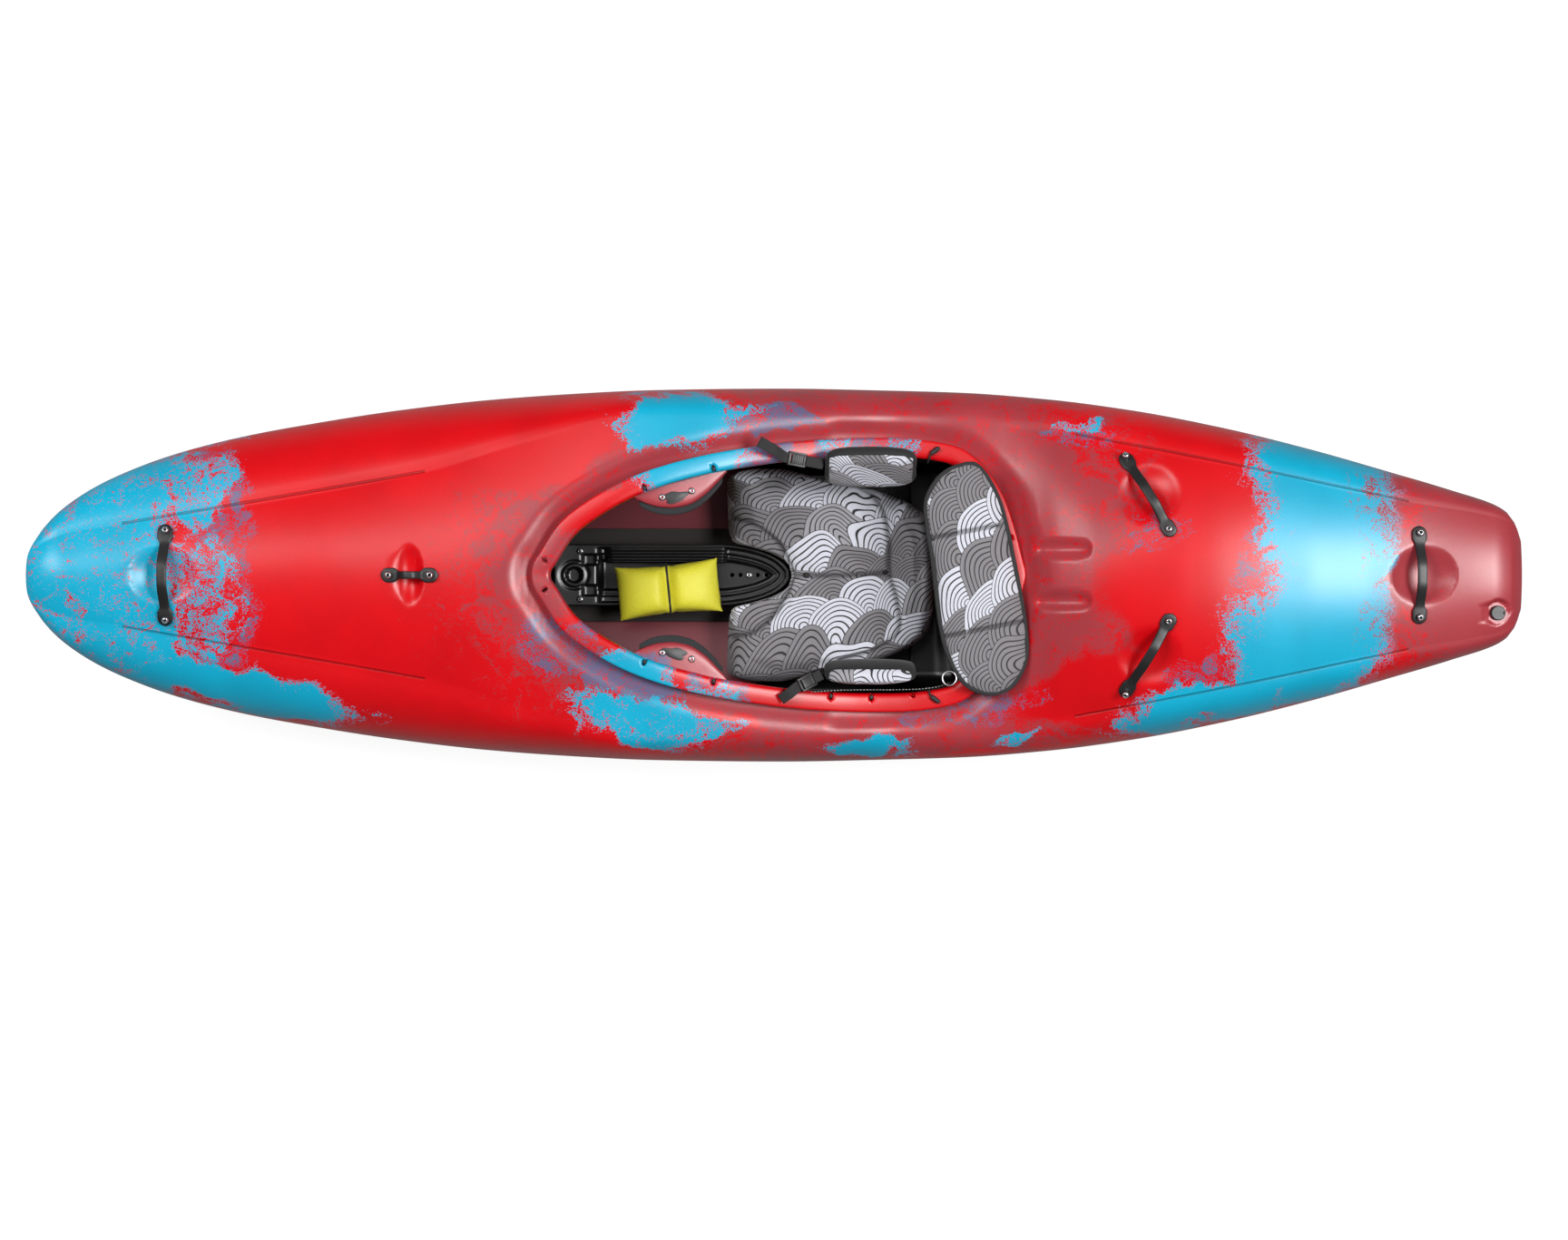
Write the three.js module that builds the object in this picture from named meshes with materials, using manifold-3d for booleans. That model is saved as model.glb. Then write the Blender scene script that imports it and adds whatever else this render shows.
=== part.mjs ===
// Whitewater river-running kayak, bow towards -X, stern towards +X, starboard +Y, up +Z.
// The origin is under the middle of the boat, on the ground. All sizes are in millimetres.
import * as THREE from 'three';
import { mergeVertices } from 'three/addons/utils/BufferGeometryUtils.js';
import Module from 'manifold-3d';

const wasm = await Module();
wasm.setup();

// Overall sizes
const HULL_LENGTH = 2743;
const HULL_BEAM = 716;
const HULL_HEIGHT = 451;
const WALL = 6;

// Clearances
const SEAT_GAP = 0.3;
const FACET_GAP = 0.6;
const FLOOR_GAP = 1;
const HOLE_CLEARANCE = 0.4;
const OVERRUN = 40;

// Cockpit coaming
const RIM_FRONT_X = -461;
const RIM_LENGTH = 920;
const RIM_HALF_WIDTH = 253;
const LIP_WIDTH = 35;
const LIP_THICKNESS = 7;
const COAMING_WALL = 7;
const MOAT_DEPTH = 18;
const MOAT_WIDTH = 46;

// Thigh braces, moulded inward from the coaming
const BRACE_FRONT_X = -272;
const BRACE_LENGTH = 170;
const BRACE_REACH = 48;
const BRACE_DROP = 15;
const BRACE_THICKNESS = 6;
const THIGH_PAD_THICKNESS = 11;
const THIGH_PAD_PROUD = 6;

// Places of the carry handles' screws and of the pockets under their straps. The end handles are
// placed from the bow and the stern, the loop from the front of the coaming
const BOW_HANDLE_FROM_BOW = 249.5;
const BOW_HANDLE_Y = 78;
const BOW_POCKET_FROM_BOW = 245.5;
const LOOP_FRONT_FROM_RIM = 260;
const LOOP_REAR_FROM_RIM = 184;
const LOOP_POCKET_FROM_RIM = 223;
const REAR_HANDLE_OUTER_X = 641;
const REAR_HANDLE_OUTER_Y = 214;
const REAR_HANDLE_INNER_X = 712;
const REAR_HANDLE_INNER_Y = 84;
const REAR_POCKET_X = 681;
const REAR_POCKET_Y = 150;
const STERN_HANDLE_FROM_STERN = 196.5;
const STERN_HANDLE_Y = 76;
const STERN_POCKET_FROM_STERN = 188.5;

// Carry handles and their screws
const STRAP_WIDTH = 20;
const STRAP_THICKNESS = 6;
const STRAP_PAD_WIDTH = 27;
const STRAP_RISE = 17;
const LOOP_STRAP_WIDTH = 16;
const LOOP_RISE = 14;
const SCREW_DIAMETER = 6;
const SCREW_HEAD_DIAMETER = 13;
const SCREW_HEAD_HEIGHT = 4;
const SCREW_LENGTH = 20;
const POCKET_RADIUS = 58;
const POCKET_DEPTH = 17;

// Grooves in the slope behind the cockpit
const GROOVE_LENGTH = 98;
const GROOVE_RADIUS = 17;
const GROOVE_DEPTH = 12;
const GROOVE_SPACING = 98;
const GROOVE_FRONT_X = 476;

// Drain plug
const DRAIN_FROM_STERN = 49.5;
const DRAIN_Y = -70;
const DRAIN_RECESS_RADIUS = 22.6;
const DRAIN_RECESS_DEPTH = 9;
const PLUG_HEAD_RADIUS = 13.7;
const PLUG_HEAD_HEIGHT = 6;
const PLUG_SHANK_RADIUS = 9;
const PLUG_SHANK_LENGTH = 12;
const PLUG_SLOT_WIDTH = 5;
const PLUG_SLOT_DEPTH = 3.5;
const PLUG_CHAMFER = 1;
const GASKET_THICKNESS = 2;

// Floor mat, centre beam and pillars
const MAT_FRONT_X = -465;
const MAT_LENGTH = 500;
const MAT_HALF_WIDTH = 92;
const MAT_THICKNESS = 6;
const BEAM_FRONT_X = -444;
const BEAM_LENGTH = 458;
const BEAM_HALF_WIDTH = 60;
const BEAM_HEIGHT = 66;
const BEAM_WALL = 5;
const BEAM_BLOCK = 82;
const BEAM_TRAY_DEPTH = 36;
const BEAM_BOLT_X = -393;
const BEAM_BOLT_Y = 47;
const BEAM_HOLE_DIAMETER = 8;
const BEAM_HOLE_PITCH = 17;
const BEAM_HOLES = 5;
const PILLAR_THICKNESS = 76;
const FRONT_PILLAR_LENGTH = 260;
const FRONT_PILLAR_CLEARANCE = 40;
const REAR_PILLAR_X = 560;
const REAR_PILLAR_LENGTH = 460;

// Foot bulkhead on its rails
const BULKHEAD_X = -720;
const BULKHEAD_TRAVEL_FORWARD = 60;
const BULKHEAD_TRAVEL_AFT = 90;
const BULKHEAD_SIDE_CLEARANCE = 108;
const BULKHEAD_THICKNESS = 8;
const BULKHEAD_FOAM = 40;
const FOOT_RAIL_HEIGHT = 26;
const FOOT_RAIL_THICKNESS = 9;
const FOOT_RAIL_Z = 205;
const FOOT_RAIL_END = 30;

// Seat
const RAIL_FRONT_X = -80;
const RAIL_LENGTH = 370;
const RAIL_INNER_Y = 102;
const RAIL_WIDTH = 28;
const RAIL_TOP_Z = 36;
const SEAT_BASE_FRONT_X = -60;
const SEAT_BASE_LENGTH = 310;
const SEAT_BASE_HALF_WIDTH = 196;
const SEAT_BASE_THICKNESS = 6;
const SEAT_TRAVEL = 17;
const SEAT_NOTCH_CLEARANCE = 6;
const WING_FRONT_X = 84;
const WING_LENGTH = 165;
const WING_THICKNESS = 6;
const WING_TOP_Z = 268;
const CUSHION_FRONT_X = -108;
const CUSHION_LENGTH = 404;
const CUSHION_HALF_WIDTH = 208;
const CUSHION_CREST_Z = 174;
const BUTTON_DIMPLE = 9;
const BUTTON_SPREAD = 26;

// Hip pads and their straps
const HIP_PAD_LENGTH = 172;
const HIP_PAD_FRONT_X = 80;
const HIP_PAD_HEIGHT = 100;
const HIP_PAD_THICKNESS = 25;
const BUCKLE_LENGTH = 34;
const BUCKLE_WIDTH = 26;
const BUCKLE_HEIGHT = 11;
const WEBBING_WIDTH = 20;
const WEBBING_THICKNESS = 2.4;

// Backband, laid back on the rear of the coaming
const BAND_SPAN = 436;
const BAND_WIDTH = 160;
const BAND_PAD_THICKNESS = 18;
const BAND_SHELL_THICKNESS = 3;
const BAND_CENTRE_X = 362;
const BAND_CENTRE_Y = -6.5;
const BAND_FRONT_Z = 284.6;
const BAND_FALL = 8;
const BAND_STRAP_X = 335;
const BAND_STRAP_DROP = 42;
const RING_RADIUS = 13;
const RING_WIRE = 3.2;
const RING_Y = -193;
const KNOB_RADIUS = 5;
const KNOB_LENGTH = 20;
const KNOB_X = 281;

// Gear pouch on the beam
const POUCH_LENGTH = 204;
const POUCH_WIDTH = 112;
const POUCH_HEIGHT = 48;
const POUCH_X = -221;
const POUCH_Y = -28;
const POUCH_TURN = 0.1;
const POUCH_CORD_DIAMETER = 5;
const POUCH_CORD_FLAT = 1.6;

// Shares of the hull's length, and of its half beam or height at that place
const railHalfShares = [
  [0, 0], [0.0018, 0.125], [0.0054, 0.187], [0.0091, 0.237], [0.0163, 0.309], [0.0308, 0.411],
  [0.0525, 0.518], [0.0827, 0.622], [0.1129, 0.697], [0.143, 0.755], [0.1732, 0.801], [0.2336, 0.879],
  [0.2939, 0.935], [0.3543, 0.969], [0.4146, 0.99], [0.5051, 1], [0.5655, 0.992], [0.6258, 0.979],
  [0.6862, 0.941], [0.7465, 0.877], [0.8069, 0.782], [0.8672, 0.661], [0.9276, 0.519], [0.9578, 0.444],
  [0.9819, 0.379], [0.9909, 0.336], [0.997, 0.264], [1, 0.196],
];
const railHeightShares = [
  [0, 0.931], [0.0163, 0.847], [0.0338, 0.785], [0.0616, 0.683], [0.1074, 0.574], [0.1539, 0.49],
  [0.2, 0.441], [0.2692, 0.39], [0.3386, 0.37], [0.4194, 0.361], [0.5088, 0.348], [0.6204, 0.348],
  [0.6783, 0.368], [0.7502, 0.388], [0.8057, 0.426], [0.8612, 0.479], [0.9209, 0.545], [0.9384, 0.574],
  [0.9819, 0.632], [1, 0.694],
];
const keelHeightShares = [
  [0, 0.931], [0.0018, 0.889], [0.0091, 0.825], [0.0163, 0.783], [0.0308, 0.696], [0.0525, 0.594],
  [0.0827, 0.479], [0.1129, 0.388], [0.143, 0.31], [0.1732, 0.244], [0.2034, 0.193], [0.2336, 0.149],
  [0.2637, 0.106], [0.2939, 0.075], [0.3241, 0.055], [0.3543, 0.033], [0.3844, 0.02], [0.4146, 0.01],
  [0.4448, 0.003], [0.475, 0], [0.5655, 0], [0.5957, 0.003], [0.6258, 0.013], [0.656, 0.033],
  [0.6862, 0.062], [0.7164, 0.098], [0.7465, 0.137], [0.7767, 0.184], [0.8069, 0.233], [0.8371, 0.286],
  [0.8672, 0.346], [0.8974, 0.408], [0.9276, 0.475], [0.9578, 0.545], [0.9879, 0.614], [1, 0.659],
];
const deckHeightShares = [
  [0, 0.931], [0.0018, 0.967], [0.0091, 0.991], [0.0163, 0.999], [0.0235, 1], [0.0308, 0.991],
  [0.0525, 0.967], [0.0827, 0.933], [0.1129, 0.907], [0.143, 0.885], [0.1732, 0.863], [0.2034, 0.841],
  [0.2336, 0.83], [0.2637, 0.823], [0.2939, 0.82], [0.3241, 0.812], [0.3543, 0.8], [0.4025, 0.78],
  [0.4339, 0.765], [0.49, 0.683], [0.5263, 0.627], [0.5643, 0.572], [0.589, 0.555], [0.6138, 0.552],
  [0.6439, 0.572], [0.6596, 0.602], [0.6741, 0.655], [0.6898, 0.714], [0.7133, 0.772], [0.7453, 0.808],
  [0.7731, 0.826], [0.796, 0.831], [0.8515, 0.823], [0.898, 0.798], [0.9324, 0.794], [0.9765, 0.803],
  [0.9903, 0.787], [1, 0.734],
];
const creaseHalfShares = [
  [0, 0], [0.0018, 0.084], [0.0091, 0.145], [0.0163, 0.179], [0.0308, 0.218], [0.0676, 0.263],
  [0.131, 0.341], [0.2565, 0.531], [0.3301, 0.701], [0.4025, 0.827], [0.5263, 0.818], [0.6138, 0.821],
  [0.6651, 0.779], [0.7013, 0.737], [0.7646, 0.62], [0.8383, 0.514], [0.8793, 0.439], [0.9276, 0.376],
  [0.9801, 0.304], [0.994, 0.257], [1, 0.15],
];
const creaseHeightShares = [
  [0, 0.931], [0.0018, 0.956], [0.0163, 0.965], [0.0314, 0.949], [0.0676, 0.909], [0.1074, 0.863],
  [0.1539, 0.82], [0.2227, 0.756], [0.2565, 0.745], [0.2957, 0.736], [0.3543, 0.738], [0.4025, 0.727],
  [0.4508, 0.692], [0.4931, 0.647], [0.5263, 0.61], [0.5534, 0.581], [0.5836, 0.548], [0.6228, 0.53],
  [0.6439, 0.532], [0.6669, 0.55], [0.7007, 0.605], [0.7266, 0.645], [0.7604, 0.714], [0.7948, 0.747],
  [0.8286, 0.761], [0.898, 0.749], [0.9457, 0.752], [0.9789, 0.756], [0.994, 0.741], [1, 0.723],
];
const chineHalfShares = [
  [0, 0], [0.0018, 0.101], [0.0163, 0.257], [0.0525, 0.419], [0.105, 0.567], [0.1611, 0.631],
  [0.2185, 0.676], [0.2999, 0.757], [0.3965, 0.785], [0.4931, 0.802], [0.6282, 0.81], [0.7254, 0.729],
  [0.8027, 0.645], [0.8871, 0.528], [0.9276, 0.447], [0.9819, 0.33], [1, 0.168],
];
const chineHeightShares = [
  [0, 0.931], [0.0018, 0.9], [0.0163, 0.805], [0.0308, 0.721], [0.0525, 0.623], [0.0827, 0.519],
  [0.105, 0.448], [0.143, 0.344], [0.2034, 0.228], [0.2336, 0.191], [0.2921, 0.137], [0.3301, 0.118],
  [0.4194, 0.096], [0.4864, 0.08], [0.5981, 0.078], [0.6427, 0.093], [0.6783, 0.105], [0.7363, 0.153],
  [0.8069, 0.266], [0.8371, 0.315], [0.8974, 0.435], [0.9276, 0.499], [0.9578, 0.57], [0.9879, 0.634],
  [1, 0.678],
];

// The coaming's outline and height, by share of its own length from the front
const rimOutlineShares = [
  [0.005, 0.09], [0.0183, 0.165], [0.0586, 0.382], [0.119, 0.553], [0.2088, 0.725], [0.3278, 0.861],
  [0.478, 0.962], [0.5897, 1.005], [0.7015, 1.02], [0.7766, 1.012], [0.8516, 0.967], [0.881, 0.919],
  [0.9249, 0.764], [0.9524, 0.608], [0.978, 0.338], [0.993, 0.12],
];
const rimHeightShares = [
  [0, 0.818], [0.0666, 0.825], [0.127, 0.827], [0.231, 0.803], [0.35, 0.752], [0.466, 0.685],
  [0.58, 0.6275], [0.656, 0.592], [0.718, 0.574], [0.782, 0.563], [0.844, 0.56], [0.92, 0.57],
  [1, 0.603],
];

// Where the shell's sections stand, as shares of its length, close together where it curves
const outerStationShares = [
  0.0018, 0.0054, 0.0115, 0.021, 0.035, 0.055, 0.08, 0.11, 0.145, 0.185, 0.225, 0.26, 0.29, 0.313,
  0.33, 0.344, 0.362, 0.385, 0.41, 0.435, 0.46, 0.485, 0.51, 0.535, 0.56, 0.585, 0.61, 0.632, 0.65,
  0.663, 0.675, 0.687, 0.7, 0.72, 0.745, 0.775, 0.81, 0.845, 0.88, 0.915, 0.945, 0.968, 0.982, 0.9905,
  0.9955, 1,
];
const innerStationShares = [
  0.0115, 0.035, 0.08, 0.11, 0.145, 0.185, 0.225, 0.29, 0.313, 0.33, 0.344, 0.362, 0.385, 0.41, 0.46,
  0.51, 0.56, 0.585, 0.61, 0.632, 0.65, 0.663, 0.675, 0.7, 0.72, 0.745, 0.775, 0.81, 0.845, 0.88,
  0.915, 0.968, 0.989,
];
const deckPointShares = [0, 0.3, 0.55, 0.72, 0.82, 0.9, 1];
const bellyPointShares = [1, 0.8, 0.55, 0.3, 0];
const BELLY_POWER = 1.7;
const BELLY_FLAT_SHARE = 0.3;
const OUTSIDE_STEPS = [4, 3];
const INSIDE_STEPS = [3, 2];
const SIDE_FULLNESS_SHARE = 0.35;

// A smooth curve through a table of [place, value] that never overshoots it, finer near zero
function curveThrough(table) {
  const xs = table.map((row) => Math.sqrt(row[0]));
  const ys = table.map((row) => row[1]);
  const slopes = xs.slice(1).map((x, i) => (ys[i + 1] - ys[i]) / (x - xs[i]));
  const tangents = xs.map((x, i) => {
    if (i === 0) {
      return slopes[0];
    }
    if (i === xs.length - 1) {
      return slopes[i - 1];
    }
    const product = slopes[i - 1] * slopes[i];
    return product <= 0 ? 0 : (2 * product) / (slopes[i - 1] + slopes[i]);
  });
  return (share) => {
    const x = Math.sqrt(Math.min(Math.max(share, 0), 1));
    let i = 0;
    while (i < xs.length - 2 && x > xs[i + 1]) {
      i += 1;
    }
    const width = xs[i + 1] - xs[i];
    const s = (x - xs[i]) / width;
    const a = (1 + 2 * s) * (1 - s) * (1 - s) * ys[i] + s * (1 - s) * (1 - s) * width * tangents[i];
    const b = s * s * (3 - 2 * s) * ys[i + 1] + s * s * (s - 1) * width * tangents[i + 1];
    return a + b;
  };
}

const railHalfShare = curveThrough(railHalfShares);
const railHeightShare = curveThrough(railHeightShares);
const keelHeightShare = curveThrough(keelHeightShares);
const deckHeightShare = curveThrough(deckHeightShares);
const creaseHalfShare = curveThrough(creaseHalfShares);
const creaseHeightShare = curveThrough(creaseHeightShares);
const chineHalfShare = curveThrough(chineHalfShares);
const chineHeightShare = curveThrough(chineHeightShares);
const rimHeightShare = curveThrough(rimHeightShares);

const [bowX, sternX] = [-HULL_LENGTH / 2, HULL_LENGTH / 2];
const drainX = sternX - DRAIN_FROM_STERN;
const bulkheadHalfWidth = HULL_BEAM / 2 - BULKHEAD_SIDE_CLEARANCE;
const shareAt = (x) => x / HULL_LENGTH + 0.5;
const stationX = (share) => (share - 0.5) * HULL_LENGTH;
const railHalf = (x) => (railHalfShare(shareAt(x)) * HULL_BEAM) / 2;
const railZ = (x) => railHeightShare(shareAt(x)) * HULL_HEIGHT;
const keelZ = (x) => keelHeightShare(shareAt(x)) * HULL_HEIGHT;
const creaseHalf = (x) => (creaseHalfShare(shareAt(x)) * HULL_BEAM) / 2;
const creaseZ = (x) => creaseHeightShare(shareAt(x)) * HULL_HEIGHT;
const chineHalf = (x) => (chineHalfShare(shareAt(x)) * HULL_BEAM) / 2;
const chineZ = (x) => chineHeightShare(shareAt(x)) * HULL_HEIGHT;
const rimZ = (x) => rimHeightShare((x - RIM_FRONT_X) / RIM_LENGTH) * HULL_HEIGHT;
const smooth = (s) => s * s * (3 - 2 * s);
const clamp01 = (s) => Math.min(Math.max(s, 0), 1);

// The coaming's outer edge seen from above, as evenly spaced points round a closed curve
const RIM_POINT_COUNT = 46;
function rimOutline() {
  const side = rimOutlineShares.map(([along, half]) => [
    RIM_FRONT_X + along * RIM_LENGTH,
    half * RIM_HALF_WIDTH,
  ]);
  const loop = [
    new THREE.Vector3(RIM_FRONT_X, 0, 0),
    ...side.map(([x, y]) => new THREE.Vector3(x, -y, 0)),
    new THREE.Vector3(RIM_FRONT_X + RIM_LENGTH, 0, 0),
    ...side.reverse().map(([x, y]) => new THREE.Vector3(x, y, 0)),
  ];
  const curve = new THREE.CatmullRomCurve3(loop, true, 'centripetal');
  const points = curve.getSpacedPoints(RIM_POINT_COUNT).slice(0, RIM_POINT_COUNT);
  return points.map((point, i) => {
    const next = points[(i + 1) % RIM_POINT_COUNT];
    const last = points[(i + RIM_POINT_COUNT - 1) % RIM_POINT_COUNT];
    const along = new THREE.Vector3().subVectors(next, last).normalize();
    return { x: point.x, y: point.y, nx: along.y, ny: -along.x };
  });
}
const rim = rimOutline();

// Distance outside the coaming's outer edge, negative inside it
function distanceOutsideRim(x, y) {
  let nearest = Infinity;
  let inside = false;
  rim.forEach((a, i) => {
    const b = rim[(i + 1) % RIM_POINT_COUNT];
    const dx = b.x - a.x;
    const dy = b.y - a.y;
    const s = clamp01(((x - a.x) * dx + (y - a.y) * dy) / (dx * dx + dy * dy));
    nearest = Math.min(nearest, Math.hypot(x - a.x - s * dx, y - a.y - s * dy));
    if (a.y > y !== b.y > y && x < ((b.x - a.x) * (y - a.y)) / (b.y - a.y) + a.x) {
      inside = !inside;
    }
  });
  return inside ? -nearest : nearest;
}

// Height of the centre deck, crowned between its creases, with the moat round the coaming
function deckZ(x, y) {
  const half = Math.max(creaseHalf(x), WALL);
  const across = clamp01(Math.abs(y) / half);
  const middle = deckHeightShare(shareAt(x)) * HULL_HEIGHT;
  const surface = creaseZ(x) + (middle - creaseZ(x)) * (1 - across * across);
  const fade = 1 - clamp01(distanceOutsideRim(x, y) / MOAT_WIDTH);
  return surface - MOAT_DEPTH * smooth(fade) * (1 - across ** 8);
}

// The bottom is flat along the middle, so the boat stands, and turns up towards its chines
function bellyZ(x, share) {
  const rise = Math.max(0, share - BELLY_FLAT_SHARE) / (1 - BELLY_FLAT_SHARE);
  return keelZ(x) + (chineZ(x) - keelZ(x)) * rise ** BELLY_POWER;
}

// Half of one cross-section, from the middle of the deck round to the keel, as [y, z]
function halfSection(x, sideSteps, hullSteps) {
  const points = deckPointShares.map((share) => {
    const y = share * creaseHalf(x);
    return [y, deckZ(x, y)];
  });
  const [yr, zr] = [railHalf(x), railZ(x)];
  const [yd, zd] = [creaseHalf(x), creaseZ(x)];
  for (let i = 1; i <= sideSteps; i += 1) {
    const angle = (i / sideSteps) * (Math.PI / 2);
    points.push([yd + (yr - yd) * Math.sin(angle), zr + (zd - zr) * Math.cos(angle)]);
  }
  const [yc, zc] = [chineHalf(x), chineZ(x)];
  const zm = zr - (zr - zc) * SIDE_FULLNESS_SHARE;
  for (let i = 1; i < hullSteps; i += 1) {
    const s = i / hullSteps;
    const y = (1 - s) * (1 - s) * yr + 2 * s * (1 - s) * yr + s * s * yc;
    const z = (1 - s) * (1 - s) * zr + 2 * s * (1 - s) * zm + s * s * zc;
    points.push([y, z]);
  }
  bellyPointShares.forEach((share) => points.push([share * yc, bellyZ(x, share)]));
  return points;
}

// A whole cross-section as a closed ring, moved inward by an inset
function sectionRing(x, inset, sideSteps, hullSteps) {
  const half = halfSection(x, sideSteps, hullSteps);
  const port = half.slice(1, -1).reverse().map(([y, z]) => [-y, z]);
  const ring = [...half, ...port];
  const count = ring.length;
  return ring.map(([y, z], i) => {
    const [ya, za] = ring[(i + count - 1) % count];
    const [yb, zb] = ring[(i + 1) % count];
    const length = Math.hypot(yb - ya, zb - za) || 1;
    const ny = -(zb - za) / length;
    const nz = (yb - ya) / length;
    return new THREE.Vector3(x, y - ny * inset, z - nz * inset);
  });
}

// Joins rings of equally many points into one closed body, with a fan over each end
function loft(rings) {
  const count = rings[0].length;
  const positions = rings.flatMap((ring) => ring.flatMap((p) => [p.x, p.y, p.z]));
  const triangles = [];
  for (let r = 0; r < rings.length - 1; r += 1) {
    for (let i = 0; i < count; i += 1) {
      const j = (i + 1) % count;
      const [a, b] = [r * count + i, r * count + j];
      triangles.push([a, b, b + count], [a, b + count, a + count]);
    }
  }
  const addFan = (ring, base, turned) => {
    const middle = ring.reduce((sum, p) => sum.add(p), new THREE.Vector3()).divideScalar(count);
    const hub = positions.length / 3;
    positions.push(middle.x, middle.y, middle.z);
    for (let i = 0; i < count; i += 1) {
      const j = (i + 1) % count;
      triangles.push(turned ? [hub, base + j, base + i] : [hub, base + i, base + j]);
    }
  };
  addFan(rings[0], 0, true);
  addFan(rings[rings.length - 1], (rings.length - 1) * count, false);
  return outwardGeometry(positions, triangles);
}

// Makes an indexed geometry whose faces point outwards
function outwardGeometry(positions, triangles) {
  const at = (i) => new THREE.Vector3(...positions.slice(3 * i, 3 * i + 3));
  let volume = 0;
  triangles.forEach(([a, b, c]) => {
    volume += at(a).dot(at(b).cross(at(c)));
  });
  const index = triangles.flatMap(([a, b, c]) => (volume < 0 ? [a, c, b] : [a, b, c]));
  const geometry = new THREE.BufferGeometry();
  geometry.setAttribute('position', new THREE.Float32BufferAttribute(positions, 3));
  geometry.setIndex(index);
  return geometry;
}

function toSolid(geometry) {
  const plain = geometry.clone();
  plain.deleteAttribute('normal');
  plain.deleteAttribute('uv');
  const merged = mergeVertices(plain);
  const mesh = new wasm.Mesh({
    numProp: 3,
    vertProperties: new Float32Array(merged.attributes.position.array),
    triVerts: new Uint32Array(merged.index.array),
  });
  mesh.merge();
  return new wasm.Manifold(mesh);
}

function toGeometry(solid) {
  const mesh = solid.getMesh();
  const geometry = new THREE.BufferGeometry();
  geometry.setAttribute('position', new THREE.BufferAttribute(mesh.vertProperties, 3));
  geometry.setIndex(new THREE.BufferAttribute(mesh.triVerts, 1));
  return geometry;
}

function box(x0, x1, y0, y1, z0, z1) {
  const geometry = new THREE.BoxGeometry(x1 - x0, y1 - y0, z1 - z0);
  return geometry.translate((x0 + x1) / 2, (y0 + y1) / 2, (z0 + z1) / 2);
}

// A cylinder that stands on z0 about a point, or leans along a direction from it
function cylinder(radius, height, x, y, z0, sides, direction) {
  const geometry = new THREE.CylinderGeometry(radius, radius, height, sides);
  geometry.rotateX(Math.PI / 2).translate(0, 0, height / 2);
  return placed(geometry, x, y, z0, direction);
}

function placed(geometry, x, y, z, direction) {
  if (direction) {
    const turn = new THREE.Quaternion().setFromUnitVectors(new THREE.Vector3(0, 0, 1), direction);
    geometry.applyQuaternion(turn);
  }
  return geometry.translate(x, y, z);
}

// Direction square to the deck, measured over one screw pad
function deckNormal(x, y) {
  const step = STRAP_PAD_WIDTH / 2;
  const dx = (deckZ(x + step, y) - deckZ(x - step, y)) / (2 * step);
  const dy = (deckZ(x, y + step) - deckZ(x, y - step)) / (2 * step);
  return new THREE.Vector3(-dx, -dy, 1).normalize();
}

// Carry handles: the two screws, the middle of the pocket under the strap, and the strap's size
const fullStrap = { width: STRAP_WIDTH, rise: STRAP_RISE, stretch: 1 };
const loopStrap = { width: LOOP_STRAP_WIDTH, rise: LOOP_RISE, stretch: 0.45 };
const rearHandle = (name, side) => ({
  name,
  a: [REAR_HANDLE_OUTER_X, side * REAR_HANDLE_OUTER_Y],
  b: [REAR_HANDLE_INNER_X, side * REAR_HANDLE_INNER_Y],
  pocket: [REAR_POCKET_X, side * REAR_POCKET_Y],
  ...fullStrap,
});
const bowHandle = {
  name: 'bow_handle',
  a: [bowX + BOW_HANDLE_FROM_BOW, BOW_HANDLE_Y],
  b: [bowX + BOW_HANDLE_FROM_BOW, -BOW_HANDLE_Y],
  pocket: [bowX + BOW_POCKET_FROM_BOW, 0],
  ...fullStrap,
};
const foredeckLoop = {
  name: 'foredeck_loop',
  a: [RIM_FRONT_X - LOOP_FRONT_FROM_RIM, 0],
  b: [RIM_FRONT_X - LOOP_REAR_FROM_RIM, 0],
  pocket: [RIM_FRONT_X - LOOP_POCKET_FROM_RIM, 0],
  ...loopStrap,
};
const sternHandle = {
  name: 'stern_handle',
  a: [sternX - STERN_HANDLE_FROM_STERN, STERN_HANDLE_Y],
  b: [sternX - STERN_HANDLE_FROM_STERN, -STERN_HANDLE_Y],
  pocket: [sternX - STERN_POCKET_FROM_STERN, 0],
  ...fullStrap,
};
const handles = [
  bowHandle,
  foredeckLoop,
  rearHandle('rear_handle_starboard', 1),
  rearHandle('rear_handle_port', -1),
  sternHandle,
];

// A dished pocket: a shallow bowl with a short drum above it that clears the deck
function pocketSolid(handle, grow, sides, steps) {
  const radius = POCKET_RADIUS + grow;
  const depth = POCKET_DEPTH + grow;
  const ball = (radius * radius + depth * depth) / (2 * depth);
  const profile = [];
  for (let i = 0; i <= steps; i += 1) {
    const angle = (i / steps) * Math.asin(radius / ball);
    profile.push(new THREE.Vector2(ball * Math.sin(angle), ball * (1 - Math.cos(angle)) - depth));
  }
  profile.push(new THREE.Vector2(radius, OVERRUN), new THREE.Vector2(0, OVERRUN));
  const bowl = new THREE.LatheGeometry(profile, sides);
  bowl.rotateX(Math.PI / 2).scale(handle.stretch, 1, 1);
  const [x, y] = handle.pocket;
  return toSolid(placed(bowl, x, y, deckZ(x, y), deckNormal(x, y)));
}

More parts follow.
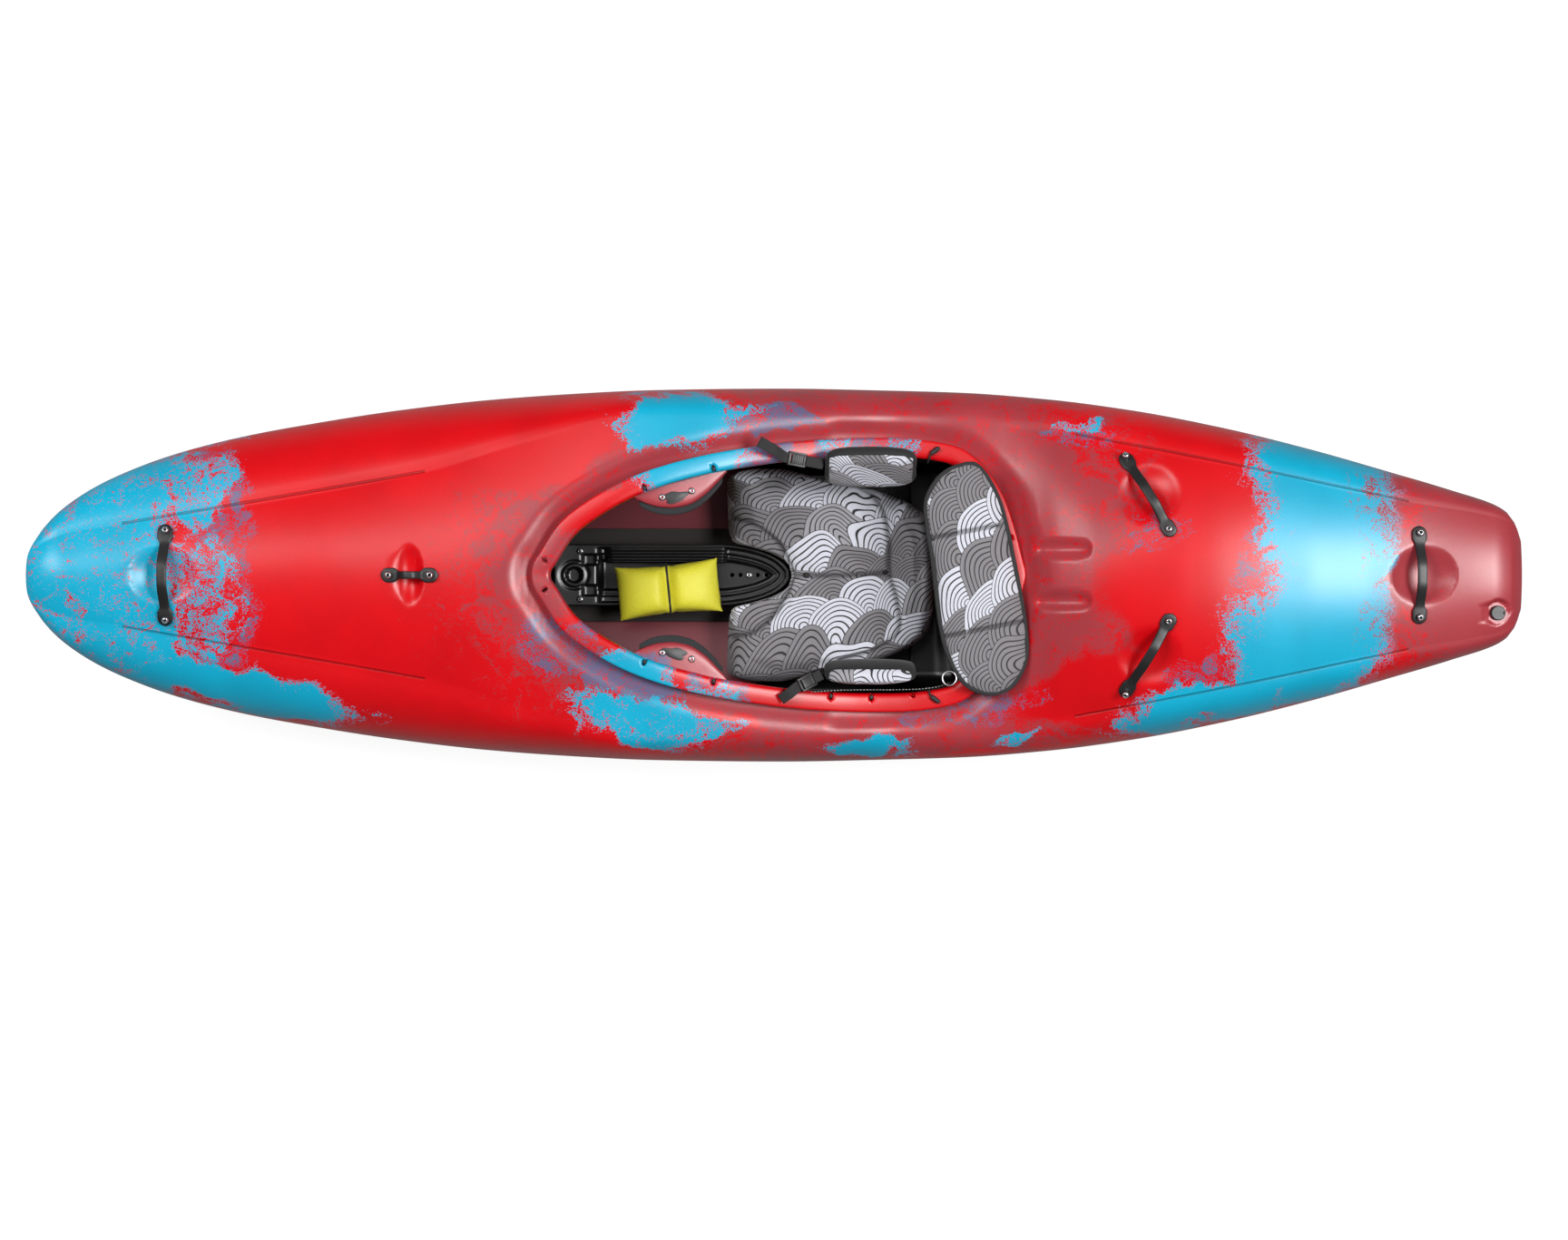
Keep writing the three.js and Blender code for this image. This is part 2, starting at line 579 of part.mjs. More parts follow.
// A groove with round ends that runs down the slope behind the cockpit
function grooveSolid(side, grow, steps) {
  const rings = [];
  const y = (side * GROOVE_SPACING) / 2;
  const reach = GROOVE_LENGTH / 2 + grow;
  const middle = GROOVE_FRONT_X + GROOVE_LENGTH / 2;
  for (let i = 0; i <= steps; i += 1) {
    const s = -Math.cos((i / steps) * Math.PI) * 0.98;
    const x = middle + s * reach;
    const radius = (GROOVE_RADIUS + grow) * Math.sqrt(1 - s * s * s * s);
    const depth = ((GROOVE_DEPTH + grow) * radius) / (GROOVE_RADIUS + grow);
    const z = deckZ(x, y);
    rings.push([
      [radius, OVERRUN], [radius, 0], [radius * 0.6, -depth * 0.8], [0, -depth],
      [-radius * 0.6, -depth * 0.8], [-radius, 0], [-radius, OVERRUN],
    ].map(([dy, dz]) => new THREE.Vector3(x, y + dy, z + dz)));
  }
  return toSolid(loft(rings));
}

// The lip and its wall, swept round the cockpit
function coamingSolid() {
  const crown = LIP_THICKNESS / 8;
  const wallOut = COAMING_WALL - LIP_WIDTH;
  const rings = rim.map((p) => {
    const top = rimZ(p.x);
    const at = (offset) => [p.x + p.nx * offset, p.y + p.ny * offset];
    const foot = deckZ(...at(wallOut)) - WALL * 0.6;
    const profile = [
      [-LIP_THICKNESS / 3, top - LIP_THICKNESS],
      [0, top - LIP_THICKNESS / 2],
      [-LIP_WIDTH / 5, top - crown],
      [-LIP_WIDTH * 0.55, top],
      [-LIP_WIDTH, top - LIP_THICKNESS * 0.7],
      [-LIP_WIDTH, foot],
      [wallOut, foot],
      [wallOut, top - LIP_THICKNESS],
    ];
    return profile.map(([offset, z]) => new THREE.Vector3(...at(offset), z));
  });
  return toSolid(ringLoft(rings));
}

// Joins rings of points into a closed hoop
function ringLoft(rings) {
  const count = rings[0].length;
  const positions = rings.flatMap((ring) => ring.flatMap((p) => [p.x, p.y, p.z]));
  const triangles = [];
  rings.forEach((ring, r) => {
    const next = (r + 1) % rings.length;
    for (let i = 0; i < count; i += 1) {
      const j = (i + 1) % count;
      const [a, b, c, d] = [r * count + i, r * count + j, next * count + j, next * count + i];
      triangles.push([a, b, c], [a, c, d]);
    }
  });
  return outwardGeometry(positions, triangles);
}

// The hole in the deck inside the coaming's wall
function cockpitCut() {
  const offset = COAMING_WALL / 2 - LIP_WIDTH;
  const [low, high] = [HULL_HEIGHT * 0.4, HULL_HEIGHT + OVERRUN];
  const outline = rim.map((p) => [p.x + p.nx * offset, p.y + p.ny * offset]);
  const ring = (z) => outline.map(([x, y]) => new THREE.Vector3(x, y, z));
  return toSolid(loft([ring(low), ring(high)]));
}

// Half width of the cockpit opening at a station, inside the lip
function openingHalf(x) {
  const inner = rim.map((p) => ({ x: p.x - p.nx * LIP_WIDTH, y: p.y - p.ny * LIP_WIDTH }));
  const side = inner.filter((p) => p.y > 0).sort((a, b) => a.x - b.x);
  const i = Math.max(1, side.findIndex((p) => p.x > x));
  const [a, b] = [side[i - 1], side[i]];
  return a.y + ((b.y - a.y) * (x - a.x)) / (b.x - a.x);
}

// Thigh brace edge: how far it reaches inward from the coaming along its length
const braceReachShares = [
  [0, 0.06], [0.12, 0.42], [0.28, 0.78], [0.45, 0.98], [0.6, 1], [0.75, 0.8], [0.9, 0.4], [1, 0.06],
];
const braceX = (share) => BRACE_FRONT_X + share * BRACE_LENGTH;

function thighBraceSolid(side) {
  const rings = braceReachShares.map(([share, reach]) => {
    const x = braceX(share);
    const outer = openingHalf(x) + COAMING_WALL / 2;
    const inner = openingHalf(x) - reach * BRACE_REACH;
    const z = rimZ(x) - BRACE_DROP;
    return [
      [inner, z - BRACE_THICKNESS], [outer, z - BRACE_THICKNESS], [outer, z], [inner, z],
    ].map(([y, h]) => new THREE.Vector3(x, side * y, h));
  });
  return toSolid(loft(rings));
}

// Foam under the thigh brace that stands proud of its inner edge
function thighPad(side) {
  const rings = braceReachShares.slice(1, -1).map(([share, reach]) => {
    const x = braceX(share);
    const outer = openingHalf(x) - COAMING_WALL;
    const inner = openingHalf(x) - reach * BRACE_REACH - THIGH_PAD_PROUD;
    const top = rimZ(x) - BRACE_DROP - BRACE_THICKNESS - SEAT_GAP;
    return [
      [inner, top - THIGH_PAD_THICKNESS * 0.7], [inner + THIGH_PAD_PROUD, top - THIGH_PAD_THICKNESS],
      [outer, top - THIGH_PAD_THICKNESS], [outer, top], [inner, top],
    ].map(([y, z]) => new THREE.Vector3(x, side * y, z));
  });
  return loft(rings);
}

// Thigh brace screws, by share along the brace and share of its reach
const braceScrewShares = [[0.3, 0.42], [0.62, 0.5]];
function braceScrewPlace(side, [share, reach]) {
  const x = braceX(share);
  const step = SCREW_HEAD_DIAMETER;
  const fall = (rimZ(x + step) - rimZ(x - step)) / (2 * step);
  const square = new THREE.Vector3(-fall, 0, 1).normalize();
  return [x, side * (openingHalf(x) - reach * BRACE_REACH), rimZ(x) - BRACE_DROP, square];
}

// Deck level at the drain plug, and the floor of its recess
const drainFloorZ = deckZ(drainX, DRAIN_Y) - DRAIN_RECESS_DEPTH;

// The outside of the shell before anything is cut into it
function outsideLoft() {
  const outer = outerStationShares.map((share) => sectionRing(stationX(share), 0, ...OUTSIDE_STEPS));
  const tip = new THREE.Vector3(stationX(0), 0, keelZ(stationX(0)));
  return loft([outer[0].map((p) => tip.clone().lerp(p, 0.02)), ...outer]);
}

function hullShell() {
  const inner = innerStationShares.map((share) => sectionRing(stationX(share), WALL, ...INSIDE_STEPS));
  let skin = toSolid(outsideLoft());
  let space = toSolid(loft(inner));
  handles.forEach((handle) => {
    skin = skin.subtract(pocketSolid(handle, 0, 20, 3));
    space = space.subtract(pocketSolid(handle, 1.6 * WALL, 10, 2));
  });
  [-1, 1].forEach((side) => {
    skin = skin.subtract(grooveSolid(side, 0, 6));
    space = space.subtract(grooveSolid(side, 1.4 * WALL, 4));
  });
  const recess = (grow) => toSolid(cylinder(
    DRAIN_RECESS_RADIUS + grow, DRAIN_RECESS_DEPTH + OVERRUN, drainX, DRAIN_Y, drainFloorZ - grow, 20,
  ));
  skin = skin.subtract(recess(0));
  space = space.subtract(recess(WALL));
  let shell = skin.subtract(space).subtract(cockpitCut()).add(coamingSolid());
  [-1, 1].forEach((side) => {
    shell = shell.add(thighBraceSolid(side));
    braceScrewShares.forEach((place) => {
      shell = shell.subtract(screwHole(...braceScrewPlace(side, place)));
    });
  });
  handles.forEach((handle) => {
    [handle.a, handle.b].forEach(([x, y]) => {
      shell = shell.subtract(screwHole(x, y, deckZ(x, y), deckNormal(x, y)));
    });
  });
  const drainHole = cylinder(
    PLUG_SHANK_RADIUS + HOLE_CLEARANCE, WALL + OVERRUN, drainX, DRAIN_Y,
    drainFloorZ - WALL - OVERRUN / 2, 16,
  );
  shell = shell.subtract(toSolid(drainHole));
  const pieces = shell.decompose();
  return toGeometry(pieces.sort((a, b) => b.volume() - a.volume())[0]);
}

function screwHole(x, y, z, direction) {
  const up = direction || new THREE.Vector3(0, 0, 1);
  const start = new THREE.Vector3(x, y, z).addScaledVector(up, -SCREW_LENGTH);
  const radius = SCREW_DIAMETER / 2 + HOLE_CLEARANCE;
  return toSolid(cylinder(radius, 2 * SCREW_LENGTH, start.x, start.y, start.z, 8, direction));
}

// A button-head screw with a hex recess, its head's underside at the given point
function screw(x, y, z, direction) {
  const [head, shank] = [SCREW_HEAD_DIAMETER / 2, SCREW_DIAMETER / 2];
  const socket = head * 0.4;
  const profile = [
    [0, -SCREW_LENGTH], [shank, -SCREW_LENGTH], [shank, 0], [head, 0],
    [head * 0.86, SCREW_HEAD_HEIGHT * 0.7], [socket, SCREW_HEAD_HEIGHT],
    [socket, SCREW_HEAD_HEIGHT * 0.4], [0, SCREW_HEAD_HEIGHT * 0.4],
  ].map(([r, h]) => new THREE.Vector2(r, h));
  const geometry = new THREE.LatheGeometry(profile, 8).rotateX(Math.PI / 2);
  return placed(geometry, x, y, z, direction);
}

// Height of a strap's underside: flat pads at both screws and a raised span between them
function strapPath(handle) {
  const a = new THREE.Vector2(...handle.a);
  const b = new THREE.Vector2(...handle.b);
  const span = a.distanceTo(b);
  const along = b.clone().sub(a).divideScalar(span);
  const across = new THREE.Vector2(-along.y, along.x);
  const end = STRAP_PAD_WIDTH / 2;
  const places = [-end, -end * 0.8, 0, end, end * 1.9, end * 3, span / 2];
  const all = [...places, ...places.slice(0, -1).reverse().map((d) => span - d)];
  return all.map((d) => {
    const p = a.clone().addScaledVector(along, d);
    const edge = Math.min(d, span - d);
    const lift = smooth(clamp01((edge - end) / (span / 2 - end) * 1.25));
    const tight = clamp01((edge - end) / end);
    const width = STRAP_PAD_WIDTH + (handle.width - STRAP_PAD_WIDTH) * tight;
    const round = edge < -end * 0.9 ? 0.55 : 1;
    const half = (width / 2) * round;
    const sides = [-half, 0, half].map((w) => p.clone().addScaledVector(across, w));
    const ground = Math.max(...sides.map((q) => deckZ(q.x, q.y)));
    return { p, across, half, z: ground - FACET_GAP + lift * handle.rise };
  });
}

// Straps are cut to the deck that they sit on
const deckUnderStraps = toSolid(outsideLoft().translate(0, 0, SEAT_GAP));

function handleStrap(handle) {
  const rings = strapPath(handle).map(({ p, across, half, z }) => {
    const bevel = STRAP_THICKNESS / 3;
    return [
      [-half, 0], [half, 0], [half, STRAP_THICKNESS - bevel],
      [half - bevel, STRAP_THICKNESS], [bevel - half, STRAP_THICKNESS], [-half, STRAP_THICKNESS - bevel],
    ].map(([w, h]) => new THREE.Vector3(p.x + across.x * w, p.y + across.y * w, z + h));
  });
  let strap = toSolid(loft(rings)).subtract(deckUnderStraps);
  [handle.a, handle.b].forEach(([x, y]) => {
    strap = strap.subtract(screwHole(x, y, deckZ(x, y), deckNormal(x, y)));
  });
  return toGeometry(strap);
}

// Top of a handle's pad at its screw, where the screw's head sits
function padTop(handle, [x, y]) {
  const direction = deckNormal(x, y);
  const path = strapPath(handle);
  const pads = path.filter(({ p }) => Math.hypot(p.x - x, p.y - y) < STRAP_PAD_WIDTH);
  const highest = Math.max(...pads.map(({ z }) => z)) + STRAP_THICKNESS;
  const base = deckZ(x, y);
  return new THREE.Vector3(x, y, base).addScaledVector(direction, highest - base + SEAT_GAP);
}

// Height of the inside of the hull's bottom, with the same flats as the shell
function floorZ(x, y) {
  const share = clamp01(Math.abs(y) / chineHalf(x));
  const shares = [...bellyPointShares].reverse();
  const i = Math.max(1, shares.findIndex((s) => s >= share));
  const [s0, s1] = [shares[i - 1], shares[i]];
  const [z0, z1] = [bellyZ(x, s0), bellyZ(x, s1)];
  return z0 + ((z1 - z0) * (share - s0)) / (s1 - s0) + WALL;
}

// A bar that follows the floor: its underside sits on it and its top is level or parallel
function floorBar(x0, x1, steps, ys, topAt, lift) {
  const rings = [];
  for (let i = 0; i <= steps; i += 1) {
    const x = x0 + ((x1 - x0) * i) / steps;
    const bottom = ys.map((y) => new THREE.Vector3(x, y, floorZ(x, y) + lift));
    const top = [...ys].reverse().map((y) => new THREE.Vector3(x, y, topAt(x, y)));
    rings.push([...bottom, ...top]);
  }
  return loft(rings);
}

const matTopZ = (x, y) => floorZ(x, y) + FLOOR_GAP + MAT_THICKNESS;

function floorMat() {
  const knee = MAT_HALF_WIDTH * 0.88;
  const ys = [-MAT_HALF_WIDTH, -knee, 0, knee, MAT_HALF_WIDTH];
  return floorBar(MAT_FRONT_X, MAT_FRONT_X + MAT_LENGTH, 7, ys, matTopZ, FLOOR_GAP);
}

// The centre beam is a tray with a rounded nose that points aft
const beamNoseShares = [
  [0, 0.9], [0.03, 1], [0.12, 1], [0.25, 1], [0.4, 1], [0.56, 1], [0.72, 1], [0.84, 0.86], [0.93, 0.62],
  [0.98, 0.34], [1, 0.14],
];
const beamFootZ = (x) => matTopZ(x, BEAM_HALF_WIDTH) + SEAT_GAP + FACET_GAP / 2;

function beamRing([share, width], shrink, bottomUp) {
  const start = bottomUp ? BEAM_BLOCK : 0;
  const x = BEAM_FRONT_X + start + share * (BEAM_LENGTH - start - shrink);
  const half = Math.max(width * BEAM_HALF_WIDTH - shrink, shrink / 2);
  const low = beamFootZ(x) + bottomUp;
  const high = beamFootZ(x) + BEAM_HEIGHT + (bottomUp ? OVERRUN : 0);
  return [[-half, low], [half, low], [half, high], [-half, high]]
    .map(([y, z]) => new THREE.Vector3(x, y, z));
}

function centreBeam() {
  const body = toSolid(loft(beamNoseShares.map((row) => beamRing(row, 0, 0))));
  const trayFloor = BEAM_HEIGHT - BEAM_TRAY_DEPTH;
  const tray = toSolid(loft(beamNoseShares.map((row) => beamRing(row, BEAM_WALL, trayFloor))));
  let beam = body.subtract(tray);
  for (let i = 0; i < BEAM_HOLES; i += 1) {
    const x = trimBoltX + (i - (BEAM_HOLES - 1) / 2) * BEAM_HOLE_PITCH;
    const radius = BEAM_HOLE_DIAMETER / 2;
    const hole = cylinder(radius, 2 * BEAM_HEIGHT, x, 0, beamFootZ(x) - OVERRUN / 2, 8);
    beam = beam.subtract(toSolid(hole));
  }
  beamBolts().slice(1).forEach(([x, y, z]) => {
    beam = beam.subtract(screwHole(x, y, z));
  });
  return toGeometry(beam);
}

// The trim bolt in the middle hole of the tray, then the two bolts on the block in front of it
const trimBoltX = BEAM_FRONT_X + BEAM_LENGTH - 4.6 * BEAM_HOLE_PITCH;
function beamBolts() {
  const trayZ = beamFootZ(trimBoltX) + BEAM_HEIGHT - BEAM_TRAY_DEPTH;
  const topZ = beamFootZ(BEAM_BOLT_X - SCREW_HEAD_DIAMETER / 2) + BEAM_HEIGHT;
  return [
    [trimBoltX, 0, trayZ + SEAT_GAP + FACET_GAP],
    [BEAM_BOLT_X, -BEAM_BOLT_Y, topZ + FACET_GAP],
    [BEAM_BOLT_X, BEAM_BOLT_Y, topZ + FACET_GAP],
  ];
}

// Foam pillars stand on edge along the middle, between the bottom and the deck
function pillar(x0, length, lift) {
  const rings = [];
  const steps = 5;
  const half = PILLAR_THICKNESS / 2;
  for (let i = 0; i <= steps; i += 1) {
    const x = x0 + (length * i) / steps;
    const top = Math.min(deckZ(x, 0), deckZ(x, half)) - WALL - 2 * FACET_GAP - POCKET_DEPTH;
    const foot = floorZ(x, half) + lift;
    rings.push([[-half, foot], [half, foot], [half, top], [-half, top]]
      .map(([y, z]) => new THREE.Vector3(x, y, z)));
  }
  return loft(rings);
}

// Foot bulkhead: half outline of its plate, as shares of its half width and of the rail's height
const bulkheadOutlineShares = [
  [0.34, 0.62], [0.8, 0.78], [0.97, 0.92], [1, 1], [0.97, 1.1], [0.72, 1.42], [0.4, 1.58],
];

function bulkheadPlate(front, thickness, scale) {
  const side = bulkheadOutlineShares.map(([y, z]) => [
    y * bulkheadHalfWidth * scale, FOOT_RAIL_Z + (z - 1) * FOOT_RAIL_Z * scale,
  ]);
  const outline = [...side, ...[...side].reverse().map(([y, z]) => [-y, z])];
  const ring = (x) => outline.map(([y, z]) => new THREE.Vector3(x, y, z));
  return loft([ring(front), ring(front + thickness)]);
}

function footBulkhead() {
  const plate = toSolid(bulkheadPlate(BULKHEAD_X, BULKHEAD_THICKNESS, 1));
  const shoe = (side) => {
    const inner = bulkheadHalfWidth * 0.9;
    const outer = bulkheadHalfWidth;
    const half = FOOT_RAIL_HEIGHT / 2;
    return toSolid(box(
      BULKHEAD_X, BULKHEAD_X + BULKHEAD_FOAM, Math.min(side * inner, side * outer),
      Math.max(side * inner, side * outer), FOOT_RAIL_Z - half, FOOT_RAIL_Z + half,
    ));
  };
  return toGeometry(plate.add(shoe(-1)).add(shoe(1)));
}

// Each foot rail is a straight bar on two blocks that reach out to the hull's side
function footRail(side) {
  const inner = bulkheadHalfWidth + SEAT_GAP;
  const x0 = BULKHEAD_X - BULKHEAD_TRAVEL_FORWARD - FOOT_RAIL_END;
  const x1 = BULKHEAD_X + BULKHEAD_TRAVEL_AFT + BULKHEAD_FOAM + FOOT_RAIL_END;
  const half = FOOT_RAIL_HEIGHT / 2;
  const order = (a, b) => [Math.min(side * a, side * b), Math.max(side * a, side * b)];
  let rail = toSolid(box(
    x0, x1, ...order(inner, inner + FOOT_RAIL_THICKNESS), FOOT_RAIL_Z - half, FOOT_RAIL_Z + half,
  ));
  [x0, x1 - FOOT_RAIL_END].forEach((x) => {
    const reach = (at) => sideHalf(at, FOOT_RAIL_Z) - WALL - FACET_GAP;
    const ring = (at) => [
      [inner + FOOT_RAIL_THICKNESS / 2, -half], [reach(at), -half], [reach(at), half],
      [inner + FOOT_RAIL_THICKNESS / 2, half],
    ].map(([y, z]) => new THREE.Vector3(at, side * y, FOOT_RAIL_Z + z));
    rail = rail.add(toSolid(loft([ring(x), ring(x + FOOT_RAIL_END)])));
  });
  return toGeometry(rail);
}

// Least half width of the hull's side over a rail's height
function sideHalf(x, z) {
  const half = FOOT_RAIL_HEIGHT / 2;
  const points = halfSection(x, ...INSIDE_STEPS);
  const at = (height) => {
    let widest = 0;
    for (let i = 1; i < points.length; i += 1) {
      const [[y0, z0], [y1, z1]] = [points[i - 1], points[i]];
      if ((z0 - height) * (z1 - height) <= 0 && z0 !== z1) {
        widest = Math.max(widest, y0 + ((y1 - y0) * (height - z0)) / (z1 - z0));
      }
    }
    return widest;
  };
  return Math.min(at(z - half), at(z), at(z + half)) - FACET_GAP;
}

function seatRail(side) {
  const ys = [RAIL_INNER_Y, RAIL_INNER_Y + RAIL_WIDTH].map((y) => side * y);
  const sorted = ys.sort((a, b) => a - b);
  return floorBar(RAIL_FRONT_X, RAIL_FRONT_X + RAIL_LENGTH, 6, sorted, () => RAIL_TOP_Z, FLOOR_GAP);
}

const seatFloorZ = RAIL_TOP_Z + SEAT_GAP;
const cushionFootZ = seatFloorZ + SEAT_BASE_THICKNESS + SEAT_GAP;

// How much shorter a wing is in front, by share of its height
const wingCutShares = [[0, 0], [0.25, 0.18], [1, 0.1]];

// The seat pan is a plate with a wing at each side that holds a hip pad
function seatBase() {
  const x1 = SEAT_BASE_FRONT_X + SEAT_BASE_LENGTH;
  const half = SEAT_BASE_HALF_WIDTH;
  const panTopZ = seatFloorZ + SEAT_BASE_THICKNESS;
  let pan = toSolid(box(SEAT_BASE_FRONT_X, x1, -half, half, seatFloorZ, panTopZ));
  [-1, 1].forEach((side) => {
    const [a, b] = [side * half, side * (half - WING_THICKNESS)];
    const foot = seatFloorZ + SEAT_BASE_THICKNESS / 2;
    const rings = wingCutShares.map(([rise, cut]) => {
      const z = foot + rise * (WING_TOP_Z - foot);
      const front = WING_FRONT_X + cut * WING_LENGTH;
      const back = WING_FRONT_X + WING_LENGTH * (1 - cut / 2);
      return [[front, a], [back, a], [back, b], [front, b]].map(([x, y]) => new THREE.Vector3(x, y, z));
    });
    pan = pan.add(toSolid(loft(rings)));
  });
  const notchEnd = BEAM_FRONT_X + BEAM_LENGTH + SEAT_TRAVEL + SEAT_NOTCH_CLEARANCE;
  const notchHalf = BEAM_HALF_WIDTH + SEAT_NOTCH_CLEARANCE;
  const [low, high] = [seatFloorZ - OVERRUN, seatFloorZ + OVERRUN];
  pan = pan.subtract(toSolid(box(SEAT_BASE_FRONT_X - OVERRUN, notchEnd, -notchHalf, notchHalf, low, high)));
  return toGeometry(pan);
}

// Seat cushion: its front and rear edges by share of its half width, and its crown along its length
const cushionFrontShares = [
  [0, 0.36], [0.1, 0.345], [0.19, 0.265], [0.26, 0.16], [0.31, 0.06], [0.36, 0.01], [0.9, 0],
  [0.97, 0.04], [1, 0.12],
];
const cushionRearShares = [
  [0, 1], [0.3, 1], [0.5, 0.98], [0.66, 0.9], [0.8, 0.72], [0.88, 0.5], [0.95, 0.38], [1, 0.28],
];
const cushionCrownShares = [
  [0, 0.5], [0.1, 0.6], [0.25, 0.58], [0.45, 0.5], [0.62, 0.52], [0.78, 0.68], [0.9, 0.9], [1, 1],
];
const cushionFront = curveThrough(cushionFrontShares);
const cushionRear = curveThrough(cushionRearShares);
const cushionCrown = curveThrough(cushionCrownShares);
const cushionButtonShares = [[0.386, 0], [0.766, 0.03]];

function cushionTopZ(x, y) {
  const along = clamp01((x - CUSHION_FRONT_X) / CUSHION_LENGTH);
  const across = Math.abs(y) / CUSHION_HALF_WIDTH;
  const crest = cushionFootZ + cushionCrown(along) * (CUSHION_CREST_Z - cushionFootZ);
  const side = 0.16 * across * across * (CUSHION_CREST_Z - cushionFootZ);
  const dimples = cushionButtonShares.reduce((sum, [u, v]) => {
    const dx = x - CUSHION_FRONT_X - u * CUSHION_LENGTH;
    const dy = y - v * CUSHION_HALF_WIDTH;
    return sum + BUTTON_DIMPLE * Math.exp(-(dx * dx + dy * dy) / (BUTTON_SPREAD * BUTTON_SPREAD));
  }, 0);
  return crest + side - dimples;
}

function seatCushion() {
  const rows = [-1, -0.97, -0.91, -0.8, -0.66, -0.5, -0.36, -0.31, -0.26, -0.19, -0.1, 0,
    0.1, 0.19, 0.26, 0.31, 0.36, 0.5, 0.66, 0.8, 0.91, 0.97, 1];
  const columns = [0, 0.03, 0.1, 0.22, 0.36, 0.5, 0.64, 0.78, 0.9, 0.97, 1];
  const rings = rows.map((row) => {
    const v = Math.abs(row);
    const y = row * CUSHION_HALF_WIDTH;
    const front = CUSHION_FRONT_X + cushionFront(v) * CUSHION_LENGTH;
    const rear = CUSHION_FRONT_X + cushionRear(v) * CUSHION_LENGTH;
    const sideRound = Math.sqrt(Math.max(0, 1 - Math.max(0, (v - 0.9) / 0.115) ** 2));
    const top = columns.map((u) => {
      const x = front + u * (rear - front);
      const edge = Math.min(u, 1 - u) / 0.1;
      const endRound = edge >= 1 ? 1 : Math.sqrt(1 - (1 - edge) * (1 - edge));
      const fill = (0.35 + 0.65 * endRound) * (0.25 + 0.75 * sideRound);
      return new THREE.Vector3(x, y, cushionFootZ + fill * (cushionTopZ(x, y) - cushionFootZ));
    });
    const bottom = [0.96, 0.6, 0.3, 0.04].map((u) => (
      new THREE.Vector3(front + u * (rear - front), y, cushionFootZ)
    ));
    return [...top, ...bottom];
  });
  return loft(rings);
}

// Hip pads: cross-sections as [y, z], drawn in towards their ends
const PAD_LEAN = 0.82;
const PAD_OVERLAP_SHARE = 0.18;
const padSizeShares = [
  [0, 0.62], [0.05, 0.84], [0.16, 0.96], [0.34, 1], [0.66, 1], [0.84, 0.96], [0.95, 0.84], [1, 0.62],
];
const wingInnerY = SEAT_BASE_HALF_WIDTH - WING_THICKNESS;

function padLoft(section, front, length) {
  const total = section.reduce(([sy, sz], [y, z]) => [sy + y, sz + z], [0, 0]);
  const [my, mz] = total.map((sum) => sum / section.length);
  return loft(padSizeShares.map(([along, size]) => section.map(([y, z]) => (
    new THREE.Vector3(front + along * length, my + (y - my) * size, mz + (z - mz) * size)
  ))));
}

// The starboard pad leans out over the coaming, its face towards the paddler and up
function hipPadStarboard() {
  const along = [Math.cos(PAD_LEAN), Math.sin(PAD_LEAN)];
  const into = [Math.sin(PAD_LEAN), -Math.cos(PAD_LEAN)];
  const shape = [
    [0.04, 0], [0.3, -0.14], [0.7, -0.14], [0.96, 0], [1, 0.35], [0.97, 0.85], [0.85, 1], [0.15, 1],
    [0.03, 0.85], [0, 0.35],
  ];
  const section = shape.map(([u, v]) => {
    const up = (u - PAD_OVERLAP_SHARE) * HIP_PAD_HEIGHT;
    const deep = (v - 1) * HIP_PAD_THICKNESS - SEAT_GAP;
    return [
      wingInnerY + along[0] * up + into[0] * deep,
      WING_TOP_Z + along[1] * up + into[1] * deep,
    ];
  });
  return padLoft(section, HIP_PAD_FRONT_X, HIP_PAD_LENGTH);
}

// The port pad stands against its wing and bends outward above it
const portPadShares = [
  [0.05, 0], [0.9, 0.02], [1, 0.08], [1, 0.64], [1.3, 0.77], [1.6, 0.93], [1.45, 1], [0.75, 0.99],
  [0.3, 0.8], [-0.1, 0.5], [-0.12, 0.2],
];
function hipPadPort() {
  const section = portPadShares.map(([v, u]) => [
    -(wingInnerY - SEAT_GAP + (v - 1) * HIP_PAD_THICKNESS),
    WING_TOP_Z + (u - 0.62) * HIP_PAD_HEIGHT,
  ]);
  return padLoft(section, HIP_PAD_FRONT_X, HIP_PAD_LENGTH);
}

// A flat strip of webbing through points, with its width laid along a given direction
function webbing(points, across, width) {
  const side = new THREE.Vector3(...across).normalize();
  const rings = points.map((p, i) => {
    const ahead = points[Math.min(i + 1, points.length - 1)];
    const behind = points[Math.max(i - 1, 0)];
    const along = ahead.clone().sub(behind).normalize();
    const up = new THREE.Vector3().crossVectors(along, side).normalize();
    return [[-1, -1], [1, -1], [1, 1], [-1, 1]].map(([a, b]) => p.clone()
      .addScaledVector(side, (a * width) / 2)
      .addScaledVector(up, (b * WEBBING_THICKNESS) / 2));
  });
  return loft(rings);
}

// A cam buckle: a block that thins towards both ends
function buckle() {
  const [l, w, h] = [BUCKLE_LENGTH / 2, BUCKLE_WIDTH / 2, BUCKLE_HEIGHT / 2];
  const shares = [[-1, 0.5], [-0.5, 1], [0.55, 1], [1, 0.45]];
  return loft(shares.map(([along, high]) => [[-w, -h * 0.6], [w, -h * 0.6], [w, h * high], [-w, h * high]]
    .map(([y, z]) => new THREE.Vector3(along * l, y, z))));
}

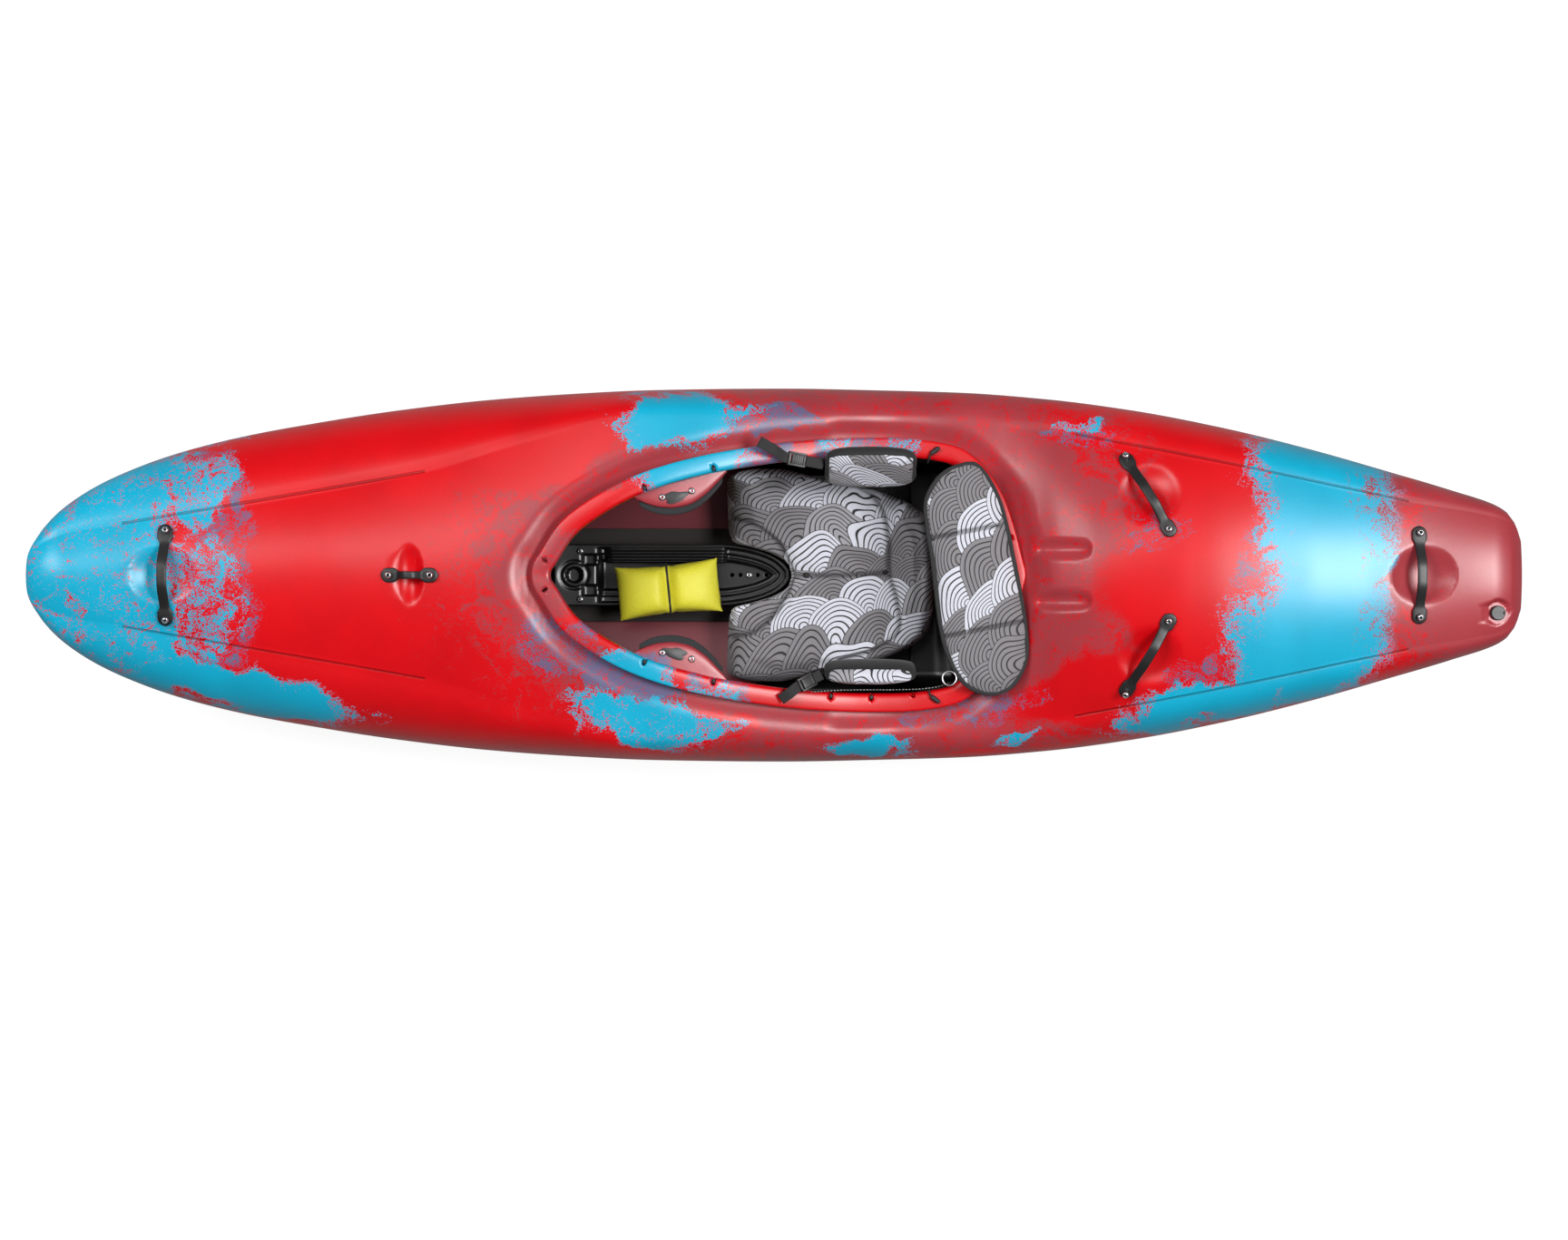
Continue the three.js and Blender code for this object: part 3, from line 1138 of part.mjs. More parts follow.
// Backband outline: place along its span from starboard to port, then its front and rear edges
const bandShares = [
  [-0.499, -0.106, 0], [-0.474, -0.312, 0.087], [-0.421, -0.48, 0.187], [-0.325, -0.6, 0.312],
  [-0.198, -0.575, 0.406], [-0.086, -0.525, 0.469], [0.054, -0.48, 0.544], [0.182, -0.437, 0.6],
  [0.283, -0.381, 0.625], [0.357, -0.306, 0.606], [0.421, -0.212, 0.537], [0.469, -0.094, 0.437],
  [0.499, 0.1, 0.269],
];
const bandThickness = (along) => BAND_PAD_THICKNESS * Math.sqrt(Math.max(0.08, 1 - (2 * along) ** 6));

// Level of the backband's underside sheet, which falls a little towards the stern
const bandZ = (x) => BAND_FRONT_Z - (BAND_FALL * (x - BAND_CENTRE_X + BAND_WIDTH / 2)) / BAND_WIDTH;

function bandRing(along, xShares, heights) {
  const y = BAND_CENTRE_Y - along * BAND_SPAN;
  return xShares.map((share, i) => {
    const x = BAND_CENTRE_X + share * BAND_WIDTH;
    return new THREE.Vector3(x, y, bandZ(x) + heights[i]);
  });
}

function backbandPad() {
  const across = [0.04, 0.96, 1, 0.93, 0.72, 0.5, 0.28, 0.07, 0];
  const rise = [0, 0, 0.45, 0.84, 1, 0.97, 1, 0.84, 0.45];
  return loft(bandShares.map(([along, front, aft]) => bandRing(
    along,
    across.map((share) => front + share * (aft - front)),
    rise.map((share) => SEAT_GAP + share * bandThickness(along)),
  )));
}

function backbandShell() {
  const t = BAND_SHELL_THICKNESS;
  return loft(bandShares.slice(1, -1).map(([along, front, aft]) => {
    const inset = 0.08 * (aft - front);
    return bandRing(along, [front + inset, aft - inset, aft - inset, front + inset], [-t, -t, 0, 0]);
  }));
}

// A ring of round wire that lies in its own plane
function wireRing(radius, wire) {
  return new THREE.TorusGeometry(radius, wire / 2, 6, 16);
}

function knob() {
  const [r, l] = [KNOB_RADIUS, KNOB_LENGTH];
  const profile = [[0, 0], [r * 0.7, 0], [r, l * 0.2], [r, l * 0.7], [r * 0.6, l], [0, l]];
  return new THREE.LatheGeometry(profile.map(([x, y]) => new THREE.Vector2(x, y)), 8);
}

// Gear pouch: a small pillow with a waist where its elastic cord pulls it in
const pouchShares = [
  [-1, 0.5], [-0.94, 0.72], [-0.75, 0.94], [-0.45, 1], [-0.15, 0.92], [0, 0.72], [0.15, 0.92], [0.45, 1],
  [0.75, 0.94], [0.94, 0.72], [1, 0.5],
];
function gearPouch() {
  const rings = pouchShares.map(([along, size]) => {
    const x = (along * POUCH_LENGTH) / 2;
    const half = (POUCH_WIDTH / 2) * (0.88 + 0.12 * Math.abs(along));
    const high = POUCH_HEIGHT * size;
    const flat = POUCH_HEIGHT * 0.2;
    return [
      [-half * 0.8, 0], [half * 0.8, 0], [half, flat], [half * 0.84, high * 0.72],
      [half * 0.45, high * 0.96], [0, high], [-half * 0.45, high * 0.96],
      [-half * 0.84, high * 0.72], [-half, flat],
    ].map(([y, z]) => new THREE.Vector3(x, y, z));
  });
  return loft(rings);
}

// The cord lies round the pouch's waist and, pressed flat, under it
function pouchCord() {
  const half = (POUCH_WIDTH / 2) * 0.9;
  const high = POUCH_HEIGHT * 0.76;
  const d = POUCH_CORD_DIAMETER;
  const low = -POUCH_CORD_FLAT - SEAT_GAP;
  const outer = [
    [-half - d, low], [half + d, low], [half + d, high * 0.3], [half * 0.86 + d, high * 0.75],
    [half * 0.45, high + 1.3 * d], [-half * 0.45, high + 1.3 * d], [-half * 0.86 - d, high * 0.75],
    [-half - d, high * 0.3],
  ];
  const inner = [
    [-half - SEAT_GAP, -SEAT_GAP], [half + SEAT_GAP, -SEAT_GAP], [half + SEAT_GAP, high * 0.3],
    [half * 0.86 + 2 * SEAT_GAP, high * 0.78], [half * 0.45, high + SEAT_GAP],
    [-half * 0.45, high + SEAT_GAP], [-half * 0.86 - 2 * SEAT_GAP, high * 0.78],
    [-half - SEAT_GAP, high * 0.3],
  ];
  const ring = (row, x) => row.map(([y, z]) => new THREE.Vector3(x, y, z));
  const band = toSolid(loft([ring(outer, -d / 2), ring(outer, d / 2)]));
  const hole = toSolid(loft([ring(inner, -d), ring(inner, d)]));
  return toGeometry(band.subtract(hole));
}

const group = new THREE.Group();

function finish(color, roughness, metalness) {
  return new THREE.MeshStandardMaterial({ color, roughness, metalness });
}
const polyethylene = finish('#c8202c', 0.35, 0);
const blackPlastic = finish('#17181a', 0.45, 0);
const blackFoam = finish('#202124', 0.9, 0);
const stainless = finish('#b9bcc0', 0.3, 1);
const printedFabric = finish('#8a8a8c', 0.85, 0);
const webbingBlack = finish('#1b1b1d', 0.8, 0);
const yellowNylon = finish('#f2e21b', 0.75, 0);
const rubber = finish('#141414', 0.7, 0);
const aluminium = finish('#8f9398', 0.35, 1);
const greyFoam = finish('#77797c', 0.95, 0);

function add(name, geometry, material) {
  const mesh = new THREE.Mesh(geometry, material);
  mesh.name = name;
  group.add(mesh);
  return mesh;
}

add('hull_shell', hullShell(), polyethylene);

handles.forEach((handle) => {
  add(handle.name, handleStrap(handle), blackPlastic);
  [handle.a, handle.b].forEach((place, i) => {
    const head = padTop(handle, place);
    const name = `${handle.name}_screw_${i + 1}`;
    add(name, screw(head.x, head.y, head.z, deckNormal(...place)), stainless);
  });
});

function drainPlug() {
  const [head, shank] = [PLUG_HEAD_RADIUS, PLUG_SHANK_RADIUS];
  const profile = [
    [0, -PLUG_SHANK_LENGTH], [shank - PLUG_CHAMFER, -PLUG_SHANK_LENGTH],
    [shank, PLUG_CHAMFER - PLUG_SHANK_LENGTH], [shank, 0],
    [head, 0], [head, PLUG_HEAD_HEIGHT * 0.7], [head * 0.88, PLUG_HEAD_HEIGHT], [0, PLUG_HEAD_HEIGHT],
  ].map(([r, h]) => new THREE.Vector2(r, h));
  const body = toSolid(new THREE.LatheGeometry(profile, 16).rotateX(Math.PI / 2));
  const slot = toSolid(box(
    -head * 0.8, head * 0.8, -PLUG_SLOT_WIDTH / 2, PLUG_SLOT_WIDTH / 2,
    PLUG_HEAD_HEIGHT - PLUG_SLOT_DEPTH, PLUG_HEAD_HEIGHT + PLUG_SLOT_DEPTH,
  ));
  return toGeometry(body.subtract(slot));
}

function drainGasket() {
  const [inner, outer] = [PLUG_SHANK_RADIUS + HOLE_CLEARANCE, PLUG_HEAD_RADIUS];
  const profile = [
    [inner, 0], [outer, 0], [outer, GASKET_THICKNESS], [inner, GASKET_THICKNESS], [inner, 0],
  ].map(([r, h]) => new THREE.Vector2(r, h));
  return new THREE.LatheGeometry(profile, 16).rotateX(Math.PI / 2);
}

const gasketZ = drainFloorZ + SEAT_GAP;
add('drain_plug_gasket', drainGasket(), rubber).position.set(drainX, DRAIN_Y, gasketZ);
add('drain_plug', drainPlug(), blackPlastic)
  .position.set(drainX, DRAIN_Y, gasketZ + GASKET_THICKNESS + SEAT_GAP);

const sides = [['port', -1], ['starboard', 1]];
sides.forEach(([sideName, side]) => {
  let pad = toSolid(thighPad(side));
  braceScrewShares.forEach((share, i) => {
    const [x, y, z, square] = braceScrewPlace(side, share);
    pad = pad.subtract(screwHole(x, y, z, square));
    add(`thigh_screw_${sideName}_${i + 1}`, screw(x, y, z + FACET_GAP, square), stainless);
  });
  add(`thigh_pad_${sideName}`, toGeometry(pad), blackFoam);
});

add('floor_mat', floorMat(), blackFoam);
add('centre_beam', centreBeam(), blackPlastic);
const pillarRearX = BULKHEAD_X - BULKHEAD_TRAVEL_FORWARD - FRONT_PILLAR_CLEARANCE;
const frontPillarX = pillarRearX - FRONT_PILLAR_LENGTH;
add('front_pillar', pillar(frontPillarX, FRONT_PILLAR_LENGTH, 1.6 * FLOOR_GAP), greyFoam);
add('rear_pillar', pillar(REAR_PILLAR_X, REAR_PILLAR_LENGTH, 1.3 * FLOOR_GAP), greyFoam);

add('foot_bulkhead', footBulkhead(), aluminium);
const foamX = BULKHEAD_X + BULKHEAD_THICKNESS + SEAT_GAP;
add('foot_bulkhead_foam', bulkheadPlate(foamX, BULKHEAD_FOAM, 0.84), greyFoam);
sides.forEach(([sideName, side]) => {
  add(`foot_rail_${sideName}`, footRail(side), aluminium);
  add(`seat_rail_${sideName}`, seatRail(side), blackPlastic);
});

add('seat_base', seatBase(), blackPlastic);
add('seat_cushion', seatCushion(), printedFabric);
add('hip_pad_starboard', hipPadStarboard(), printedFabric);
add('hip_pad_port', hipPadPort(), printedFabric);

// Hip straps as shares of the hull's height: at the pad, at the buckle and at the tail's end
const starboardStrapShares = [
  [0.1774, 0.4568, 0.6807], [0.0621, 0.4767, 0.7073], [-0.0931, 0.5477, 0.7627],
];
const portStrapShares = [
  [0.1774, -0.4058, 0.6208], [0.102, -0.4435, 0.6674], [-0.0044, -0.5144, 0.6918],
];

// A hip strap runs from its pad to a buckle, and its free tail runs on past the buckle
function addHipStrap(sideName, shares) {
  const [a, m, t] = shares.map((p) => new THREE.Vector3(...p).multiplyScalar(HULL_HEIGHT));
  const along = m.clone().sub(a).normalize();
  const across = new THREE.Vector3().crossVectors(new THREE.Vector3(0, 0, 1), along).normalize();
  const up = new THREE.Vector3().crossVectors(along, across);
  const frame = new THREE.Matrix4().makeBasis(along, across, up).setPosition(m);
  add(`hip_buckle_${sideName}`, buckle().applyMatrix4(frame), blackPlastic);
  const reach = BUCKLE_LENGTH / 2 + SEAT_GAP;
  const slant = (Math.abs(across.x) * WEBBING_WIDTH + Math.abs(up.x) * WEBBING_THICKNESS) / 2;
  const start = a.addScaledVector(along, (2 * SEAT_GAP + slant) / Math.abs(along.x));
  const near = m.clone().addScaledVector(along, -reach);
  const far = m.clone().addScaledVector(along, reach);
  const bend = far.clone().lerp(t, 0.5).add(new THREE.Vector3(0, 0, WEBBING_WIDTH / 4));
  const width = across.toArray();
  add(`hip_strap_${sideName}`, webbing([start, near], width, WEBBING_WIDTH), webbingBlack);
  const past = far.clone().addScaledVector(along, WEBBING_WIDTH / 4);
  add(`hip_strap_tail_${sideName}`, webbing([far, past, bend, t], width, WEBBING_WIDTH), webbingBlack);
}
addHipStrap('starboard', starboardStrapShares);
addHipStrap('port', portStrapShares);

add('backband_shell', backbandShell(), blackPlastic);
add('backband_pad', backbandPad(), printedFabric);

// Backband straps climb from the coaming's wall to the underside of the backband
sides.forEach(([sideName, side]) => {
  const wall = openingHalf(BAND_STRAP_X + WEBBING_WIDTH / 2) - WEBBING_THICKNESS / 2 - FACET_GAP;
  const top = bandZ(BAND_STRAP_X) - BAND_SHELL_THICKNESS - WEBBING_THICKNESS / 2 - FACET_GAP;
  const path = [
    [BAND_STRAP_X, side * wall, top - BAND_STRAP_DROP],
    [BAND_STRAP_X, side * (wall - WEBBING_THICKNESS), top - BAND_STRAP_DROP / 3],
    [BAND_STRAP_X, side * (wall - WEBBING_WIDTH / 2), top],
    [BAND_STRAP_X, side * (wall - 1.6 * WEBBING_WIDTH), top],
  ].map((p) => new THREE.Vector3(...p));
  add(`backband_strap_${sideName}`, webbing(path, [1, 0, 0], WEBBING_WIDTH), webbingBlack);
});

// The ring hangs off the front edge of the backband, near its port end
const ringRow = bandShares.find(([along]) => BAND_CENTRE_Y - along * BAND_SPAN < RING_Y + RING_WIRE);
const ringX = BAND_CENTRE_X + ringRow[1] * BAND_WIDTH - RING_RADIUS - RING_WIRE / 2 - SEAT_GAP;
add('backband_ring', wireRing(RING_RADIUS, RING_WIRE), stainless).position.set(
  ringX, RING_Y, bandZ(ringX) + BAND_PAD_THICKNESS * 0.45,
);

// Cord ends lie on the lip behind the hip pads
sides.forEach(([sideName, side]) => {
  const y = side * (openingHalf(KNOB_X) + LIP_WIDTH / 2);
  const turn = new THREE.Vector3(0.8, side * 0.6, 0);
  const end = add(`cord_knob_${sideName}`, knob(), rubber);
  end.quaternion.setFromUnitVectors(new THREE.Vector3(0, 1, 0), turn);
  end.position.set(KNOB_X, y - side * KNOB_LENGTH / 3, rimZ(KNOB_X) + KNOB_RADIUS + SEAT_GAP);
});

beamBolts().forEach(([x, y, z], i) => {
  add(['trim_bolt', 'beam_bolt_port', 'beam_bolt_starboard'][i], screw(x, y, z), stainless);
});

// The pouch lies on the beam's edges, turned a little and tilted with the beam
const pouchEnds = [POUCH_X - POUCH_LENGTH / 2, POUCH_X + POUCH_LENGTH / 2].map(beamFootZ);
const pouchPlace = new THREE.Group();
const pouchFootZ = beamFootZ(POUCH_X) + BEAM_HEIGHT + POUCH_CORD_FLAT + 3 * SEAT_GAP;
pouchPlace.position.set(POUCH_X, POUCH_Y, pouchFootZ);
pouchPlace.rotation.set(0, Math.atan2(pouchEnds[0] - pouchEnds[1], POUCH_LENGTH), POUCH_TURN, 'ZYX');
pouchPlace.add(add('gear_pouch', gearPouch(), yellowNylon));
pouchPlace.add(add('pouch_cord', pouchCord(), rubber));
group.add(pouchPlace);

export default group;
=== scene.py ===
# River kayak seen from straight above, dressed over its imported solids. All lengths are in metres.
import functools
import math

import bmesh
import bpy
import numpy as np
from mathutils import Matrix, Vector


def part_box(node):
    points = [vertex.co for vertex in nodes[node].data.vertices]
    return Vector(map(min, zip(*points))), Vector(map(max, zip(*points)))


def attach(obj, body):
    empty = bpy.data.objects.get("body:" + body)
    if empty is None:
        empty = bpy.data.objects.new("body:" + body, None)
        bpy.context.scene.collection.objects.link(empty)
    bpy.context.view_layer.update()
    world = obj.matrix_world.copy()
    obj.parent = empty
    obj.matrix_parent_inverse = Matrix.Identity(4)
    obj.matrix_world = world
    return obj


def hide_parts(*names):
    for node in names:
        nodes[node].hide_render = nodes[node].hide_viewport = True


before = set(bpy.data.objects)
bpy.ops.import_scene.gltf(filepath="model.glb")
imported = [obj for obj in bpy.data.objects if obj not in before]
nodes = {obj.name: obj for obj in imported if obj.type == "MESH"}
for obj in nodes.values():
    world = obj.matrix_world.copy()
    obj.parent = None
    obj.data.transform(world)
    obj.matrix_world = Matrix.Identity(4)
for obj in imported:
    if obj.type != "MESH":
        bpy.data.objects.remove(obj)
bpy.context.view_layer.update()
SIDES = ((1, "starboard"), (-1, "port"))

# Photograph
IMAGE_WIDTH_PX = 1728
BOAT_CENTRE_PX = (861.5, 633.5)
IMAGE_CENTRE_PX = (864, 683)
CAMERA_HEIGHT = 4.84
DECK_LEVEL = 0.4
METRES_PER_PIXEL = 0.0016554
SENSOR_WIDTH = 36

# Hull
HULL_LENGTH = 2.743
HULL_BEAM = 0.716
HULL_HEIGHT = 0.451
WALL = 0.006
EDGE_GAP = 0.0003

# Coaming
RIM_FRONT_X = -0.461
RIM_LENGTH = 0.92
RIM_HALF_WIDTH = 0.253
LIP_WIDTH = 0.035
LIP_THICKNESS = 0.007
COAMING_WALL = 0.007
MOAT_DEPTH = 0.018
MOAT_WIDTH = 0.046

# Thigh braces
BRACE_FRONT_X = -0.272
BRACE_LENGTH = 0.17
BRACE_REACH = 0.048
BRACE_DROP = 0.015
BRACE_THICKNESS = 0.006
THIGH_PAD_THICKNESS = 0.011

# Carry handles, as the two screws and the middle of the pocket
HANDLES = {
    "bow_handle": ((-1.122, 0.078), (-1.122, -0.078), (-1.126, 0.0)),
    "foredeck_loop": ((-0.721, 0.0), (-0.645, 0.0), (-0.684, 0.0)),
    "rear_handle_starboard": ((0.641, 0.214), (0.712, 0.084), (0.681, 0.15)),
    "rear_handle_port": ((0.641, -0.214), (0.712, -0.084), (0.681, -0.15)),
    "stern_handle": ((1.175, 0.076), (1.175, -0.076), (1.183, 0.0)),
}
STRAP_WIDTH = 0.02
LOOP_STRAP_WIDTH = 0.016
STRAP_PAD_WIDTH = 0.027
STRAP_THICKNESS = 0.006
STRAP_RISE = 0.017
LOOP_RISE = 0.014
LOOP_POCKET_STRETCH = 0.45
POCKET_RADIUS = 0.058
POCKET_DEPTH = 0.017
SCREW_HEAD_RADIUS = 0.0065
SCREW_HEAD_HEIGHT = 0.004
SCREW_SHANK_RADIUS = 0.003
SCREW_LENGTH = 0.02

# Grooves behind the cockpit
GROOVE_LENGTH = 0.098
GROOVE_RADIUS = 0.017
GROOVE_DEPTH = 0.012
GROOVE_Y = 0.049
GROOVE_FRONT_X = 0.476

# Drain plug
DRAIN = (1.322, -0.07)
DRAIN_RECESS_RADIUS = 0.0226
DRAIN_RECESS_DEPTH = 0.009

# Centre beam
BEAM_FRONT_X = -0.444
BEAM_LENGTH = 0.458
BEAM_HALF_WIDTH = 0.06
BEAM_HEIGHT = 0.066
BEAM_WALL = 0.005
BEAM_BLOCK = 0.082
BEAM_TRAY_DEPTH = 0.036
BEAM_HOLE_PITCH = 0.017
BEAM_HOLE_DIAMETER = 0.008
BEAM_BOLT_HOLE_RADIUS = 0.0036
BEAM_FOOT_ABOVE_FLOOR = 0.0078

# Seat cushion
CUSHION_FRONT_X = -0.108
CUSHION_LENGTH = 0.404
CUSHION_HALF_WIDTH = 0.208
CUSHION_FOOT_Z = 0.0426
CUSHION_CREST_Z = 0.174
BUTTON_DIMPLE = 0.009
BUTTON_SPREAD = 0.026
FOLD_DEPTH = 0.004
LEG_HOLLOW = 0.004

# Hip pads and their straps
HIP_PAD_LENGTH = 0.172
HIP_PAD_FRONT_X = 0.08
HIP_PAD_HEIGHT = 0.1
HIP_PAD_THICKNESS = 0.025
WING_INNER_Y = 0.19
WING_TOP_Z = 0.268
PAD_LEAN = 0.82
PAD_OVERLAP_SHARE = 0.18
WEBBING_WIDTH = 0.02
WEBBING_THICKNESS = 0.0024

# Backband, laid back on the rear of the coaming
BAND_SPAN = 0.436
BAND_WIDTH = 0.16
BAND_PAD_THICKNESS = 0.017
BAND_CENTRE = (0.362, -0.0065)
BAND_FRONT_Z = 0.2846
BAND_FALL = 0.008

# Gear pouch on the beam
POUCH_LENGTH = 0.204
POUCH_WIDTH = 0.112
POUCH_HEIGHT = 0.048
POUCH_CENTRE = (-0.221, -0.028)
POUCH_TURN = 0.1

# Hull tables: share of the length, and share of the half beam or of the height there
rail_half_shares = [
    (0, 0), (0.0018, 0.125), (0.0054, 0.187), (0.0091, 0.237), (0.0163, 0.309), (0.0308, 0.411),
    (0.0525, 0.518), (0.0827, 0.622), (0.1129, 0.697), (0.143, 0.755), (0.1732, 0.801), (0.2336, 0.879),
    (0.2939, 0.935), (0.3543, 0.969), (0.4146, 0.99), (0.5051, 1), (0.5655, 0.992), (0.6258, 0.979),
    (0.6862, 0.941), (0.7465, 0.877), (0.8069, 0.782), (0.8672, 0.661), (0.9276, 0.519), (0.9578, 0.444),
    (0.9819, 0.379), (0.9909, 0.336), (0.997, 0.264), (1, 0.196),
]
rail_height_shares = [
    (0, 0.931), (0.0163, 0.847), (0.0338, 0.785), (0.0616, 0.683), (0.1074, 0.574), (0.1539, 0.49),
    (0.2, 0.441), (0.2692, 0.39), (0.3386, 0.37), (0.4194, 0.361), (0.5088, 0.348), (0.6204, 0.348),
    (0.6783, 0.368), (0.7502, 0.388), (0.8057, 0.426), (0.8612, 0.479), (0.9209, 0.545), (0.9384, 0.574),
    (0.9819, 0.632), (1, 0.694),
]
keel_height_shares = [
    (0, 0.931), (0.0018, 0.889), (0.0091, 0.825), (0.0163, 0.783), (0.0308, 0.696), (0.0525, 0.594),
    (0.0827, 0.479), (0.1129, 0.388), (0.143, 0.31), (0.1732, 0.244), (0.2034, 0.193), (0.2336, 0.149),
    (0.2637, 0.106), (0.2939, 0.075), (0.3241, 0.055), (0.3543, 0.033), (0.3844, 0.02), (0.4146, 0.01),
    (0.4448, 0.003), (0.475, 0), (0.5655, 0), (0.5957, 0.003), (0.6258, 0.013), (0.656, 0.033),
    (0.6862, 0.062), (0.7164, 0.098), (0.7465, 0.137), (0.7767, 0.184), (0.8069, 0.233), (0.8371, 0.286),
    (0.8672, 0.346), (0.8974, 0.408), (0.9276, 0.475), (0.9578, 0.545), (0.9879, 0.614), (1, 0.659),
]
deck_height_shares = [
    (0, 0.931), (0.0018, 0.967), (0.0091, 0.991), (0.0163, 0.999), (0.0235, 1), (0.0308, 0.991),
    (0.0525, 0.967), (0.0827, 0.933), (0.1129, 0.907), (0.143, 0.885), (0.1732, 0.863), (0.2034, 0.841),
    (0.2336, 0.83), (0.2637, 0.823), (0.2939, 0.82), (0.3241, 0.812), (0.3543, 0.8), (0.4025, 0.78),
    (0.4339, 0.765), (0.49, 0.683), (0.5263, 0.627), (0.5643, 0.572), (0.589, 0.555), (0.6138, 0.552),
    (0.6439, 0.572), (0.6596, 0.602), (0.6741, 0.655), (0.6898, 0.714), (0.7133, 0.772), (0.7453, 0.808),
    (0.7731, 0.826), (0.796, 0.831), (0.8515, 0.823), (0.898, 0.798), (0.9324, 0.794), (0.9765, 0.803),
    (0.9903, 0.787), (1, 0.734),
]
crease_half_shares = [
    (0, 0), (0.0018, 0.084), (0.0091, 0.145), (0.0163, 0.179), (0.0308, 0.218), (0.0676, 0.263),
    (0.131, 0.341), (0.2565, 0.531), (0.3301, 0.701), (0.4025, 0.827), (0.5263, 0.818), (0.6138, 0.821),
    (0.6651, 0.779), (0.7013, 0.737), (0.7646, 0.62), (0.8383, 0.514), (0.8793, 0.439), (0.9276, 0.376),
    (0.9801, 0.304), (0.994, 0.257), (1, 0.15),
]
crease_height_shares = [
    (0, 0.931), (0.0018, 0.956), (0.0163, 0.965), (0.0314, 0.949), (0.0676, 0.909), (0.1074, 0.863),
    (0.1539, 0.82), (0.2227, 0.756), (0.2565, 0.745), (0.2957, 0.736), (0.3543, 0.738), (0.4025, 0.727),
    (0.4508, 0.692), (0.4931, 0.647), (0.5263, 0.61), (0.5534, 0.581), (0.5836, 0.548), (0.6228, 0.53),
    (0.6439, 0.532), (0.6669, 0.55), (0.7007, 0.605), (0.7266, 0.645), (0.7604, 0.714), (0.7948, 0.747),
    (0.8286, 0.761), (0.898, 0.749), (0.9457, 0.752), (0.9789, 0.756), (0.994, 0.741), (1, 0.723),
]
chine_half_shares = [
    (0, 0), (0.0018, 0.101), (0.0163, 0.257), (0.0525, 0.419), (0.105, 0.567), (0.1611, 0.631),
    (0.2185, 0.676), (0.2999, 0.757), (0.3965, 0.785), (0.4931, 0.802), (0.6282, 0.81), (0.7254, 0.729),
    (0.8027, 0.645), (0.8871, 0.528), (0.9276, 0.447), (0.9819, 0.33), (1, 0.168),
]
chine_height_shares = [
    (0, 0.931), (0.0018, 0.9), (0.0163, 0.805), (0.0308, 0.721), (0.0525, 0.623), (0.0827, 0.519),
    (0.105, 0.448), (0.143, 0.344), (0.2034, 0.228), (0.2336, 0.191), (0.2921, 0.137), (0.3301, 0.118),
    (0.4194, 0.096), (0.4864, 0.08), (0.5981, 0.078), (0.6427, 0.093), (0.6783, 0.105), (0.7363, 0.153),
    (0.8069, 0.266), (0.8371, 0.315), (0.8974, 0.435), (0.9276, 0.499), (0.9578, 0.57), (0.9879, 0.634),
    (1, 0.678),
]
rim_outline_shares = [
    (0.005, 0.09), (0.0183, 0.165), (0.0586, 0.382), (0.119, 0.553), (0.2088, 0.725), (0.3278, 0.861),
    (0.478, 0.962), (0.5897, 1.005), (0.7015, 1.02), (0.7766, 1.012), (0.8516, 0.967), (0.881, 0.919),
    (0.9249, 0.764), (0.9524, 0.608), (0.978, 0.338), (0.993, 0.12),
]
rim_height_shares = [
    (0, 0.818), (0.0666, 0.825), (0.127, 0.827), (0.231, 0.803), (0.35, 0.752), (0.466, 0.685),
    (0.58, 0.6275), (0.656, 0.592), (0.718, 0.574), (0.782, 0.563), (0.844, 0.56), (0.92, 0.57),
    (1, 0.603),
]
BELLY_POWER = 1.7
BELLY_FLAT_SHARE = 0.3
SIDE_FULLNESS_SHARE = 0.35


def curve_through(table):
    """A smooth curve through a table that never overshoots it, finer near zero."""
    xs = np.sqrt([row[0] for row in table])
    ys = np.array([row[1] for row in table], float)
    slopes = np.diff(ys) / np.diff(xs)
    product = slopes[:-1] * slopes[1:]
    total = slopes[:-1] + slopes[1:]
    inner = np.where(product > 0, 2 * product / np.where(product > 0, total, 1), 0)
    tangents = np.concatenate([slopes[:1], inner, slopes[-1:]])

    def at(share):
        x = np.sqrt(np.clip(share, 0, 1))
        i = np.clip(np.searchsorted(xs, x, side="left") - 1, 0, len(xs) - 2)
        width = xs[i + 1] - xs[i]
        s = (x - xs[i]) / width
        near = (1 + 2 * s) * (1 - s) ** 2 * ys[i] + s * (1 - s) ** 2 * width * tangents[i]
        far = s * s * (3 - 2 * s) * ys[i + 1] + s * s * (s - 1) * width * tangents[i + 1]
        return near + far

    return at


def hull_curve(table, unit):
    share = curve_through(table)
    return lambda x: share(x / HULL_LENGTH + 0.5) * unit


rail_half = hull_curve(rail_half_shares, HULL_BEAM / 2)
rail_z = hull_curve(rail_height_shares, HULL_HEIGHT)
keel_z = hull_curve(keel_height_shares, HULL_HEIGHT)
deck_middle_z = hull_curve(deck_height_shares, HULL_HEIGHT)
crease_half = hull_curve(crease_half_shares, HULL_BEAM / 2)
crease_z = hull_curve(crease_height_shares, HULL_HEIGHT)
chine_half = hull_curve(chine_half_shares, HULL_BEAM / 2)
chine_z = hull_curve(chine_height_shares, HULL_HEIGHT)
rim_share_z = curve_through(rim_height_shares)


def rim_z(x):
    return rim_share_z((x - RIM_FRONT_X) / RIM_LENGTH) * HULL_HEIGHT


def smooth(s):
    s = np.clip(s, 0, 1)
    return s * s * (3 - 2 * s)


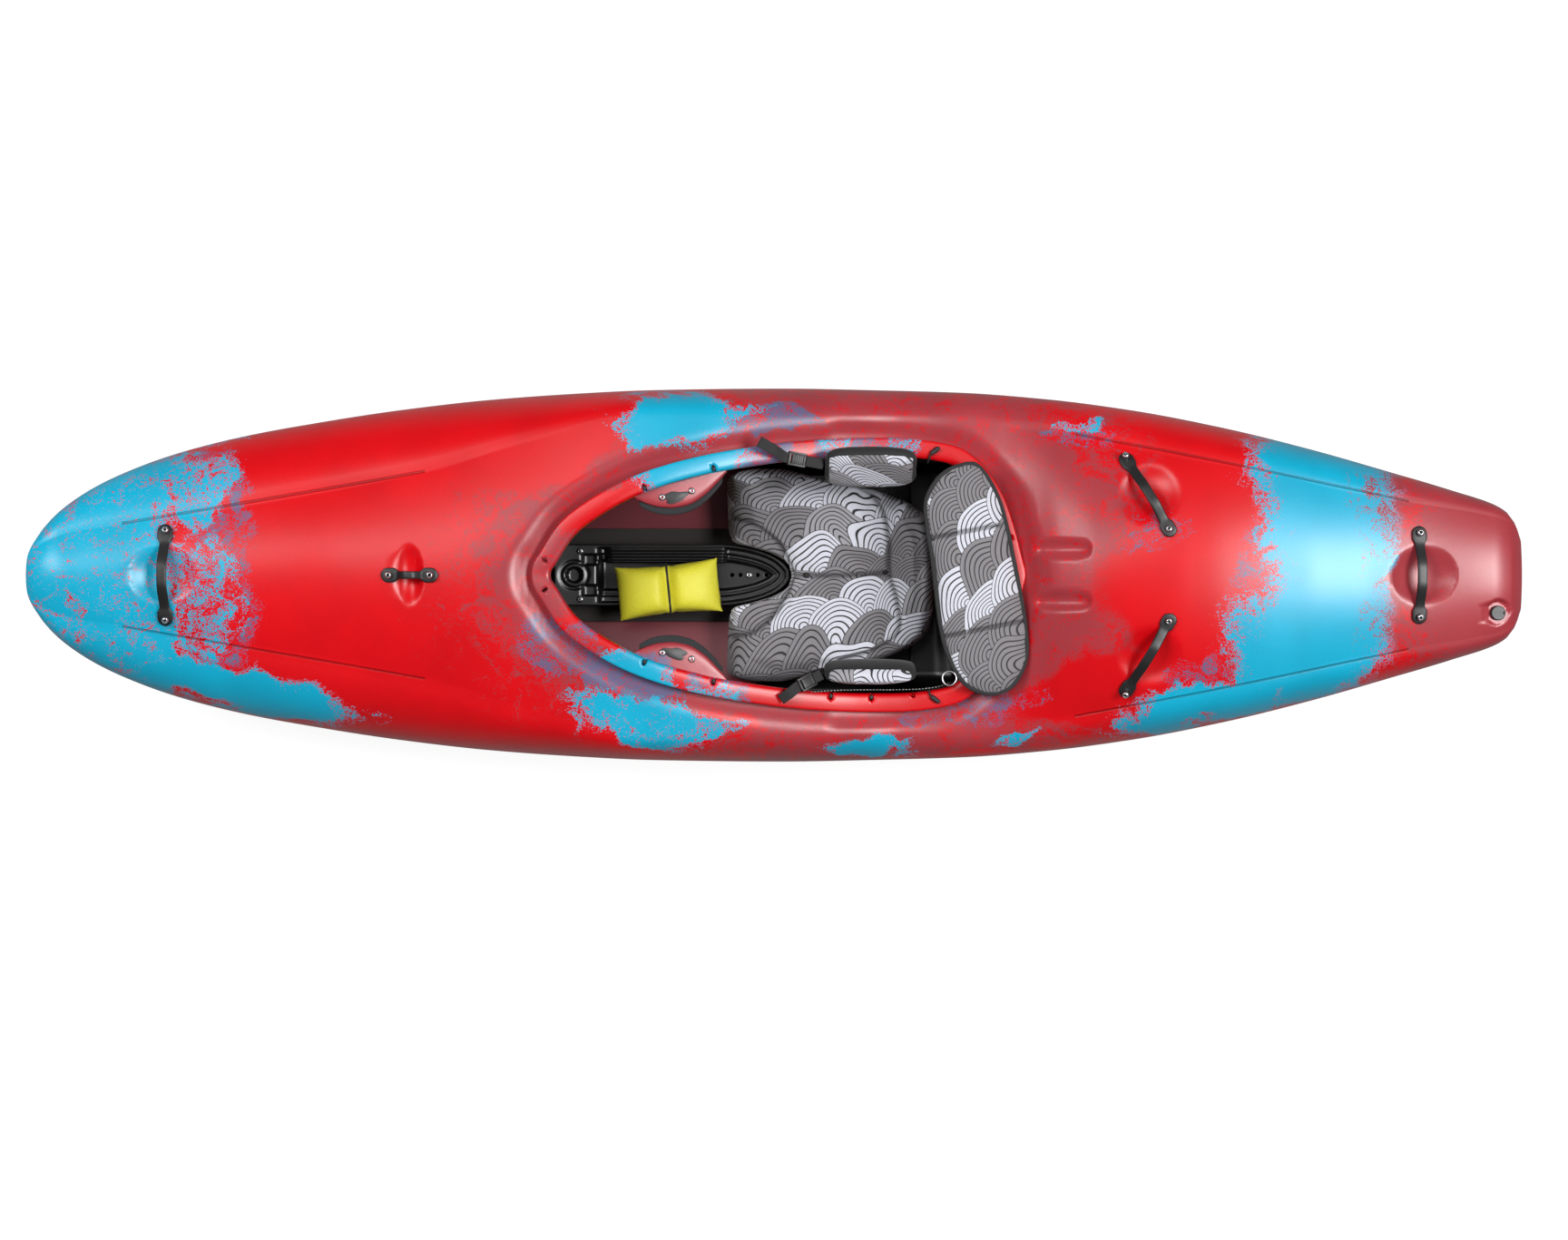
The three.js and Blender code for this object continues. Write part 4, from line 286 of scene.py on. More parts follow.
def evenly(points, count, closed):
    """Points at even steps along a smooth curve through a few points."""
    points = np.array(points, float)
    ring = np.vstack([points[-1:], points, points[:2]]) if closed else np.vstack(
        [2 * points[:1] - points[1:2], points, 2 * points[-1:] - points[-2:-1]])
    fine = []
    spans = len(points) if closed else len(points) - 1
    for i in range(spans):
        p = ring[i:i + 4]
        gaps = np.sqrt(np.linalg.norm(np.diff(p, axis=0), axis=1)) + 1e-9
        for s in np.linspace(0, 1, 24, endpoint=False):
            m1 = p[2] - p[1] + gaps[1] * ((p[1] - p[0]) / gaps[0] - (p[2] - p[0]) / (gaps[0] + gaps[1]))
            m2 = p[2] - p[1] + gaps[1] * ((p[3] - p[2]) / gaps[2] - (p[3] - p[1]) / (gaps[1] + gaps[2]))
            h = [2 * s**3 - 3 * s**2 + 1, s**3 - 2 * s**2 + s, 3 * s**2 - 2 * s**3, s**3 - s**2]
            fine.append(h[0] * p[1] + h[1] * m1 + h[2] * p[2] + h[3] * m2)
    fine.append(ring[1] if closed else points[-1])
    fine = np.array(fine)
    along = np.concatenate([[0], np.cumsum(np.linalg.norm(np.diff(fine, axis=0), axis=1))])
    steps = np.linspace(0, along[-1], count, endpoint=not closed)
    return np.stack([np.interp(steps, along, fine[:, k]) for k in range(fine.shape[1])], axis=1)


RIM_STEPS = 240
rim_side = [(RIM_FRONT_X + along * RIM_LENGTH, half * RIM_HALF_WIDTH) for along, half in rim_outline_shares]
rim_loop = (
    [(RIM_FRONT_X, 0)] + [(x, -y) for x, y in rim_side]
    + [(RIM_FRONT_X + RIM_LENGTH, 0)] + [(x, y) for x, y in reversed(rim_side)]
)
rim = evenly(rim_loop, RIM_STEPS, True)
rim_along = np.roll(rim, -1, axis=0) - np.roll(rim, 1, axis=0)
rim_along /= np.linalg.norm(rim_along, axis=1)[:, None]
rim_out = np.stack([rim_along[:, 1], -rim_along[:, 0]], axis=1)


def nearest_on(line, x, y):
    """The nearest point to each place on a closed line in plan: its x, its y and how far it is."""
    after = np.roll(line, -1, axis=0)
    dx, dy = after[:, 0] - line[:, 0], after[:, 1] - line[:, 1]
    s = ((x[:, None] - line[:, 0]) * dx + (y[:, None] - line[:, 1]) * dy) / (dx * dx + dy * dy)
    s = np.clip(s, 0, 1)
    spot_x, spot_y = line[:, 0] + s * dx, line[:, 1] + s * dy
    away = np.hypot(x[:, None] - spot_x, y[:, None] - spot_y)
    best = (np.arange(len(x)), np.argmin(away, axis=1))
    return spot_x[best], spot_y[best], away[best]


def inside_line(line, x, y):
    after = np.roll(line, -1, axis=0)
    dy = np.where(after[:, 1] == line[:, 1], 1e-12, after[:, 1] - line[:, 1])
    cut = (after[:, 0] - line[:, 0]) * (y[:, None] - line[:, 1]) / dy + line[:, 0]
    crosses = ((line[:, 1] > y[:, None]) != (after[:, 1] > y[:, None])) & (x[:, None] < cut)
    return crosses.sum(axis=1) % 2 == 1


def paired(x, y):
    return np.broadcast_arrays(np.asarray(x, float), np.asarray(y, float))


# How many places are worked out at once
BATCH = 4096


def distance_outside_rim(x, y):
    """Distance outside the coaming's outer edge, negative inside it."""
    x, y = paired(x, y)
    flat_x, flat_y = x.ravel(), y.ravel()
    away = np.empty(flat_x.shape)
    for start in range(0, len(flat_x), BATCH):
        part = slice(start, start + BATCH)
        gap = nearest_on(rim, flat_x[part], flat_y[part])[2]
        away[part] = np.where(inside_line(rim, flat_x[part], flat_y[part]), -gap, gap)
    return away.reshape(x.shape)


def plain_deck_z(x, y):
    """The deck with its crown and the moat round the coaming, as the solids have it."""
    x, y = paired(x, y)
    half = np.maximum(crease_half(x), WALL)
    across = np.clip(np.abs(y) / half, 0, 1)
    surface = crease_z(x) + (deck_middle_z(x) - crease_z(x)) * (1 - across * across)
    fade = 1 - np.clip(distance_outside_rim(x, y) / MOAT_WIDTH, 0, 1)
    return surface - MOAT_DEPTH * smooth(fade) * (1 - across**8)


def deck_normal(x, y):
    step = STRAP_PAD_WIDTH / 2
    dx = (plain_deck_z(x + step, y) - plain_deck_z(x - step, y)) / (2 * step)
    dy = (plain_deck_z(x, y + step) - plain_deck_z(x, y - step)) / (2 * step)
    return Vector((-float(dx), -float(dy), 1)).normalized()


LIP_ROUND = 0.0028
# How steeply the sides of a pocket rise
SIDE_SLOPE = 6


def rounded_min(a, b, radius=LIP_ROUND):
    """The lower of two surfaces with their meeting edge rounded."""
    h = np.clip(0.5 + (a - b) / (4 * radius), 0, 1)
    return a * (1 - h) + b * h - 2 * radius * h * (1 - h)


def pocket_z(x, y, name):
    """Surface of a dished pocket that the hand reaches into under a handle."""
    px, py = HANDLES[name][2]
    stretch = LOOP_POCKET_STRETCH if name == "foredeck_loop" else 1
    normal = deck_normal(px, py)
    base = plain_deck_z(px, py) - (normal.x * (x - px) + normal.y * (y - py)) / normal.z
    ball = (POCKET_RADIUS**2 + POCKET_DEPTH**2) / (2 * POCKET_DEPTH)
    away = np.hypot((x - px) / stretch, y - py)
    bowl = ball - np.sqrt(np.maximum(ball**2 - np.minimum(away, POCKET_RADIUS) ** 2, 0))
    wall = np.maximum(away - POCKET_RADIUS, 0) * SIDE_SLOPE
    return base - POCKET_DEPTH + bowl + wall


def groove_z(x, y, side):
    middle = GROOVE_FRONT_X + GROOVE_LENGTH / 2
    s = np.clip((x - middle) / (GROOVE_LENGTH / 2), -1, 1)
    radius = GROOVE_RADIUS * np.sqrt(np.maximum(1 - s**4, 1e-4))
    across = (y - side * GROOVE_Y) / radius
    base = plain_deck_z(x, np.full(np.shape(x), side * GROOVE_Y))
    depth = GROOVE_DEPTH * radius / GROOVE_RADIUS
    beyond = np.maximum(np.abs(x - middle) - GROOVE_LENGTH / 2, 0) * SIDE_SLOPE
    hollow = depth * (1 - np.minimum(np.abs(across), 1) ** 2.5)
    return base - hollow + np.maximum(np.abs(across) - 1, 0) * 0.1 + beyond


# The shelf beside the coaming drops by a small step amidships
SHELF_STEP_X = 0.086
SHELF_STEP_DEPTH = 0.0025
SHELF_STEP_SPREAD = 0.004
SHELF_LENGTH = 0.26


def deck_z(x, y):
    """The deck with its pockets, grooves, drain recess and side steps."""
    x, y = paired(x, y)
    surface = plain_deck_z(x, y)
    outside = distance_outside_rim(x, y)
    beside = smooth(outside / 0.012) * smooth((crease_half(x) - np.abs(y)) / 0.012) * (np.abs(y) > 0.2)
    fall = smooth((x - SHELF_STEP_X) / SHELF_STEP_SPREAD) * (1 - smooth((x - SHELF_STEP_X) / SHELF_LENGTH))
    surface = surface - SHELF_STEP_DEPTH * beside * fall
    for name in HANDLES:
        surface = rounded_min(surface, pocket_z(x, y, name))
    for side in (-1, 1):
        surface = rounded_min(surface, groove_z(x, y, side))
    away = np.hypot(x - DRAIN[0], y - DRAIN[1])
    drain_floor = plain_deck_z(*DRAIN) - DRAIN_RECESS_DEPTH
    recess = drain_floor + np.maximum(away - DRAIN_RECESS_RADIUS, 0) * SIDE_SLOPE
    return rounded_min(surface, recess, 0.0012)


def belly_z(x, share):
    rise = np.maximum(0, share - BELLY_FLAT_SHARE) / (1 - BELLY_FLAT_SHARE)
    return keel_z(x) + (chine_z(x) - keel_z(x)) * rise**BELLY_POWER


# How many steps each part of the half section has, from the deck's middle to the keel
DECK_STEPS = 40
SHOULDER_STEPS = 10
SIDE_STEPS = 10
BELLY_STEPS = 11
# Steps crowd towards the chine, so that it stays crisp
CHINE_CROWDING = 1.7
HALF_STEPS = DECK_STEPS + SHOULDER_STEPS + SIDE_STEPS + BELLY_STEPS


def section_point(x, step):
    """A point of the hull's half section, as half breadth and height, by its step from the deck's middle."""
    yd, zd = crease_half(x), crease_z(x)
    yr, zr = rail_half(x), rail_z(x)
    yc, zc = chine_half(x), chine_z(x)
    y_deck = np.clip(step / DECK_STEPS, 0, 1) * yd
    angle = np.clip((step - DECK_STEPS) / SHOULDER_STEPS, 0, 1) * math.pi / 2
    y_shoulder = yd + (yr - yd) * np.sin(angle)
    z_shoulder = zr + (zd - zr) * np.cos(angle)
    s = 1 - (1 - np.clip((step - DECK_STEPS - SHOULDER_STEPS) / SIDE_STEPS, 0, 1)) ** CHINE_CROWDING
    zm = zr - (zr - zc) * SIDE_FULLNESS_SHARE
    y_side = (1 - s) ** 2 * yr + 2 * s * (1 - s) * yr + s * s * yc
    z_side = (1 - s) ** 2 * zr + 2 * s * (1 - s) * zm + s * s * zc
    share = 1 - (1 - np.clip((HALF_STEPS - step) / BELLY_STEPS, 0, 1)) ** CHINE_CROWDING
    z_belly = belly_z(x, share)
    parts = [step <= DECK_STEPS, step <= DECK_STEPS + SHOULDER_STEPS, step <= HALF_STEPS - BELLY_STEPS]
    y = np.select(parts, [y_deck, y_shoulder, y_side], share * yc)
    z = np.select(parts, [y_deck * 0, z_shoulder, z_side], z_belly)
    return y, z


STATION_STEP = 0.0115
STATION_STEP_CLOSE = 0.0036
STATION_STEP_AT_ENDS = 0.0018


def station_places():
    """Stations along the hull, closer where pockets, grooves and the drain recess are."""
    close = [(-1.19, -1.064), (-0.715, -0.652), (0.474, 0.578), (0.615, 0.745), (1.12, 1.245),
             (1.297, 1.347)]
    x = -HULL_LENGTH / 2
    places = [x]
    while x < HULL_LENGTH / 2 - 0.002:
        near_end = min(x + HULL_LENGTH / 2, HULL_LENGTH / 2 - x)
        step = min(STATION_STEP, max(STATION_STEP_AT_ENDS, 0.5 * near_end))
        if any(a <= x <= b for a, b in close):
            step = min(step, STATION_STEP_CLOSE)
        x = min(x + step, HULL_LENGTH / 2)
        places.append(x)
    places[-1] = HULL_LENGTH / 2
    return np.array(places)


def linked(name, data):
    made = bpy.data.objects.new(name, data)
    bpy.context.scene.collection.objects.link(made)
    return made


def add_object(name, bm, material):
    """A finished mesh as an object at the origin."""
    mesh = bpy.data.meshes.new(name)
    bm.to_mesh(mesh)
    bm.free()
    mesh.materials.append(material)
    mesh.shade_smooth()
    return linked(name, mesh)


def grid_form(along, across, place, merge=1e-5):
    """A grid shaped by place(i, j) over its steps, with meeting edges joined and faces outwards."""
    bm = bmesh.new()
    bmesh.ops.create_grid(bm, x_segments=along, y_segments=across, size=0.5)
    spots = np.array([v.co for v in bm.verts])
    i = np.rint((spots[:, 0] + 0.5) * along).astype(int)
    j = np.rint((spots[:, 1] + 0.5) * across).astype(int)
    for vert, spot in zip(bm.verts, place(i, j)):
        vert.co = spot
    bmesh.ops.remove_doubles(bm, verts=bm.verts, dist=merge)
    bmesh.ops.recalc_face_normals(bm, faces=bm.faces)
    return bm


def apply_modifiers(made):
    """The object's modifiers made part of its mesh."""
    done = bpy.data.meshes.new_from_object(made.evaluated_get(bpy.context.evaluated_depsgraph_get()))
    made.modifiers.clear()
    made.data = done


def hull_skin():
    stations = station_places()

    def place(i, j):
        x = stations[i]
        step = np.abs(j - HALF_STEPS)
        y, z = section_point(x, step)
        y = y * np.sign(j - HALF_STEPS)
        on_deck = step <= DECK_STEPS
        z[on_deck] = deck_z(x[on_deck], y[on_deck])
        return np.stack([x, y, z], axis=1)

    bm = grid_form(len(stations) - 1, 2 * HALF_STEPS, place, merge=3e-5)
    cut = COAMING_WALL / 2 - LIP_WIDTH
    top = [f for f in bm.faces if f.normal.z > 0.2]
    middles = np.array([f.calc_center_median() for f in top])
    inside = distance_outside_rim(middles[:, 0], middles[:, 1]) < cut
    bmesh.ops.delete(bm, geom=[f for f, gone in zip(top, inside) if gone], context="FACES")
    stern = [e for e in bm.edges if e.is_boundary and e.verts[0].co.x > HULL_LENGTH / 2 - 0.001]
    bmesh.ops.holes_fill(bm, edges=stern, sides=0)
    edge = list({v for e in bm.edges if e.is_boundary for v in e.verts})
    places = np.array([v.co for v in edge])
    x, y, _ = nearest_on(rim + rim_out * cut, places[:, 0], places[:, 1])
    for vert, spot in zip(edge, zip(x, y, deck_z(x, y))):
        vert.co = spot
    bmesh.ops.recalc_face_normals(bm, faces=bm.faces)
    return bm


# Fillet where the lip's underside meets its wall
LIP_FILLET = 0.006


def coaming_form():
    """The lip and its wall, swept round the cockpit with rounded edges."""
    wall_out = COAMING_WALL - LIP_WIDTH
    crown = LIP_THICKNESS / 8
    t = LIP_THICKNESS
    upper = [
        (wall_out, -t - LIP_FILLET), (wall_out + LIP_FILLET * 0.3, -t - LIP_FILLET * 0.3),
        (wall_out + LIP_FILLET, -t), (wall_out * 0.4, -t), (-t * 0.45, -t), (-t * 0.12, -t * 0.84),
        (0, -t * 0.5), (-t * 0.14, -t * 0.2), (-t * 0.6, -crown), (-LIP_WIDTH * 0.4, 0),
        (-LIP_WIDTH * 0.65, 0), (-LIP_WIDTH * 0.86, -t * 0.12), (-LIP_WIDTH * 0.96, -t * 0.42),
        (-LIP_WIDTH, -t * 0.9), (-LIP_WIDTH, -t * 1.8),
    ]
    count = len(upper) + 4
    spots = np.zeros((RIM_STEPS, count, 3))
    for k in range(RIM_STEPS):
        x, y = rim[k]
        out_x, out_y = rim_out[k]
        top = float(rim_z(x))
        foot = float(plain_deck_z(x + out_x * wall_out, y + out_y * wall_out)) - WALL * 0.6
        middle = (foot + top - LIP_THICKNESS) / 2
        profile = [(wall_out, middle - top), *upper, (-LIP_WIDTH, middle - top)]
        profile += [(-LIP_WIDTH + 0.0006, foot - top), (wall_out, foot - top)]
        for j, (offset, z) in enumerate(profile):
            spots[k, j] = (x + out_x * offset, y + out_y * offset, top + z)

    def place(i, j):
        return spots[i % RIM_STEPS, j % count]

    return grid_form(RIM_STEPS, count, place)


brace_reach_shares = [
    (0, 0.06), (0.12, 0.42), (0.28, 0.78), (0.45, 0.98), (0.6, 1), (0.75, 0.8), (0.9, 0.4), (1, 0.06),
]


def opening_half(x):
    """Half width of the cockpit opening at a station, inside the lip."""
    inner = rim - rim_out * LIP_WIDTH
    side = inner[inner[:, 1] > 0]
    side = side[np.argsort(side[:, 0])]
    return np.interp(x, side[:, 0], side[:, 1])


BRACE_STEPS = 40
BRACE_ACROSS = 10
BRACE_EDGE_FALL = 0.004


def thigh_brace(side):
    """A smooth plate that grows out of the coaming's wall over the knee."""
    smooth_reach = evenly(brace_reach_shares, BRACE_STEPS + 1, False)

    def place(i, j):
        share = smooth_reach[i, 0]
        x = BRACE_FRONT_X + share * BRACE_LENGTH
        inward = j / BRACE_ACROSS
        outer = opening_half(x) + COAMING_WALL / 2
        inner = opening_half(x) - smooth_reach[i, 1] * BRACE_REACH
        y = outer + (inner - outer) * inward
        z = rim_z(x) - BRACE_DROP - BRACE_EDGE_FALL * inward**6
        return np.stack([x, side * y, z], axis=1)

    return grid_form(BRACE_STEPS, BRACE_ACROSS, place)


def closed_up(bm):
    """Every hole filled, with the faces outwards."""
    bmesh.ops.holes_fill(bm, edges=[e for e in bm.edges if e.is_boundary], sides=0)
    bmesh.ops.recalc_face_normals(bm, faces=bm.faces)
    return bm


def tube_form(spots, capped=True):
    """A closed skin through rings of points, spots[ring][point], with its ends filled."""
    spots = np.asarray(spots, float)
    rings, around = spots.shape[:2]
    bm = grid_form(rings - 1, around, lambda i, j: spots[i, j % around], merge=1e-6)
    return closed_up(bm) if capped else bm


def bent(value, power):
    """A power of a value that keeps its sign."""
    return np.sign(value) * np.abs(value) ** power


def round_section(width, height, points, squareness):
    """Points round a rectangle with soft corners, its middle at zero."""
    turn = np.linspace(0, 2 * math.pi, points, endpoint=False) + math.pi / points
    power = 2 / squareness
    across = bent(np.cos(turn), power) * width / 2
    up = bent(np.sin(turn), power) * height / 2
    return across, up


def swept(path, across, widths, heights, points, squareness):
    """Rings of a strap or bar along a path, its width laid along a direction."""
    path = np.asarray(path, float)
    along = np.gradient(path, axis=0)
    along /= np.linalg.norm(along, axis=1)[:, None]
    across = np.broadcast_to(np.asarray(across, float), path.shape)
    across = across - along * np.sum(across * along, axis=1)[:, None]
    across = across / np.linalg.norm(across, axis=1)[:, None]
    up = np.cross(along, across)
    up[up[:, 2] < 0] *= -1
    rings = []
    for k, spot in enumerate(path):
        side, lift = round_section(widths[k], heights[k], points, squareness)
        rings.append(spot + side[:, None] * across[k] + lift[:, None] * up[k])
    return rings


STRAP_STEPS = 64


def handle_strap(name):
    """A moulded strap: a rounded pad at each screw and an arched bar between them."""
    a, b, _ = (np.array(p) for p in HANDLES[name])
    loop = name == "foredeck_loop"
    width = LOOP_STRAP_WIDTH if loop else STRAP_WIDTH
    rise = LOOP_RISE if loop else STRAP_RISE
    span = np.linalg.norm(b - a)
    along = (b - a) / span
    side = np.array([-along[1], along[0]])
    end = STRAP_PAD_WIDTH / 2
    bend = np.linspace(0, math.pi, STRAP_STEPS + 1)
    places = span / 2 - np.cos(bend) * (span / 2 + end)
    edge = np.minimum(places, span - places)
    lift = smooth((edge - end) / (span / 2 - end) * 1.25)
    slim = smooth((edge - end * 0.7) / (end * 0.8))
    round_end = np.sqrt(np.clip(1 - (np.clip(-edge, 0, end) / end) ** 2.4, 0.02, 1))
    widths = (STRAP_PAD_WIDTH + (width * 0.88 - STRAP_PAD_WIDTH) * slim) * round_end
    heights = STRAP_THICKNESS * (0.35 + 0.65 * np.sqrt(round_end))
    path, tilt = [], []
    for d, up, thick, wide in zip(places, lift, heights, widths):
        spot = a + along * d
        under = [spot + side * w * wide / 2 for w in (-1, 0, 1)]
        ground = max(float(plain_deck_z(*p)) for p in under)
        path.append((*spot, ground + EDGE_GAP + thick / 2 + up * rise))
        normal = deck_normal(*spot)
        tilt.append(np.cross(normal, (*along, 0)))
    return tube_form(swept(path, -np.array(tilt), widths, heights, 20, 4))


SOCKET_SHARE = 0.42
TURNED_STEPS = 24


def turned(outline):
    """An outline of radius and height turned about +Z, open at its ends."""
    bm = bmesh.new()
    corners = [bm.verts.new((r, 0, z)) for r, z in outline]
    edges = [bm.edges.new(pair) for pair in zip(corners, corners[1:])]
    bmesh.ops.spin(bm, geom=corners + edges, cent=(0, 0, 0), axis=(0, 0, 1), angle=2 * math.pi,
                   steps=TURNED_STEPS, use_merge=True)
    bmesh.ops.remove_doubles(bm, verts=bm.verts, dist=1e-6)
    return bm


def screw_form():
    """A button-head screw with a hex socket, standing on the origin."""
    head, high = SCREW_HEAD_RADIUS, SCREW_HEAD_HEIGHT
    bm = turned([(SCREW_SHANK_RADIUS, 0), (head * 0.96, 0), (head, high * 0.1), (head * 0.95, high * 0.42),
                 (head * 0.8, high * 0.78), (head * 0.62, high * 0.96), (head * 0.5, high)])
    top = [e for e in bm.edges if e.is_boundary and e.verts[0].co.z > high / 2]
    hexagon = bmesh.ops.create_circle(bm, segments=6, radius=head * SOCKET_SHARE, cap_ends=False,
                                      matrix=Matrix.Translation((0, 0, high)))
    ring = [e for e in bm.edges if e.is_boundary and e.verts[0] in hexagon["verts"]]
    bmesh.ops.bridge_loops(bm, edges=top + ring)
    sunk = bmesh.ops.extrude_edge_only(bm, edges=ring)["geom"]
    low = [v for v in sunk if isinstance(v, bmesh.types.BMVert)]
    bmesh.ops.translate(bm, verts=low, vec=(0, 0, -high * 0.6))
    bmesh.ops.holes_fill(bm, edges=[e for e in sunk if isinstance(e, bmesh.types.BMEdge)], sides=0)
    shank = [e for e in bm.edges if e.is_boundary]
    foot = bmesh.ops.extrude_edge_only(bm, edges=shank)["geom"]
    bmesh.ops.translate(bm, verts=[v for v in foot if isinstance(v, bmesh.types.BMVert)],
                        vec=(0, 0, -SCREW_LENGTH))
    bmesh.ops.holes_fill(bm, edges=[e for e in foot if isinstance(e, bmesh.types.BMEdge)], sides=0)
    bmesh.ops.recalc_face_normals(bm, faces=bm.faces)
    return bm


def seat_screw(node, direction):
    """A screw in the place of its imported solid."""
    low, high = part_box(node)
    turn = Vector((0, 0, 1)).rotation_difference(direction).to_matrix().to_4x4()
    bm = screw_form()
    bmesh.ops.transform(bm, matrix=turn, verts=bm.verts)
    reach = Vector([max(v.co[k] for v in bm.verts) for k in range(3)])
    depth = Vector([min(v.co[k] for v in bm.verts) for k in range(3)])
    bmesh.ops.translate(bm, verts=bm.verts, vec=(low + high) / 2 - (reach + depth) / 2)
    edge_bevel(add_piece(node + "_hex", bm, stainless, "hull", "stainless_steel", node), 0.0003)


def finish_piece(made, body, slot, *solids):
    """The piece rides on its body and stands for its solids, which it hides; its slot is not used."""
    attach(made, body)
    if solids:
        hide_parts(*solids)
    return made


def add_piece(name, bm, material, body, slot, *solids):
    return finish_piece(add_object(name, bm, material), body, slot, *solids)


def plated(made, thickness, offset=-1):
    """Wall thickness for a surface, laid inwards unless it is said otherwise."""
    wall = made.modifiers.new("wall", "SOLIDIFY")
    wall.thickness = thickness
    wall.offset = offset
    return wall


def edge_bevel(made, width, segments=2):
    bevel = made.modifiers.new("edges", "BEVEL")
    bevel.width = width
    bevel.segments = segments
    bevel.limit_method = "ANGLE"
    bevel.angle_limit = math.radians(40)


def softened_copy(node, name, material, width, segments=3):
    """A cut foam piece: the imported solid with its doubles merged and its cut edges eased."""
    bm = bmesh.new()
    bm.from_mesh(nodes[node].data)
    bmesh.ops.remove_doubles(bm, verts=bm.verts, dist=1e-6)
    bmesh.ops.dissolve_limit(bm, angle_limit=math.radians(2), verts=bm.verts, edges=bm.edges)
    sharp = [e for e in bm.edges if len(e.link_faces) == 2 and e.calc_face_angle() > math.radians(30)]
    bmesh.ops.bevel(bm, geom=sharp, offset=width, offset_type="OFFSET", segments=segments, profile=0.5,
                    affect="EDGES", material=-1, clamp_overlap=True)
    bmesh.ops.triangulate(bm, faces=[f for f in bm.faces if len(f.verts) > 4])
    return add_object(name, bm, material)


def from_photo(px, py, z):
    """The place in plan of a pixel of the photograph, at a height."""
    scale = METRES_PER_PIXEL * (CAMERA_HEIGHT - z) / (CAMERA_HEIGHT - DECK_LEVEL)
    return (px - BOAT_CENTRE_PX[0]) * scale, (BOAT_CENTRE_PX[1] - py) * scale


def photo_line(z, *pixels):
    return [from_photo(px, py, z) for px, py in pixels]


def spots_of(mesh, what="co"):
    values = np.empty(len(mesh.vertices) * 3)
    mesh.vertices.foreach_get(what, values)
    return values.reshape(-1, 3)


def set_spots(mesh, spots):
    mesh.vertices.foreach_set("co", np.asarray(spots, float).ravel())
    mesh.update()


def set_attribute(mesh, name, values):
    made = mesh.attributes.new(name, "FLOAT", "POINT")
    made.data.foreach_set("value", np.asarray(values, float))


def distance_to_path(points, path):
    """Distance in plan from each point to a path."""
    path = np.asarray(path, float)[:, :2]
    best = np.full(len(points), 1e9)
    for a, b in zip(path, path[1:]):
        span = b - a
        share = np.clip((points - a) @ span / (span @ span), 0, 1)
        best = np.minimum(best, np.linalg.norm(points - a - share[:, None] * span, axis=1))
    return best


SIM_FRAMES = 20
CLOTH_PRESSURE = 4


def blown_up(made, voxel, cap, give):
    """A padded cover: remeshed evenly, blown up as cloth from a slightly smaller shape, and subdivided.
    Its stitching lets it move by give(spots), a share along each axis."""
    skin = made.modifiers.new("skin", "REMESH")
    skin.mode = "VOXEL"
    skin.voxel_size = voxel
    skin.use_smooth_shade = True
    apply_modifiers(made)
    start = spots_of(made.data)
    set_spots(made.data, start - spots_of(made.data, "normal") * cap / 2)
    cloth = made.modifiers.new("padding", "CLOTH")
    cloth.settings.use_pressure = True
    cloth.settings.uniform_pressure_force = CLOTH_PRESSURE
    cloth.settings.effector_weights.gravity = 0
    for number in range(1, SIM_FRAMES + 1):
        bpy.context.scene.frame_set(number)
    apply_modifiers(made)
    bpy.context.scene.frame_set(1)
    moved = spots_of(made.data) - start
    moved = (moved - moved.mean(axis=0)) * give(start)
    far = np.linalg.norm(moved, axis=1)
    set_spots(made.data, start + moved * np.minimum(1, cap / np.maximum(far, 1e-9))[:, None])
    detail = made.modifiers.new("detail", "SUBSURF")
    detail.levels = detail.render_levels = 1
    apply_modifiers(made)
    made.data.shade_smooth()


# How much of its sideways move a held outline keeps
OUTLINE_GIVE = 0.15


def quilted(_):
    """Flat pieces puff up, while their outline keeps its place."""
    return OUTLINE_GIVE, OUTLINE_GIVE, 1


def seated(spots):
    """The seat's flap stays off the beam below it."""
    under_flap = (np.abs(spots[:, 1]) < 0.09) & (spots[:, 0] < 0.05) & (spots[:, 2] < FLAP_FOOT_Z + 0.008)
    sideways = np.full(len(spots), OUTLINE_GIVE)
    return np.stack([sideways, sideways, np.where(under_flap, 0, 1)], axis=1)


def pinched(spots):
    """The pouch keeps its waist where its cord pulls it in."""
    turn = np.array(POUCH_PLACE.inverted())
    along = spots @ turn[0, :3] + turn[0, 3]
    return (1 - np.exp(-((along / 0.016) ** 2)))[:, None]


def sewn(made, seams, depth, width):
    """Seams pulled into the upper side, and how close each point is to one kept as the mask for the painted
    shade that the cloth's material lays along its seams.
    """
    spots = spots_of(made.data)
    normals = spots_of(made.data, "normal")
    closeness = np.zeros(len(spots))
    for seam in seams:
        away = distance_to_path(spots[:, :2], seam)
        closeness = np.maximum(closeness, np.exp(-((away / width) ** 2)))
    closeness *= smooth(normals[:, 2] / 0.5)
    set_spots(made.data, spots - normals * (closeness * depth)[:, None])
    set_attribute(made.data, "sewn", closeness)


# Seat cushion: its front and rear edges by share of its half width, and its crown along its length
cushion_front = curve_through([
    (0, 0.36), (0.1, 0.345), (0.19, 0.265), (0.26, 0.16), (0.31, 0.06), (0.36, 0.01), (0.9, 0),
    (0.97, 0.04), (1, 0.12),
])
